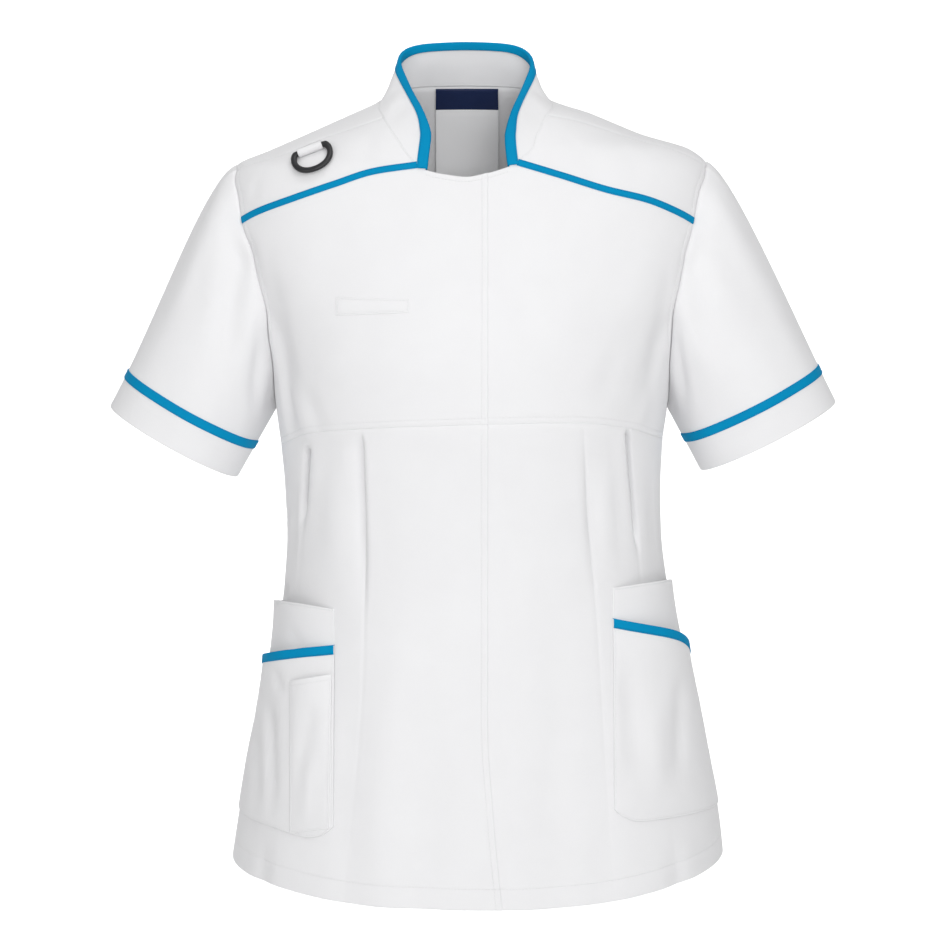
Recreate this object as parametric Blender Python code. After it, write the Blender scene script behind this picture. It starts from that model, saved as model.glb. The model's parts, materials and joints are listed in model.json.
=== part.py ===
"""Short-sleeved maternity tunic, filled out with no wearer.

Metres, +Z up. The front faces -Y. The wearer's right is -X, which is on the
left in a front view. The origin is in the middle of the neck, level with the
two points where the shoulders meet the collar: the wearer's shoulders carry
the tunic there.

Every piece of cloth is a wall on one of two charts. The body chart gives a
point from an angle round the body and a height; the shoulder ridge and the
side seams both lie at 90 degrees. The sleeve chart gives a point from a
station round the armhole and a distance along the sleeve. Pieces stop short
of their seam lines, and what lies on a panel uses the panel's own points,
moved out.
"""
import math
from collections import namedtuple

import bmesh
import bpy
import numpy as np

MM = 0.001

# ---------------------------------------------------------------- cloth sizes
CLOTH = 1.5 * MM            # body and sleeve cloth
COLLAR_CLOTH = 2.0 * MM     # collar, two layers
PATCH = 1.2 * MM            # pockets and strip
LABEL_CLOTH = 1.0 * MM
TAPE = 1.0 * MM             # blue tape
GAP = 0.3 * MM              # air between two pieces that touch
SEAM = 0.18 * MM            # each piece stops this far short of its seam line

YOKE_TAPE_WIDTH = 6.6 * MM
SLEEVE_TAPE_WIDTH = 9.0 * MM
BINDING_WIDTH = 8.5 * MM
BINDING_AIR = 0.5 * MM      # air inside the binding
COLLAR_LIFT = 0.5 * MM      # air below the collar at the neck seam
POCKET_TAPE_WIDTH = 8.5 * MM
CUFF_BAND = 31.0 * MM       # band of the sleeve below its tape
UNDERLAP = 34.0 * MM        # how far the left front runs under the right one
LAP_STEP = 14.0 * MM        # width over which the left front sinks to pass under
LAP_EASE = 1.5 * MM         # it is fully sunk this far outside the right one's edge
LAP_AIR = 0.3 * MM          # more air between the laps

# ------------------------------------------------------------- body sections
# Level sections of the outer face. left and right are the half widths' x,
# front and back the depths at the middle, square the superellipse exponent.
Ring = namedtuple("Ring", "z left right front back square")
BODY_RINGS = (
    Ring(-0.765, -0.2335, 0.2555, 0.1705, 0.154, 2.20),
    Ring(-0.700, -0.2235, 0.2485, 0.164, 0.147, 2.20),
    Ring(-0.637, -0.2125, 0.2365, 0.158, 0.140, 2.20),
    Ring(-0.586, -0.2000, 0.2250, 0.153, 0.133, 2.20),
    Ring(-0.530, -0.1865, 0.2095, 0.148, 0.125, 2.20),
    Ring(-0.468, -0.1764, 0.1955, 0.142, 0.117, 2.20),
    Ring(-0.420, -0.1738, 0.1895, 0.140, 0.114, 2.20),
    Ring(-0.380, -0.1748, 0.1882, 0.141, 0.116, 2.20),
    Ring(-0.337, -0.1783, 0.1895, 0.144, 0.122, 2.20),
    Ring(-0.298, -0.1830, 0.1940, 0.147, 0.127, 2.20),
    Ring(-0.262, -0.1873, 0.1985, 0.147, 0.130, 2.20),
    Ring(-0.225, -0.1965, 0.2080, 0.143, 0.132, 2.20),
    Ring(-0.190, -0.2120, 0.2240, 0.136, 0.132, 2.20),
    Ring(-0.150, -0.2235, 0.2320, 0.126, 0.129, 2.20),
    Ring(-0.110, -0.2275, 0.2345, 0.113, 0.121, 2.15),
    Ring(-0.085, -0.2285, 0.2365, 0.103, 0.114, 2.10),
    Ring(-0.065, -0.2195, 0.2320, 0.0945, 0.106, 2.05),
    Ring(-0.050, -0.1860, 0.2150, 0.0885, 0.099, 2.00),
    Ring(-0.035, -0.1515, 0.1670, 0.0820, 0.091, 2.00),
    Ring(-0.023, -0.1243, 0.1375, 0.0755, 0.084, 2.00),
    Ring(-0.014, -0.1040, 0.1150, 0.0705, 0.079, 2.00),
    Ring(-0.006, -0.0865, 0.0890, 0.0665, 0.075, 2.00),
    Ring(0.000, -0.0775, 0.0755, 0.0635, 0.0715, 2.05),
    Ring(0.012, -0.0690, 0.0680, 0.0575, 0.0660, 2.20),
    Ring(0.030, -0.0620, 0.0610, 0.0500, 0.0580, 2.30),
)

# ------------------------------------------------------- seams on the body
# x and z of points on the front face, for the wearer's right and left sides.
Edge = namedtuple("Edge", "where right_x right_z left_x left_z")
YOKE_SEAM = (
    Edge("armhole", -0.2122, -0.1160, 0.2155, -0.1165),
    Edge("outer", -0.1990, -0.1085, 0.1965, -0.1060),
    Edge("outer third", -0.1642, -0.0950, 0.1700, -0.0952),
    Edge("middle", -0.1245, -0.0812, 0.1316, -0.0856),
    Edge("inner third", -0.0850, -0.0685, 0.0887, -0.0722),
    Edge("collar end", -0.0450, -0.0625, 0.0480, -0.0600),
)
SHOULDER_SEAM = (
    Edge("armhole", -0.2183, -0.0690, 0.2288, -0.0664),
    Edge("outer third", -0.1800, -0.0560, 0.1880, -0.0462),
    Edge("middle", -0.1350, -0.0385, 0.1430, -0.0340),
    Edge("inner third", -0.1000, -0.0270, 0.1060, -0.0222),
    Edge("neck", -0.0775, -0.0190, 0.0770, -0.0165),
)
ARMHOLE_FRONT = (
    Edge("shoulder seam", -0.2183, -0.0690, 0.2288, -0.0664),
    Edge("upper yoke", -0.2163, -0.0910, 0.2213, -0.0890),
    Edge("yoke seam", -0.2122, -0.1160, 0.2155, -0.1165),
    Edge("chest", -0.2018, -0.1512, 0.2068, -0.1523),
    Edge("hollow", -0.1930, -0.1890, 0.2000, -0.1890),
    Edge("low", -0.1868, -0.2250, 0.1958, -0.2250),
    Edge("near underarm", -0.1840, -0.2650, 0.1943, -0.2640),
    Edge("underarm", -0.1830, -0.2980, 0.1940, -0.2970),
)
ARMHOLE_BACK = (
    Edge("below ridge", -0.2175, -0.0870, 0.2268, -0.0850),
    Edge("blade", -0.2110, -0.1250, 0.2190, -0.1250),
    Edge("hollow", -0.2030, -0.1700, 0.2120, -0.1700),
    Edge("low", -0.1930, -0.2200, 0.2030, -0.2200),
    Edge("near underarm", -0.1852, -0.2620, 0.1958, -0.2620),
)
EMPIRE_SEAM = (
    Edge("side", -0.1785, -0.3310, 0.1900, -0.3250),
    Edge("outer pleat", -0.1511, -0.3144, 0.1540, -0.3084),
    Edge("inner pleat", -0.0980, -0.3055, 0.1040, -0.3000),
    Edge("middle", -0.0450, -0.3015, 0.0550, -0.2988),
)
HEM = (
    Edge("side", -0.2310, -0.7380, 0.2535, -0.7330),
    Edge("outer", -0.1985, -0.7412, 0.2180, -0.7395),
    Edge("inner", -0.1083, -0.7493, 0.1200, -0.7505),
    Edge("middle", -0.0500, -0.7510, 0.0600, -0.7524),
)
HEM_BACK_CENTRE = -0.7450

# Neck seam, from the yoke seam round to the back.
Neck = namedtuple("Neck", "where face right_x right_z left_x left_z")
NECK_SEAM = (
    Neck("yoke seam", "front", -0.0450, -0.0625, 0.0480, -0.0600),
    Neck("front side", "front", -0.0655, -0.0375, 0.0665, -0.0360),
    Neck("shoulder seam", "front", -0.0775, -0.0190, 0.0770, -0.0165),
    Neck("ridge", "ridge", -0.0775, 0.0000, 0.0755, 0.0000),
    Neck("back side", "back", -0.0700, 0.0052, 0.0685, 0.0052),
    Neck("back", "back", -0.0380, 0.0105, 0.0380, 0.0105),
)
NECK_BACK_CENTRE = 0.0115

# Neckline of the fronts below the collar's ends.
Dip = namedtuple("Dip", "x z")
NECKLINE = (
    Dip(-0.0450, -0.0625),
    Dip(-0.0374, -0.0668),
    Dip(-0.0210, -0.0706),
    Dip(0.0010, -0.0731),
    Dip(0.0200, -0.0695),
    Dip(0.0409, -0.0636),
    Dip(0.0480, -0.0600),
)
COLLAR_END = dict(right=-0.0374, left=0.0409)

# Edge of the right front, which laps over the left one.
LAP_EDGE = (
    Dip(0.0207, 0.0000),
    Dip(0.0207, -0.5800),
    Dip(0.0255, -0.6600),
    Dip(0.0350, -0.7600),
)

# ------------------------------------------------------------ pleats and folds
# Pleat lines on the skirt fronts, from the empire seam to their ends and on to
# the hem. depth is the trough's, grow and fade the parts of its length over
# which it opens and closes.
Pleat = namedtuple("Pleat", "side name x_top x_end x_hem z_top z_end depth grow fade")
PLEATS = (
    Pleat("right", "outer", -0.1463, -0.1520, -0.1900, -0.312, -0.425, 7.5 * MM, 0.30, 0.60),
    Pleat("right", "inner", -0.0971, -0.0950, -0.1150, -0.306, -0.500, 5.0 * MM, 0.10, 0.85),
    Pleat("left", "outer", 0.1512, 0.1640, 0.2050, -0.308, -0.435, 7.5 * MM, 0.30, 0.60),
    Pleat("left", "inner", 0.1090, 0.1225, 0.1400, -0.300, -0.480, 5.0 * MM, 0.10, 0.85),
)
# Cross-section of a pleat: distance towards the side seam and part of depth.
PleatStep = namedtuple("PleatStep", "off part")
PLEAT_SECTION = (
    PleatStep(15.0 * MM, 0.0),
    PleatStep(6.0 * MM, 0.35),
    PleatStep(0.0, 1.0),
    PleatStep(-4.5 * MM, 0.10),
    PleatStep(-13.0 * MM, 0.0),
)

# Soft folds, from (x1, z1) to (x2, z2). Height is out of the cloth.
Fold = namedtuple("Fold", "face x1 z1 x2 z2 height width start end")
FOLDS = (
    Fold("front", -0.0720, -0.420, -0.0800, -0.800, 3.0 * MM, 24 * MM, 0.5, 0.0),
    Fold("front", -0.0350, -0.480, -0.0380, -0.800, -3.0 * MM, 22 * MM, 0.6, 0.0),
    Fold("front", 0.0850, -0.430, 0.0900, -0.800, -3.0 * MM, 22 * MM, 0.6, 0.0),
    Fold("front", -0.1960, -0.135, -0.1500, -0.300, -3.5 * MM, 11 * MM, 0.3, 0.5),
    Fold("front", 0.2000, -0.140, 0.1700, -0.300, -3.0 * MM, 11 * MM, 0.3, 0.5),
    Fold("back", -0.1200, -0.400, -0.1400, -0.800, -5.0 * MM, 26 * MM, 0.5, 0.0),
    Fold("back", -0.0450, -0.380, -0.0500, -0.800, 4.5 * MM, 26 * MM, 0.5, 0.0),
    Fold("back", 0.0350, -0.420, 0.0400, -0.800, -5.0 * MM, 26 * MM, 0.5, 0.0),
    Fold("back", 0.1200, -0.400, 0.1400, -0.800, 4.5 * MM, 26 * MM, 0.5, 0.0),
)

# -------------------------------------------------------------------- sleeves
# Cuff edge in the front view (outer and inner ends) and its reach in y.
# top_out is how far the cap runs on outwards before it turns down.
Cuff = namedtuple("Cuff", "side outer_x outer_z inner_x inner_z front back top_out")
CUFFS = (
    Cuff("right", -0.3434, -0.2955, -0.2208, -0.3645, -0.0660, 0.0560, 0.030),
    Cuff("left", 0.3569, -0.2914, 0.2269, -0.3582, -0.0660, 0.0560, 0.026),
)

# --------------------------------------------------------------------- collar
# Top edge of the stand from the front corner round to the back, and the middle
# of its front end, for each side.
Stand = namedtuple("Stand", "where right_x right_y right_z left_x left_y left_z")
COLLAR_HEART = np.array([0.0, -0.02, 0.0])  # inside of the neck
COLLAR_FRONT = Stand("front end", -0.0357, -0.0850, -0.0505, 0.0393, -0.0860, -0.0527)
COLLAR_TOP = (
    Stand("front corner", -0.0332, -0.0710, -0.0335, 0.0380, -0.0715, -0.0345),
    Stand("front", -0.0405, -0.0520, -0.0145, 0.0433, -0.0520, -0.0157),
    Stand("side front", -0.0520, -0.0250, 0.0055, 0.0530, -0.0250, 0.0045),
    Stand("side", -0.0607, 0.0000, 0.0231, 0.0605, 0.0000, 0.0210),
    Stand("back side", -0.0655, 0.0160, 0.0335, 0.0650, 0.0160, 0.0320),
    Stand("back corner", -0.0600, 0.0375, 0.0440, 0.0590, 0.0360, 0.0430),
    Stand("back", -0.0400, 0.0505, 0.0495, 0.0410, 0.0490, 0.0495),
    Stand("back middle", 0.0010, 0.0565, 0.0514, 0.0010, 0.0565, 0.0514),
)

# -------------------------------------------------------------------- pockets
# Top and bottom edges on the skirt, from the inner end to the side seam.
Rim = namedtuple("Rim", "in_x in_z mid_x mid_z out_x out_z side_z")
POCKET_BACK_TOP = dict(
    right=Rim(-0.1238, -0.4775, -0.1480, -0.4765, -0.1690, -0.4795, -0.4870),
    left=Rim(0.1380, -0.4578, 0.1600, -0.4572, 0.1801, -0.4585, -0.4670))
POCKET_FRONT_TOP = dict(
    right=Rim(-0.1230, -0.5112, -0.1451, -0.5172, -0.1740, -0.5300, -0.5430),
    left=Rim(0.1380, -0.4867, 0.1604, -0.4952, 0.1861, -0.5080, -0.5390))
POCKET_FOOT = dict(
    right=Rim(-0.1238, -0.6920, -0.1467, -0.6925, -0.1900, -0.6885, -0.6885),
    left=Rim(0.1395, -0.6765, 0.1646, -0.6775, 0.2089, -0.6790, -0.6850))
POCKET_LIE = 0.7 * MM       # air below a pocket layer's sewn edges
POCKET_CORNER = 13 * MM     # rounding of the inner lower corner
BACK_MOUTH = 9.5 * MM       # how far the upper layer's top stands off the skirt
FRONT_MOUTH = 9.5 * MM      # how far the lower layer's top stands off the upper
PEN_MOUTH = 8.5 * MM
# Pen pocket on the right pocket: x of its sides, z of its mouth's two ends.
PEN = dict(in_x=-0.1300, out_x=-0.1665, in_z=-0.5377, out_z=-0.5480, in_low=-0.6780, out_low=-0.6900)

# ---------------------------------------------------------------- small pieces
STRIP = dict(out_x=-0.1200, in_x=-0.0520, out_top=-0.1838, in_top=-0.1846,
             out_low=-0.2010, in_low=-0.1970)
LABEL = dict(right_x=-0.0303, left_x=0.0321, top=0.0090, bottom=-0.0800)

# Ring on the right yoke. The bar's middle is above RING_AT (x and z on the
# yoke); RING_RISE is the bar's slope up towards the collar.
RING_AT = (-0.1447, -0.0520)
RING_RISE = 18.5                    # degrees
BAR = 5.0 * MM                      # diameter of the straight bar
RING_CLEAR = 13.2 * MM              # half the clear length of the bar
BOW_INNER = 15.0 * MM               # half the clear width of the bow
BOW_OUTER = 20.6 * MM               # half the outer width
BOW_START = 8.5 * MM                # bar to the bow's centre
BOW_THICK = 4.2 * MM
TAB_WIDTH = 24.0 * MM
TAB_REACH = 10.5 * MM               # bar to the shoulder seam
TAB_CLOTH = 1.1 * MM
TAB_PLAY = 0.45 * MM                # air round the bar in the tab's fold

# ------------------------------------------------------------ steps of the grids
YOKE_COLS = 6
ARM_FRONT_STEPS = 7         # underarm to yoke seam
ARM_YOKE_STEPS = 3          # yoke seam to shoulder seam
ARM_BACK_STEPS = 11         # over the shoulder and down the back
NECK_YOKE_STEPS = 3
NECK_SIDE_STEPS = 3         # shoulder seam over the ridge to the neck's back
NECK_BACK_STEPS = 4         # on to the middle of the back
CHEST_LEVEL = -0.272        # height at the middle of the row that leaves the underarm
SIDE_ROWS = 2               # side seam rows between the empire seam and underarm
# Skirt rows as parts of the way up from hem to empire seam, close near the top.
SKIRT_ROWS = (0.0, 0.13, 0.27, 0.41, 0.54, 0.66, 0.76, 0.845, 0.915, 0.965, 1.0)
POCKET_COLS = (0.0, 0.05, 0.12, 0.25, 0.38, 0.52, 0.66, 0.79, 0.90, 1.0)
POCKET_ROWS = (0.0, 0.10, 0.26, 0.42, 0.58, 0.74, 0.88)
SLEEVE_ROWS = (0.0, 0.09, 0.22, 0.40, 0.60, 0.81, 1.0)
COLLAR_ROWS = 3


# ======================================================== curves and the chart
def pchip(xs, ys):
    """Smooth curve through a table's rows that doesn't overshoot them."""
    xs = np.asarray(xs, float)
    ys = np.asarray(ys, float)
    if xs[0] > xs[-1]:
        xs, ys = xs[::-1], ys[::-1]
    h = np.diff(xs)
    d = np.diff(ys) / h
    m = np.zeros(len(xs))
    for i in range(1, len(xs) - 1):
        if d[i - 1] * d[i] > 0:
            w1 = 2 * h[i] + h[i - 1]
            w2 = h[i] + 2 * h[i - 1]
            m[i] = (w1 + w2) / (w1 / d[i - 1] + w2 / d[i])
    m[0], m[-1] = d[0], d[-1]

    def value(x):
        i = int(np.clip(np.searchsorted(xs, x) - 1, 0, len(h) - 1))
        t = (x - xs[i]) / h[i]
        if t < 0:
            return ys[0] + m[0] * (x - xs[0])
        if t > 1:
            return ys[-1] + m[-1] * (x - xs[-1])
        t2, t3 = t * t, t * t * t
        return ((2 * t3 - 3 * t2 + 1) * ys[i] + (t3 - 2 * t2 + t) * h[i] * m[i]
                + (3 * t2 - 2 * t3) * ys[i + 1] + (t3 - t2) * h[i] * m[i + 1])
    return value


def ring_column(name):
    return pchip([r.z for r in BODY_RINGS], [getattr(r, name) for r in BODY_RINGS])


SIDES = ("right", "left")
SIGN = dict(right=-1, left=1)
LEFT_X, RIGHT_X = ring_column("left"), ring_column("right")
FRONT_Y, BACK_Y = ring_column("front"), ring_column("back")
SQUARE = ring_column("square")
LAP_X = pchip([p.z for p in LAP_EDGE], [p.x for p in LAP_EDGE])
NECKLINE_Z = pchip([p.x for p in NECKLINE], [p.z for p in NECKLINE])


def across(rows):
    """z over x for a seam given for both sides."""
    pts = [(e.right_x, e.right_z) for e in rows] + [(e.left_x, e.left_z) for e in rows[::-1]]
    return pchip([p[0] for p in pts], [p[1] for p in pts])


EMPIRE_Z, HEM_Z = across(EMPIRE_SEAM), across(HEM)


def half_width(x, z):
    return RIGHT_X(z) if x >= 0 else -LEFT_X(z)


def angle_at(x, z, face="front"):
    """Chart angle of a point: 0 front middle, 90 at +X, -90 at -X, 180 back."""
    a = math.degrees(math.asin(max(-1.0, min(1.0, x / half_width(x, z)))))
    if face == "front":
        return a
    return 180.0 - a if x >= 0 else -180.0 - a


def body_base(angle, z):
    a = math.radians(angle)
    s, c = math.sin(a), math.cos(a)
    width = RIGHT_X(z) if s >= 0 else -LEFT_X(z)
    depth = FRONT_Y(z) if c >= 0 else BACK_Y(z)
    n = SQUARE(z)
    y = max(0.0, 1 - abs(s) ** n) ** (1 / n)
    return np.array([width * s, -depth * y if c >= 0 else depth * y, z])


def body_level(p, z, front):
    n = SQUARE(z)
    depth = FRONT_Y(z) if front else BACK_Y(z)
    return (abs(p[0]) / half_width(p[0], z)) ** n + (abs(p[1]) / depth) ** n


def body_normal(angle, z):
    p = body_base(angle, z)
    h = 2e-4
    n = SQUARE(z)
    front = math.cos(math.radians(angle)) >= 0
    depth = FRONT_Y(z) if front else BACK_Y(z)
    w = half_width(p[0], z)
    gx = n * (abs(p[0]) / w) ** (n - 1) / w * (1 if p[0] >= 0 else -1)
    gy = n * (abs(p[1]) / depth) ** (n - 1) / depth * (-1 if front else 1)
    gz = (body_level(p, z + h, front) - body_level(p, z - h, front)) / (2 * h)
    g = np.array([gx, gy, gz])
    return g / np.linalg.norm(g)


RIDGE_LOW, RIDGE_TOP, CROWN = -0.085, 0.030, 0.080


def ridge_z(x):
    """Height of the shoulder ridge; continued smoothly over the neck."""
    top = half_width(x, RIDGE_TOP)
    if abs(x) <= top:
        return RIDGE_TOP + CROWN * (1 - (x / top) ** 2)
    lo, hi = RIDGE_LOW, RIDGE_TOP
    for _ in range(40):
        mid = (lo + hi) / 2
        if half_width(x, mid) > abs(x):
            lo = mid
        else:
            hi = mid
    return (lo + hi) / 2


def to_shoulder(spot, face):
    """Chart for the upper body: x, and the root of the drop below the ridge,
    negative on the front face. face settles the sign on the side line."""
    a, z = spot
    x = body_base(a, z)[0]
    q = math.sqrt(max(0.0, ridge_z(x) - z))
    c = math.cos(math.radians(a))
    front = face == "front" if abs(c) < 1e-9 else c > 0
    return (x, -q if front else q)


def from_shoulder(spot):
    x, q = spot
    z = ridge_z(x) - q * q
    return (angle_at(x, z, "front" if q < 0 else "back"), z)


def ease(t):
    t = min(1.0, max(0.0, t))
    return t * t * (3 - 2 * t)


def fold_height(angle, z):
    """Sum of the soft folds at a point; they die away at the side seams."""
    x = body_base(angle, z)[0]
    face = "front" if math.cos(math.radians(angle)) >= 0 else "back"
    total = 0.0
    for f in FOLDS:
        if f.face != face:
            continue
        dx, dz = f.x2 - f.x1, f.z2 - f.z1
        size = math.hypot(dx, dz)
        ux, uz = dx / size, dz / size
        t = ((x - f.x1) * ux + (z - f.z1) * uz) / size
        if 0 < t < 1:
            off = (x - f.x1) * uz - (z - f.z1) * ux
            grow = ease(t / f.start) if f.start > 0 else 1.0
            fade = ease((1 - t) / f.end) if f.end > 0 else 1.0
            total += f.height * math.exp(-(off / f.width) ** 2) * grow * fade
    return total * ease(abs(math.cos(math.radians(angle))) / 0.35)


# --------------------------------------------------------- lines on the chart
def walk(points):
    """Running 3-D length of a line given in (angle, z)."""
    spots = [body_base(a, z) for a, z in points]
    steps = [0.0]
    for p, q in zip(spots, spots[1:]):
        steps.append(steps[-1] + float(np.linalg.norm(q - p)))
    return steps


DENSE = 16


def through(points):
    """Smooth line through chart points, as DENSE small steps for each stretch."""
    run = walk(points)
    ca = pchip(run, [p[0] for p in points])
    cz = pchip(run, [p[1] for p in points])
    out = []
    for k in range(len(points) - 1):
        for i in range(DENSE):
            r = run[k] + (run[k + 1] - run[k]) * i / DENSE
            out.append((ca(r), cz(r)))
    return out + [points[-1]]


def spaced(points, steps):
    """steps + 1 points, evenly spaced along a line."""
    run = walk(points)
    out = []
    for i in range(steps + 1):
        want = run[-1] * i / steps
        k = int(np.clip(np.searchsorted(run, want) - 1, 0, len(run) - 2))
        t = (want - run[k]) / max(1e-12, run[k + 1] - run[k])
        out.append((points[k][0] + (points[k + 1][0] - points[k][0]) * t,
                    points[k][1] + (points[k + 1][1] - points[k][1]) * t))
    out[0], out[-1] = points[0], points[-1]
    return out


def side_of(row, side):
    return (row.right_x, row.right_z) if side == "right" else (row.left_x, row.left_z)


def line_of(rows, side):
    out = []
    for row in rows:
        x, z = side_of(row, side)
        face = getattr(row, "face", "front")
        out.append((SIGN[side] * 90.0 if face == "ridge" else angle_at(x, z, face), z))
    return out


def seam_curves(side):
    edge = SIGN[side] * 90.0
    c = {"yoke": through(line_of(YOKE_SEAM, side)),
         "shoulder": through(line_of(SHOULDER_SEAM, side))}
    front = line_of(ARMHOLE_FRONT, side)
    front[-1] = (edge, front[-1][1])
    dense = through(front)
    c["arm_yoke"] = dense[:DENSE * 2 + 1]       # shoulder seam down to yoke seam
    c["arm_front"] = dense[DENSE * 2:]          # yoke seam down to underarm
    x = side_of(ARMHOLE_FRONT[0], side)[0]
    back = [front[0], (edge, ridge_z(x * 1.002))]
    back += [(angle_at(*side_of(row, side), "back"), side_of(row, side)[1]) for row in ARMHOLE_BACK]
    c["arm_back"] = through(back + [front[-1]])  # shoulder seam over to underarm
    neck = line_of(NECK_SEAM, side) + [(SIGN[side] * 180.0, NECK_BACK_CENTRE)]
    dense = through(neck)
    c["neck_yoke"] = dense[:DENSE * 2 + 1]      # yoke seam to shoulder seam
    c["neck_side"] = dense[DENSE * 2:DENSE * 4 + 1]  # over the ridge to the back
    c["neck_back"] = dense[DENSE * 4:]          # to the middle of the back
    return c


CURVES = {side: seam_curves(side) for side in SIDES}


def side_z(side):
    """Side seam rows shared by the fronts and the back."""
    z0, z1 = side_of(HEM[0], side)[1], side_of(EMPIRE_SEAM[0], side)[1]
    z2 = CURVES[side]["arm_front"][-1][1]
    low = [z0 + (z1 - z0) * v for v in SKIRT_ROWS]
    return low, [z1 + (z2 - z1) * j / SIDE_ROWS for j in range(SIDE_ROWS + 1)]


def coons(bottom, top, start, end, us=None, vs=None):
    """Chart points of a patch from its four edges. Rows run bottom to top."""
    m, n = len(bottom) - 1, len(start) - 1
    us = us or [i / m for i in range(m + 1)]
    vs = vs or [j / n for j in range(n + 1)]
    return [[tuple(
        (1 - v) * bottom[i][k] + v * top[i][k] + (1 - u) * start[j][k] + u * end[j][k]
        - (1 - u) * (1 - v) * bottom[0][k] - u * (1 - v) * bottom[m][k]
        - (1 - u) * v * top[0][k] - u * v * top[m][k] for k in range(len(bottom[0])))
        for i, u in enumerate(us)] for j, v in enumerate(vs)]


def shoulder_patch(face, bottom, top, start, end):
    grid = coons(*[[to_shoulder(p, face) for p in line] for line in (bottom, top, start, end)])
    grid = [[from_shoulder(p) for p in row] for row in grid]
    # the edges keep their own points
    grid[0], grid[-1] = list(bottom), list(top)
    for j in range(len(grid)):
        grid[j][0], grid[j][-1] = start[j], end[j]
    return grid


def lay(chart, lift=None):
    """Outer points and outward normals of a chart patch."""
    points = [[None] * len(row) for row in chart]
    normals = [[None] * len(row) for row in chart]
    for j, row in enumerate(chart):
        for i, (a, z) in enumerate(row):
            n = body_normal(a, z)
            h = fold_height(a, z) + (lift(a, z, j, i) if lift else 0.0)
            points[j][i] = body_base(a, z) + n * h
            normals[j][i] = n
    return np.array(points), np.array(normals)


# =================================================================== meshes
def material(name, color, roughness):
    mat = bpy.data.materials.new(name)
    mat.use_nodes = True
    shader = mat.node_tree.nodes["Principled BSDF"]
    shader.inputs["Base Color"].default_value = (*color, 1.0)
    shader.inputs["Roughness"].default_value = roughness
    mat.diffuse_color = (*color, 1.0)
    return mat


def add_object(name, verts, faces, look, origin=(0.0, 0.0, 0.0)):
    origin = np.array(origin)
    mesh = bpy.data.meshes.new(name)
    mesh.from_pydata([tuple(v - origin) for v in verts], [], faces)
    bm = bmesh.new()
    bm.from_mesh(mesh)
    bmesh.ops.recalc_face_normals(bm, faces=bm.faces)
    bmesh.ops.triangulate(bm, faces=bm.faces, quad_method="SHORT_EDGE")
    if bm.calc_volume(signed=True) < 0:
        bmesh.ops.reverse_faces(bm, faces=bm.faces)
    bm.to_mesh(mesh)
    bm.free()
    mesh.shade_smooth()
    mesh.set_sharp_from_angle(angle=math.radians(40))
    obj = bpy.data.objects.new(name, mesh)
    obj.location = tuple(origin)
    obj.data.materials.append(material(name, *look))
    bpy.context.scene.collection.objects.link(obj)
    return obj


def unit(v):
    return v / np.linalg.norm(v, axis=-1, keepdims=True)


def trim(points, amount, edges="nesw"):
    """Pull a grid's edges in by a small amount, along the cloth."""
    p = points.copy()
    if "s" in edges:
        p[0] = points[0] + unit(points[1] - points[0]) * amount
    if "n" in edges:
        p[-1] = points[-1] + unit(points[-2] - points[-1]) * amount
    q = p.copy()
    if "w" in edges:
        q[:, 0] = p[:, 0] + unit(p[:, 1] - p[:, 0]) * amount
    if "e" in edges:
        q[:, -1] = p[:, -1] + unit(p[:, -2] - p[:, -1]) * amount
    return q


def wall(name, outer, normals, thickness, look, ring=False, hole=None):
    """Closed wall from a grid of outer points, thickened along -normal.
    hole(j, i) tells which cells are left out; a ring joins its last column
    to its first."""
    rows, cols = outer.shape[:2]
    inner = outer - normals * thickness
    half = rows * cols
    faces, rim = [], {}
    for j in range(rows - 1):
        for i in range(cols if ring else cols - 1):
            if hole and hole(j, i):
                continue
            k = (i + 1) % cols
            cell = (j * cols + i, j * cols + k, (j + 1) * cols + k, (j + 1) * cols + i)
            faces.append(cell)
            faces.append(tuple(v + half for v in cell[::-1]))
            for a, b in zip(cell, cell[1:] + cell[:1]):
                if (b, a) in rim:
                    del rim[(b, a)]
                else:
                    rim[(a, b)] = True
    faces += [(b, a, a + half, b + half) for a, b in rim]
    spots = list(outer.reshape(-1, 3)) + list(inner.reshape(-1, 3))
    used = sorted({v for f in faces for v in f})
    number = {v: n for n, v in enumerate(used)}
    return add_object(name, [spots[v] for v in used], [tuple(number[v] for v in f) for f in faces], look)


def swept(name, sections, look, closed=False, origin=(0.0, 0.0, 0.0)):
    """Closed solid from equal loops of points, capped unless it runs round."""
    size, count = len(sections[0]), len(sections)
    verts = [np.array(v) for s in sections for v in s]
    faces = []
    for k in range(count if closed else count - 1):
        n = (k + 1) % count
        for i in range(size):
            j = (i + 1) % size
            faces.append((k * size + i, k * size + j, n * size + j, n * size + i))
    if not closed:
        faces.append(tuple(range(size))[::-1])
        faces.append(tuple((count - 1) * size + i for i in range(size)))
    return add_object(name, verts, faces, look, origin)


WHITE = ((0.86, 0.86, 0.87), 0.85)
BLUE = ((0.0, 0.26, 0.55), 0.7)
BLACK = ((0.012, 0.012, 0.014), 0.35)
LABEL_WHITE = ((0.80, 0.80, 0.80), 0.6)


# =============================================================== the armholes
def armhole_ring(side):
    """Stations round an armhole, from the underarm up the front and back down."""
    c = CURVES[side]
    ring = spaced(c["arm_front"], ARM_FRONT_STEPS)[::-1]
    ring += spaced(c["arm_yoke"], ARM_YOKE_STEPS)[::-1][1:]
    ring += spaced(c["arm_back"], ARM_BACK_STEPS)[1:-1]
    return ring


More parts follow.
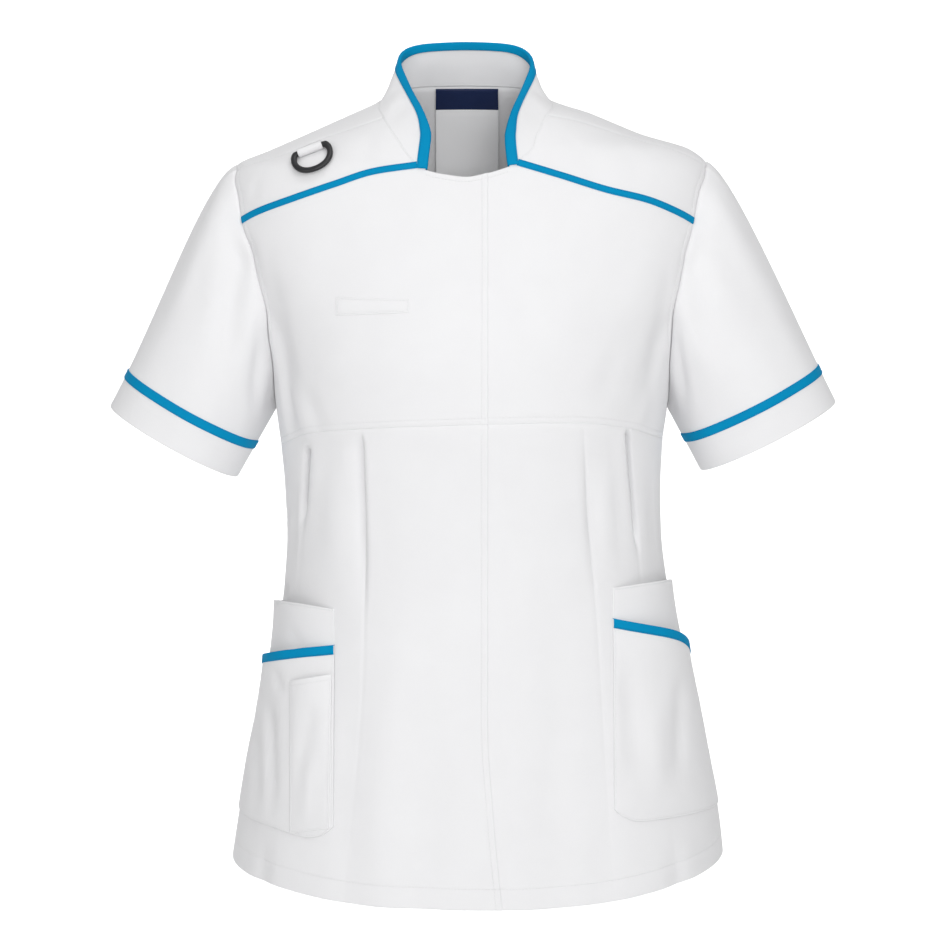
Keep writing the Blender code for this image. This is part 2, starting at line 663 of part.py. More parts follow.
def sleeve_lines(side):
    """A curve along the sleeve from each armhole station to the cuff's edge."""
    cuff = next(k for k in CUFFS if k.side == side)
    outer = np.array([cuff.outer_x, 0.0, cuff.outer_z])
    inner = np.array([cuff.inner_x, 0.0, cuff.inner_z])
    half = np.linalg.norm(outer - inner) / 2
    across_cuff = unit(outer - inner)
    axis = np.cross(across_cuff, (0, 1, 0))
    axis = unit(axis if axis[2] < 0 else -axis)
    centre = (outer + inner) / 2
    centre[1] = (cuff.front + cuff.back) / 2
    depth = (cuff.back - cuff.front) / 2
    ring = armhole_ring(side)
    spots = np.array([body_base(a, z) + body_normal(a, z) * fold_height(a, z) for a, z in ring])
    skins = np.array([body_normal(a, z) for a, z in ring])
    count, crown = len(ring), int(np.argmax(spots[:, 2]))
    run = np.concatenate([[0], np.cumsum(np.linalg.norm(np.roll(spots, -1, axis=0) - spots, axis=1))])
    out = np.array([float(SIGN[side]), 0.0, 0.0])
    lines = []
    for k in range(count):
        # turn: 0 underarm, 90 front, 180 crown, 270 back
        if k <= crown:
            turn = math.pi * run[k] / run[crown]
        else:
            turn = 2 * math.pi - math.pi * (run[count] - run[k]) / (run[count] - run[crown])
        end = centre - across_cuff * half * math.cos(turn) - np.array([0, 1, 0]) * depth * math.sin(turn)
        high = 0.5 - 0.5 * math.cos(turn)
        lead = axis * (1 - 0.75 * high ** 2) + out * 0.80 * high ** 2
        lead = unit(lead + np.array([0, -1, 0]) * 0.22 * math.sin(turn))
        reach = np.linalg.norm(end - spots[k])
        if high < 0.5:
            first = (0.30 - 0.12 * high) * reach
        else:
            first = 0.24 * (2 - 2 * high) * reach + cuff.top_out * (2 * high - 1)
        lines.append((spots[k], spots[k] + lead * first, end - axis * 0.38 * reach, end))
    return lines, skins


def sleeve_point(line, t):
    a, b, c, d = line
    s = 1 - t
    return a * s ** 3 + b * 3 * s * s * t + c * 3 * s * t * t + d * t ** 3


def before_cuff(line, distance):
    """Parameter of a sleeve line at a distance before the cuff's edge."""
    t, gone = 1.0, 0.0
    p = sleeve_point(line, t)
    while gone < distance and t > 0.2:
        t -= 0.002
        q = sleeve_point(line, t)
        gone += float(np.linalg.norm(q - p))
        p = q
    return t


def tube_normals(grid):
    """Outward normals of a grid that runs round, from its neighbours."""
    out = np.zeros_like(grid)
    for j in range(len(grid)):
        up = grid[min(len(grid) - 1, j + 1)] - grid[max(0, j - 1)]
        n = unit(np.cross(up, np.roll(grid[j], -1, axis=0) - np.roll(grid[j], 1, axis=0)))
        out[j] = n if np.sum(n * (grid[j] - grid[j].mean(axis=0))) > 0 else -n
    return out


MITRE = {}                  # wall directions at the armhole stations


def sleeve(side):
    lines, skins = sleeve_lines(side)
    seam = [before_cuff(l, CUFF_BAND + SLEEVE_TAPE_WIDTH / 2) for l in lines]
    main = np.array([[sleeve_point(l, t * f) for l, t in zip(lines, seam)] for f in SLEEVE_ROWS])
    band = np.array([[sleeve_point(l, t + (1 - t) * f) for l, t in zip(lines, seam)] for f in (0.0, 0.5, 1.0)])
    whole_n = tube_normals(np.concatenate([main, band[1:]]))
    main_n, band_n = whole_n[:len(main)].copy(), whole_n[len(main) - 1:]
    bisector = unit(main_n[0] + skins)
    MITRE[side] = bisector / np.clip(np.sum(bisector * skins, axis=1, keepdims=True), 0.6, 1)
    main_n[0] = MITRE[side]
    wall("sleeve_%s" % side, trim(main, SEAM, "sn"), main_n, CLOTH, WHITE, ring=True)
    wall("sleeve_cuff_%s" % side, trim(band, SEAM, "s"), band_n, CLOTH, WHITE, ring=True)
    # the tape bends over the seam with the two panels' own directions
    half = SLEEVE_TAPE_WIDTH / 2
    tape = np.array([main[-1] + unit(main[-2] - main[-1]) * half, main[-1],
                     main[-1] + unit(band[1] - band[0]) * half])
    tape_n = np.array([main_n[-1]] * 3)
    wall("sleeve_tape_%s" % side, tape + tape_n * (GAP + 0.1 * MM + TAPE), tape_n, TAPE, BLUE, ring=True)


# ================================================================== the fronts
def inner_x(side, z):
    """Inner column of a front, where its lap begins."""
    return LAP_X(z) - UNDERLAP if side == "right" else LAP_X(z) + LAP_EASE + LAP_STEP


def lap_xs(side, z):
    """Further columns to the front's centre edge."""
    if side == "right":
        return [LAP_X(z)]
    return [LAP_X(z) + LAP_EASE, LAP_X(z) - UNDERLAP]


def add_lap(chart, side, low_z, top_z):
    """Continue a front's rows to its centre edge."""
    z0, z1 = chart[0][-1][1], chart[-1][-1][1]
    for row in chart:
        z_in = row[-1][1]
        v = (z_in - z0) / (z1 - z0)
        x_in = inner_x(side, z_in)
        for k in range(len(lap_xs(side, z_in))):
            x = lap_xs(side, z_in)[k]
            z = z_in + (low_z(x) - low_z(x_in)) * (1 - v) + (top_z(x) - top_z(x_in)) * v
            x = lap_xs(side, z)[k]
            row.append((angle_at(x, z), z))
    return chart


def lap_lift(side, cols):
    """The left front sinks to pass under the right one's edge."""
    if side == "right":
        return lambda a, z, j, i: 0.0
    return lambda a, z, j, i: -(CLOTH + GAP + LAP_AIR) if i >= cols - 2 else 0.0


def front_upper(side):
    c = CURVES[side]
    low, high = side_z(side)
    top = spaced(c["yoke"], YOKE_COLS)
    x = COLLAR_END[side]
    top.append((angle_at(x, NECKLINE_Z(x)), NECKLINE_Z(x)))
    x = inner_x(side, -0.072)
    top.append((angle_at(x, NECKLINE_Z(x)), NECKLINE_Z(x)))
    x = inner_x(side, -0.30)
    edge = SIGN[side] * 90.0
    bottom = [(edge, high[0])] + line_of(EMPIRE_SEAM[1:], side)
    bottom = [p for p in bottom if abs(p[0]) > abs(angle_at(x, EMPIRE_Z(x))) + 3] \
        + [(angle_at(x, EMPIRE_Z(x)), EMPIRE_Z(x))]
    bottom = spaced(through(bottom), len(top) - 1)
    z_in = CHEST_LEVEL
    a_in = angle_at(inner_x(side, z_in), z_in)
    count = len(top) - 1
    middle = [(a + (a_in - bottom[-1][0]) * i / count, high[-1] + (z_in - high[-1]) * i / count)
              for i, (a, z) in enumerate(bottom)]
    start = [(edge, z) for z in high]
    zs = [bottom[-1][1] + (z_in - bottom[-1][1]) * j / SIDE_ROWS for j in range(SIDE_ROWS + 1)]
    chart = coons(bottom, middle, start, [(angle_at(inner_x(side, z), z), z) for z in zs])
    arm = spaced(c["arm_front"], ARM_FRONT_STEPS)[::-1]
    zs = [z_in + (top[-1][1] - z_in) * j / ARM_FRONT_STEPS for j in range(ARM_FRONT_STEPS + 1)]
    chart += shoulder_patch("front", middle, top, arm, [(angle_at(inner_x(side, z), z), z) for z in zs])[1:]
    add_lap(chart, side, EMPIRE_Z, NECKLINE_Z)
    points, normals = lay(chart, lap_lift(side, len(chart[0])))
    skin = normals.copy()
    for k in range(ARM_FRONT_STEPS + 1):
        skin[SIDE_ROWS + k][0] = MITRE[side][k]
    wall("front_%s_upper" % side, trim(points, SEAM), skin, CLOTH, WHITE)
    return points, normals, chart


def skirt_columns(side):
    """Column lines of a skirt front: (x or angle at a height), part of a
    pleat's depth, and the pleat."""
    edge, sign = SIGN[side] * 90.0, SIGN[side]
    pleats = [p for p in PLEATS if p.side == side]
    lines = []

    def pleat_column(p, step):
        path = pchip([p.z_top, p.z_end, -0.76], [p.x_top, p.x_end, p.x_hem])
        return lambda z: angle_at(path(z) + sign * step.off, z)

    def between(f, g, part):
        return lambda z: f(z) + (g(z) - f(z)) * part

    def side_line(z):
        return edge
    groups = [[(pleat_column(p, s), s.part, p) for s in PLEAT_SECTION] for p in pleats]

    def inner_line(z):
        return angle_at(inner_x(side, z), z)
    lines.append((side_line, 0.0, None))
    for part in (0.38, 0.72):
        lines.append((between(side_line, groups[0][0][0], part), 0.0, None))
    lines += groups[0]
    lines.append((between(groups[0][-1][0], groups[1][0][0], 0.5), 0.0, None))
    lines += groups[1]
    for part in (0.33, 0.66):
        lines.append((between(groups[1][-1][0], inner_line, part), 0.0, None))
    lines.append((inner_line, 0.0, None))
    return lines


def snap(row, line):
    """Points of a row moved onto a coarser polyline, matched by angle."""
    chart, points, normals = line
    out_p, out_n = [], []
    for a, z in row:
        best = None
        for k in range(len(chart) - 1):
            a0, a1 = chart[k][0], chart[k + 1][0]
            t = (a - a0) / (a1 - a0)
            if -1e-6 <= t <= 1 + 1e-6:
                best = (k, t)
                break
        k, t = best
        out_p.append(points[k] + (points[k + 1] - points[k]) * t)
        out_n.append(unit(normals[k] + (normals[k + 1] - normals[k]) * t))
    return np.array(out_p), np.array(out_n)


def front_skirt(side, upper):
    lines = skirt_columns(side)
    low, high = side_z(side)
    columns = []
    for k, (line, part, pleat) in enumerate(lines):
        if k == 0:
            z0, z1 = low[0], low[-1]
        else:
            z0, z1 = -0.745, -0.305
            for _ in range(4):
                z0 = HEM_Z(body_base(line(z0), z0)[0])
                z1 = EMPIRE_Z(body_base(line(z1), z1)[0])
        columns.append([(line(z0 + (z1 - z0) * v), z0 + (z1 - z0) * v) for v in SKIRT_ROWS])
    chart = [[col[j] for col in columns] for j in range(len(SKIRT_ROWS))]
    add_lap(chart, side, HEM_Z, EMPIRE_Z)
    sunk = lap_lift(side, len(chart[0]))

    def lift(a, z, j, i):
        h = sunk(a, z, j, i)
        if i < len(lines) and lines[i][2]:
            p = lines[i][2]
            t = (p.z_top - z) / (p.z_top - p.z_end)
            if 0 < t < 1:
                h -= p.depth * lines[i][1] * ease(t / p.grow) * ease((1 - t) / p.fade)
        return h
    points, normals = lay(chart, lift)
    up_points, up_normals, up_chart = upper
    points[-1], normals[-1] = snap(chart[-1], (up_chart[0], up_points[0], up_normals[0]))
    wall("front_%s_skirt" % side, trim(points, SEAM), normals, CLOTH, WHITE)
    return points, normals


# ==================================================================== the back
def full_turn(line):
    """Angles of the right side counted on past 180."""
    return [(a + 360.0 if a < 0 else a, z) for a, z in line]


def back_piece():
    """One grid with a notch for the neck: the shoulder columns run on past the
    back of the neck, over the ridge and down to the shoulder seam."""
    left, right = CURVES["left"], CURVES["right"]
    notch = ARM_BACK_STEPS - NECK_SIDE_STEPS        # rows up to the neck's back
    necks = [full_turn(spaced(left["neck_back"], NECK_BACK_STEPS)),
             full_turn(spaced(right["neck_back"], NECK_BACK_STEPS))]
    sides = [full_turn(spaced(c["neck_side"], NECK_SIDE_STEPS)) for c in (left, right)]
    seams = [spaced(c["shoulder"], YOKE_COLS) for c in (left, right)]
    arms = [spaced(c["arm_back"], ARM_BACK_STEPS)[::-1] for c in (left, right)]
    blades = []                                     # row from armhole to neck
    for arm, neck in zip(arms, necks):
        a, b = to_shoulder(arm[notch], "back"), to_shoulder(neck[0], "back")
        blades.append([arm[notch]] + [from_shoulder(tuple(a[k] + (b[k] - a[k]) * i / YOKE_COLS for k in (0, 1)))
                                      for i in range(1, YOKE_COLS)] + [neck[0]])
    top = blades[0] + necks[0][1:] + necks[1][::-1][1:] + blades[1][::-1][1:]
    cols = len(top) - 1
    low_l, high_l = side_z("left")
    low_r, high_r = side_z("right")
    zs_l, zs_r = low_l + high_l[1:], low_r + high_r[1:]
    chart = []
    for z_l, z_r in zip(zs_l, zs_r):
        row = []
        for i in range(cols + 1):
            u = i / cols
            z = z_l + (z_r - z_l) * u
            drop_z = (HEM_BACK_CENTRE - (low_l[0] + low_r[0]) / 2) * math.sin(math.pi * u) ** 2
            row.append((90.0 + 180.0 * u, z + drop_z * (zs_l[-1] - z_l) / (zs_l[-1] - zs_l[0])))
        chart.append(row)
    chart += shoulder_patch("back", chart[-1], top, arms[0][:notch + 1], arms[1][:notch + 1])[1:]
    over = [shoulder_patch("back", blades[k], seams[k], arms[k][notch:], sides[k][::-1])[1:] for k in (0, 1)]
    fill = cols - 1 - 2 * YOKE_COLS                 # spots of the notch, left out
    for j, (a, b) in enumerate(zip(*over)):
        chart.append(a + [(90.0 + 180.0 * i / cols, -0.1 + 0.01 * j) for i in range(len(a), len(a) + fill)] + b[::-1])
    points, normals = lay(chart)
    rows = len(chart)
    neck_row = rows - 1 - NECK_SIDE_STEPS
    lo, hi = YOKE_COLS, cols - YOKE_COLS

    def hole(j, i):
        return j >= neck_row and lo <= i < hi
    skin = normals.copy()
    first, stations = len(zs_l) - 1, ARM_FRONT_STEPS + ARM_YOKE_STEPS + ARM_BACK_STEPS
    for k in range(ARM_BACK_STEPS + 1):
        skin[first + k][0] = MITRE["left"][(stations - k) % stations]
        skin[first + k][-1] = MITRE["right"][(stations - k) % stations]
    # pull in the outer edges, then those of the notch
    cut = trim(points, SEAM, "nwe")
    for i in range(lo, hi + 1):
        cut[neck_row][i] = points[neck_row][i] + unit(points[neck_row - 1][i] - points[neck_row][i]) * SEAM
    for j in range(neck_row, rows):
        for i, k in ((lo, lo - 1), (hi, hi + 1)):
            cut[j][i] = cut[j][i] + unit(points[j][k] - points[j][i]) * SEAM
    wall("back", cut, skin, CLOTH, WHITE, hole=hole)
    return points, normals


# =================================================================== the yokes
def yoke(side):
    c = CURVES[side]
    chart = shoulder_patch("front", spaced(c["yoke"], YOKE_COLS), spaced(c["shoulder"], YOKE_COLS),
                           spaced(c["arm_yoke"], ARM_YOKE_STEPS)[::-1],
                           spaced(c["neck_yoke"], NECK_YOKE_STEPS))
    points, normals = lay(chart)
    skin = normals.copy()
    for k in range(ARM_YOKE_STEPS + 1):
        skin[k][0] = MITRE[side][ARM_FRONT_STEPS + k]
    wall("yoke_%s" % side, trim(points, SEAM), skin, CLOTH, WHITE)
    return points, normals


def yoke_tape(side, upper, yoke_grid):
    """Tape over the yoke seam, from the points of the two panels it joins."""
    n = YOKE_COLS + 1
    seam, half = yoke_grid[0][0], YOKE_TAPE_WIDTH / 2
    below = upper[0][-2][:n] - upper[0][-1][:n]
    tape = np.array([seam + unit(below) * half, seam,
                     seam + unit(yoke_grid[0][1] - seam) * half])
    tape_n = np.array([yoke_grid[1][0]] * 3)
    tape = trim(trim(tape, 0.8 * MM, "w"), 2.4 * MM, "e")
    wall("yoke_tape_%s" % side, tape + tape_n * (GAP + TAPE), tape_n, TAPE, BLUE)


# ================================================================== the collar
def polyline_at(points, part):
    steps = np.concatenate([[0], np.cumsum(np.linalg.norm(np.diff(points, axis=0), axis=1))])
    return np.array([np.interp(part * steps[-1], steps, points[:, k]) for k in range(3)])


def neck_stations(side):
    """Chart points of the collar's base on one side, front end to back middle."""
    c = CURVES[side]
    x = COLLAR_END[side]
    line = [(angle_at(x, NECKLINE_Z(x)), NECKLINE_Z(x))]
    line += spaced(c["neck_yoke"], NECK_YOKE_STEPS) + spaced(c["neck_side"], NECK_SIDE_STEPS)[1:]
    return line + spaced(c["neck_back"], NECK_BACK_STEPS)[1:]


def collar_grid():
    base = [[body_base(a, z) for a, z in neck_stations(side)] for side in SIDES]
    base = np.array(base[0] + base[1][::-1][1:])
    rows = [np.array([s.right_x, s.right_y, s.right_z]) for s in COLLAR_TOP]
    rows += [np.array([s.left_x, s.left_y, s.left_z]) for s in COLLAR_TOP[-2::-1]]
    run = np.concatenate([[0], np.cumsum(np.linalg.norm(np.diff(rows, axis=0), axis=1))])
    curves = [pchip(run, [p[k] for p in rows]) for k in range(3)]
    steps = np.concatenate([[0], np.cumsum(np.linalg.norm(np.diff(base, axis=0), axis=1))])
    top = [np.array([curve(run[-1] * s / steps[-1]) for curve in curves]) for s in steps]
    f = COLLAR_FRONT
    ends = [np.array([base[0], (f.right_x, f.right_y, f.right_z), top[0]]),
            np.array([base[-1], (f.left_x, f.left_y, f.left_z), top[-1]])]
    # even rows up to the binding's lower edge, then the top edge
    height = float(np.mean([np.linalg.norm(t - b) for t, b in zip(top, base)]))
    vs = [j / COLLAR_ROWS * (1 - BINDING_WIDTH / height) for j in range(COLLAR_ROWS + 1)] + [1.0]
    start, end = [[polyline_at(e, v) for v in vs] for e in ends]
    grid = np.array(coons(list(base), top, start, end, us=list(steps / steps[-1]), vs=vs))
    normals = np.zeros_like(grid)
    rows, cols = grid.shape[:2]
    for j in range(rows):
        for i in range(cols):
            up = grid[min(rows - 1, j + 1)][i] - grid[max(0, j - 1)][i]
            along = grid[j][min(cols - 1, i + 1)] - grid[j][max(0, i - 1)]
            n = unit(np.cross(up, along))
            normals[j][i] = n if np.dot(n, grid[j][i] - COLLAR_HEART) > 0 else -n
    return grid, normals


def collar():
    grid, normals = collar_grid()
    wall("collar", trim(grid, COLLAR_LIFT, "s"), normals, COLLAR_CLOTH, WHITE)
    # binding: a channel over the front ends and the top edge, from the
    # collar's own points. Each station is an edge spot and the leg's foot.
    rows, cols = grid.shape[:2]

    def spot(j, i):
        return np.array([grid[j][i], normals[j][i]])

    def mix(a, b, t):
        return a + (b - a) * t
    top = rows - 1

    def end_stations(i, k, m):
        first = 1.3 * MM / np.linalg.norm(grid[1][i] - grid[0][i])
        out = [(mix(spot(0, i), spot(1, i), first), mix(spot(0, k), spot(1, k), first))]
        out += [(spot(j, i), spot(j, k)) for j in range(1, top - 1)]
        out.append((spot(top - 1, i), mix(spot(top - 1, k), spot(top - 2, k), 0.2)))
        out.append((spot(top, i), spot(top - 1, k)))
        out.append((spot(top, k), mix(spot(top - 1, k), spot(top - 1, m), 0.25)))
        return out
    stations = end_stations(0, 1, 2)
    stations += [(spot(top, i), spot(top - 1, i)) for i in range(2, cols - 2)]
    stations += end_stations(cols - 1, cols - 2, cols - 3)[::-1]
    a, b, c = BINDING_AIR, BINDING_AIR + TAPE, COLLAR_CLOTH
    sections = []
    for edge, foot in stations:
        out = unit(edge[0] - foot[0])
        n, m = edge[1], unit(foot[1])
        n = unit(n - out * np.dot(n, out))
        sections.append([foot[0] + m * b, edge[0] + n * b + out * b, edge[0] - n * (c + b) + out * b,
                         foot[0] - m * (c + b), foot[0] - m * (c + a), edge[0] - n * (c + a) + out * a,
                         edge[0] + n * a + out * a, foot[0] + m * a])
    swept("collar_binding", sections, BLUE)
    return grid, normals


# ================================================================= the pockets
def pocket_frame(side, top):
    """Functions of one pocket layer: column angle, edges' heights, bulge."""
    foot, edge = POCKET_FOOT[side], SIGN[side] * 90.0
    in_x = pchip([foot.in_z, top.in_z], [foot.in_x, top.in_x])

    def angle(s, z):
        a = angle_at(in_x(z), z)
        return a + (edge - a) * s

    def part(a, z):
        a0 = angle_at(in_x(z), z)
        return (a - a0) / (edge - a0)

    def rim(r):
        spots = [(r.in_x, r.in_z), (r.mid_x, r.mid_z), (r.out_x, r.out_z)]
        return pchip([part(angle_at(x, z), z) for x, z in spots] + [1.0], [z for x, z in spots] + [r.side_z])
    top_z, foot_line = rim(top), rim(foot)

    def foot_z(s):
        return foot_line(s) + POCKET_CORNER * max(0.0, 1 - s / POCKET_COLS[2]) ** 2

    def bulge(a, z, mouth):
        s = min(1.0, max(0.0, part(a, z)))
        t = min(1.0, max(0.0, (z - foot_line(s)) / (top_z(s) - foot_line(s))))
        return mouth * (1 - abs(2 * s - 1) ** 3) * t ** 1.5
    return angle, top_z, foot_z, bulge


def pocket_layer(name, side, top, rows, lift, tape_row=False):
    angle, top_z, foot_z, _ = pocket_frame(side, top)
    chart = []
    for v in rows:
        row = []
        for s in POCKET_COLS:
            z0, z1 = foot_z(s), top_z(s)
            row.append((s, z0 + (z1 - z0) * v))
        chart.append(row)
    if tape_row:
        chart.append([(s, top_z(s) - POCKET_TAPE_WIDTH) for s in POCKET_COLS])
    chart.append([(s, top_z(s)) for s in POCKET_COLS])
    chart = [[(angle(s, z), z) for s, z in row] for row in chart]
    points, normals = lay(chart, lift)
    wall(name, trim(points, SEAM, "e"), normals, PATCH, WHITE)
    return points, normals


def pockets(side):
    bulge_back = pocket_frame(side, POCKET_BACK_TOP[side])[3]
    bulge_front = pocket_frame(side, POCKET_FRONT_TOP[side])[3]

    def back_lift(a, z, j, i):
        return POCKET_LIE + PATCH + bulge_back(a, z, BACK_MOUTH)

    def front_lift(a, z, j, i):
        return back_lift(a, z, j, i) + POCKET_LIE + PATCH + bulge_front(a, z, FRONT_MOUTH)
    pocket_layer("pocket_back_%s" % side, side, POCKET_BACK_TOP[side], POCKET_ROWS, back_lift)
    points, normals = pocket_layer("pocket_front_%s" % side, side, POCKET_FRONT_TOP[side],
                                   POCKET_ROWS, front_lift, tape_row=True)
    tape = trim(points[-2:], SEAM, "e") + normals[-2:] * (GAP + TAPE)
    wall("pocket_tape_%s" % side, tape, normals[-2:], TAPE, BLUE)
    return points, normals


def locate(points, x, z, rows=None, cols=None):
    """Row and column, with fractions, of the spot of a grid at x and z."""
    for j in (rows or range(points.shape[0] - 1)):
        for i in (cols or range(points.shape[1] - 1)):
            p = points[j:j + 2, i:i + 2][:, :, [0, 2]]
            u = v = 0.5
            for _ in range(12):
                here = ((1 - v) * ((1 - u) * p[0, 0] + u * p[0, 1]) + v * ((1 - u) * p[1, 0] + u * p[1, 1]))
                du = (1 - v) * (p[0, 1] - p[0, 0]) + v * (p[1, 1] - p[1, 0])
                dv = (1 - u) * (p[1, 0] - p[0, 0]) + u * (p[1, 1] - p[0, 1])
                det = du[0] * dv[1] - du[1] * dv[0]
                if abs(det) < 1e-12:
                    break
                e = np.array([x, z]) - here
                u += (e[0] * dv[1] - e[1] * dv[0]) / det
                v += (du[0] * e[1] - du[1] * e[0]) / det
            if -1e-6 <= u <= 1 + 1e-6 and -1e-6 <= v <= 1 + 1e-6 and abs(e[0]) + abs(e[1]) < 1e-6:
                return j + v, i + u
    raise ValueError("no spot at %.4f %.4f" % (x, z))


def at(grid, spot):
    r, c = spot
    j = min(int(r), grid.shape[0] - 2)
    i = min(int(c), grid.shape[1] - 2)
    v, u = r - j, c - i
    return (1 - v) * ((1 - u) * grid[j, i] + u * grid[j, i + 1]) + v * ((1 - u) * grid[j + 1, i] + u * grid[j + 1, i + 1])


def patch_on(panel, corner_rows, cols, rows, lift, within=(None, None)):
    """Grid over a panel between two lines of (x, z) corners."""
    points, normals = panel
    (a, b), (c, d) = corner_rows       # lower line, upper line
    out, out_n = [], []
    for j in range(rows + 1):
        v = j / rows
        row, row_n = [], []
        for i in range(cols + 1):
            u = i / cols
            x = (1 - v) * ((1 - u) * a[0] + u * b[0]) + v * ((1 - u) * c[0] + u * d[0])
            z = (1 - v) * ((1 - u) * a[1] + u * b[1]) + v * ((1 - u) * c[1] + u * d[1])
            spot = locate(points, x, z, *within)
            n = unit(at(normals, spot))
            row.append(at(points, spot) + n * lift(u, v))
            row_n.append(n)
        out.append(row)
        out_n.append(row_n)
    return np.array(out), np.array(out_n)


def pen_pocket(panel):
    p = PEN
    corners = (((p["out_x"], p["out_low"]), (p["in_x"], p["in_low"])),
               ((p["out_x"], p["out_z"]), (p["in_x"], p["in_z"])))
    grid, normals = patch_on(panel, corners, 4, 6, lambda u, v:
                             POCKET_LIE + PATCH + PEN_MOUTH * math.sin(math.pi * u) ** 0.7 * v ** 1.5)
    wall("pen_pocket", grid, normals, PATCH, WHITE)


def chest_strip(panel):
    p = STRIP
    corners = (((p["out_x"], p["out_low"]), (p["in_x"], p["in_low"])),
               ((p["out_x"], p["out_top"]), (p["in_x"], p["in_top"])))
    grid, normals = patch_on(panel, corners, 10, 2, lambda u, v: GAP + 0.5 * MM + PATCH)
    wall("chest_strip", grid, normals, PATCH, WHITE)


def neck_label(panel):
    p = LABEL
    corners = (((p["left_x"], p["bottom"]), (p["right_x"], p["bottom"])),
               ((p["left_x"], p["top"]), (p["right_x"], p["top"])))
    count, cols = panel[0].shape[:2]
    near = (range(len(SKIRT_ROWS) + SIDE_ROWS, count - 1), range(cols // 2 - 4, cols // 2 + 3))
    grid, normals = patch_on(panel, corners, 6, 6, lambda u, v:
                             -(CLOTH + 0.6 * MM + 2.0 * MM * (1 - v)), near)
    wall("neck_label", grid, normals, LABEL_CLOTH, LABEL_WHITE)


# ================================================================ ring and tab
def ring_frame():
    """Foot of the bar on the yoke, its direction, the slope down, and outward."""
    x, z = RING_AT
    a = angle_at(x, z)
    foot = body_base(a, z) + body_normal(a, z) * fold_height(a, z)
    out = body_normal(a, z)
    rise = math.radians(RING_RISE)
    bar = np.array([math.cos(rise), 0.0, math.sin(rise)])
    bar = unit(bar - out * np.dot(bar, out))
    down = np.cross(bar, out)
    down = unit(down if down[2] < 0 else -down)
    return foot, bar, down, out


def drop(foot, out, s, r, bar, down):
    """Height of the body's surface over the plane at the bar's foot."""
    spot = foot + bar * s + down * r
    lo, hi = -30 * MM, 12 * MM
    for _ in range(30):
        mid = (lo + hi) / 2
        p = spot + out * mid
        if body_level(p, p[2], True) > 1:
            hi = mid
        else:
            lo = mid
    return (lo + hi) / 2


def ring_outline():
    """Outer and inner points of the ring from the bar's middle round the bow:
    along the bar, down from it, and the thickness there."""
    r = BAR / 2
    half = [((0.0, -r), (0.0, r), BAR),
            ((RING_CLEAR - 1.5 * MM, -r), (RING_CLEAR - 1.5 * MM, r), BAR),
            ((RING_CLEAR + 2.6 * MM, -r), (RING_CLEAR - 0.3 * MM, r + 0.8 * MM), BOW_THICK),
            ((RING_CLEAR + 5.6 * MM, 0.6 * MM), (RING_CLEAR + 0.7 * MM, r + 2.2 * MM), BOW_THICK),
            ((BOW_OUTER - 0.4 * MM, BOW_START - 4.0 * MM), (BOW_INNER - 0.5 * MM, BOW_START - 2.2 * MM), BOW_THICK)]
    for k in range(10):
        t = math.pi / 2 * k / 9
        cos, sin = math.cos(t) ** 0.92, math.sin(t) ** 0.92
        half.append(((BOW_OUTER * cos, BOW_START + BOW_OUTER * sin),
                     (BOW_INNER * cos, BOW_START + BOW_INNER * sin), BOW_THICK))
    other = [((-o[0], o[1]), (-i[0], i[1]), t) for o, i, t in half[1:-1]]
    return half + other[::-1]


def d_ring():
    foot, bar, down, out = ring_frame()
    lift = BAR / 2 + TAB_PLAY + TAB_CLOTH + GAP + 0.2 * MM
    centre = foot + out * lift
    outline = ring_outline()
    # lay the bow on the cloth: the steepest slope that stays clear of it
    best = -90.0
    for o, i, t in outline[4:-3]:
        s, r = (o[0] + i[0]) / 2, (o[1] + i[1]) / 2
        height = max(drop(foot, out, q[0], q[1], bar, down) for q in (o, i)) + GAP + t / 2 - lift
        best = max(best, math.degrees(math.atan2(height, r)))
    slope = math.radians(best + 0.6)
    along = down * math.cos(slope) + out * math.sin(slope)
    up = out * math.cos(slope) - down * math.sin(slope)
    sections = []
    for o, i, t in outline:
        outer = centre + bar * o[0] + along * o[1]
        inner = centre + bar * i[0] + along * i[1]
        d = unit(outer - inner)
        size = np.linalg.norm(outer - inner)
        b, c = 0.3 * t, 0.3 * min(t, size)
        sections.append([outer - d * c + up * t / 2, outer + up * (t / 2 - b), outer - up * (t / 2 - b),
                         outer - d * c - up * t / 2, inner + d * c - up * t / 2, inner - up * (t / 2 - b),
                         inner + up * (t / 2 - b), inner + d * c + up * t / 2])
    swept("d_ring", sections, BLACK, closed=True, origin=centre)
    return foot, bar, down, out, lift, centre


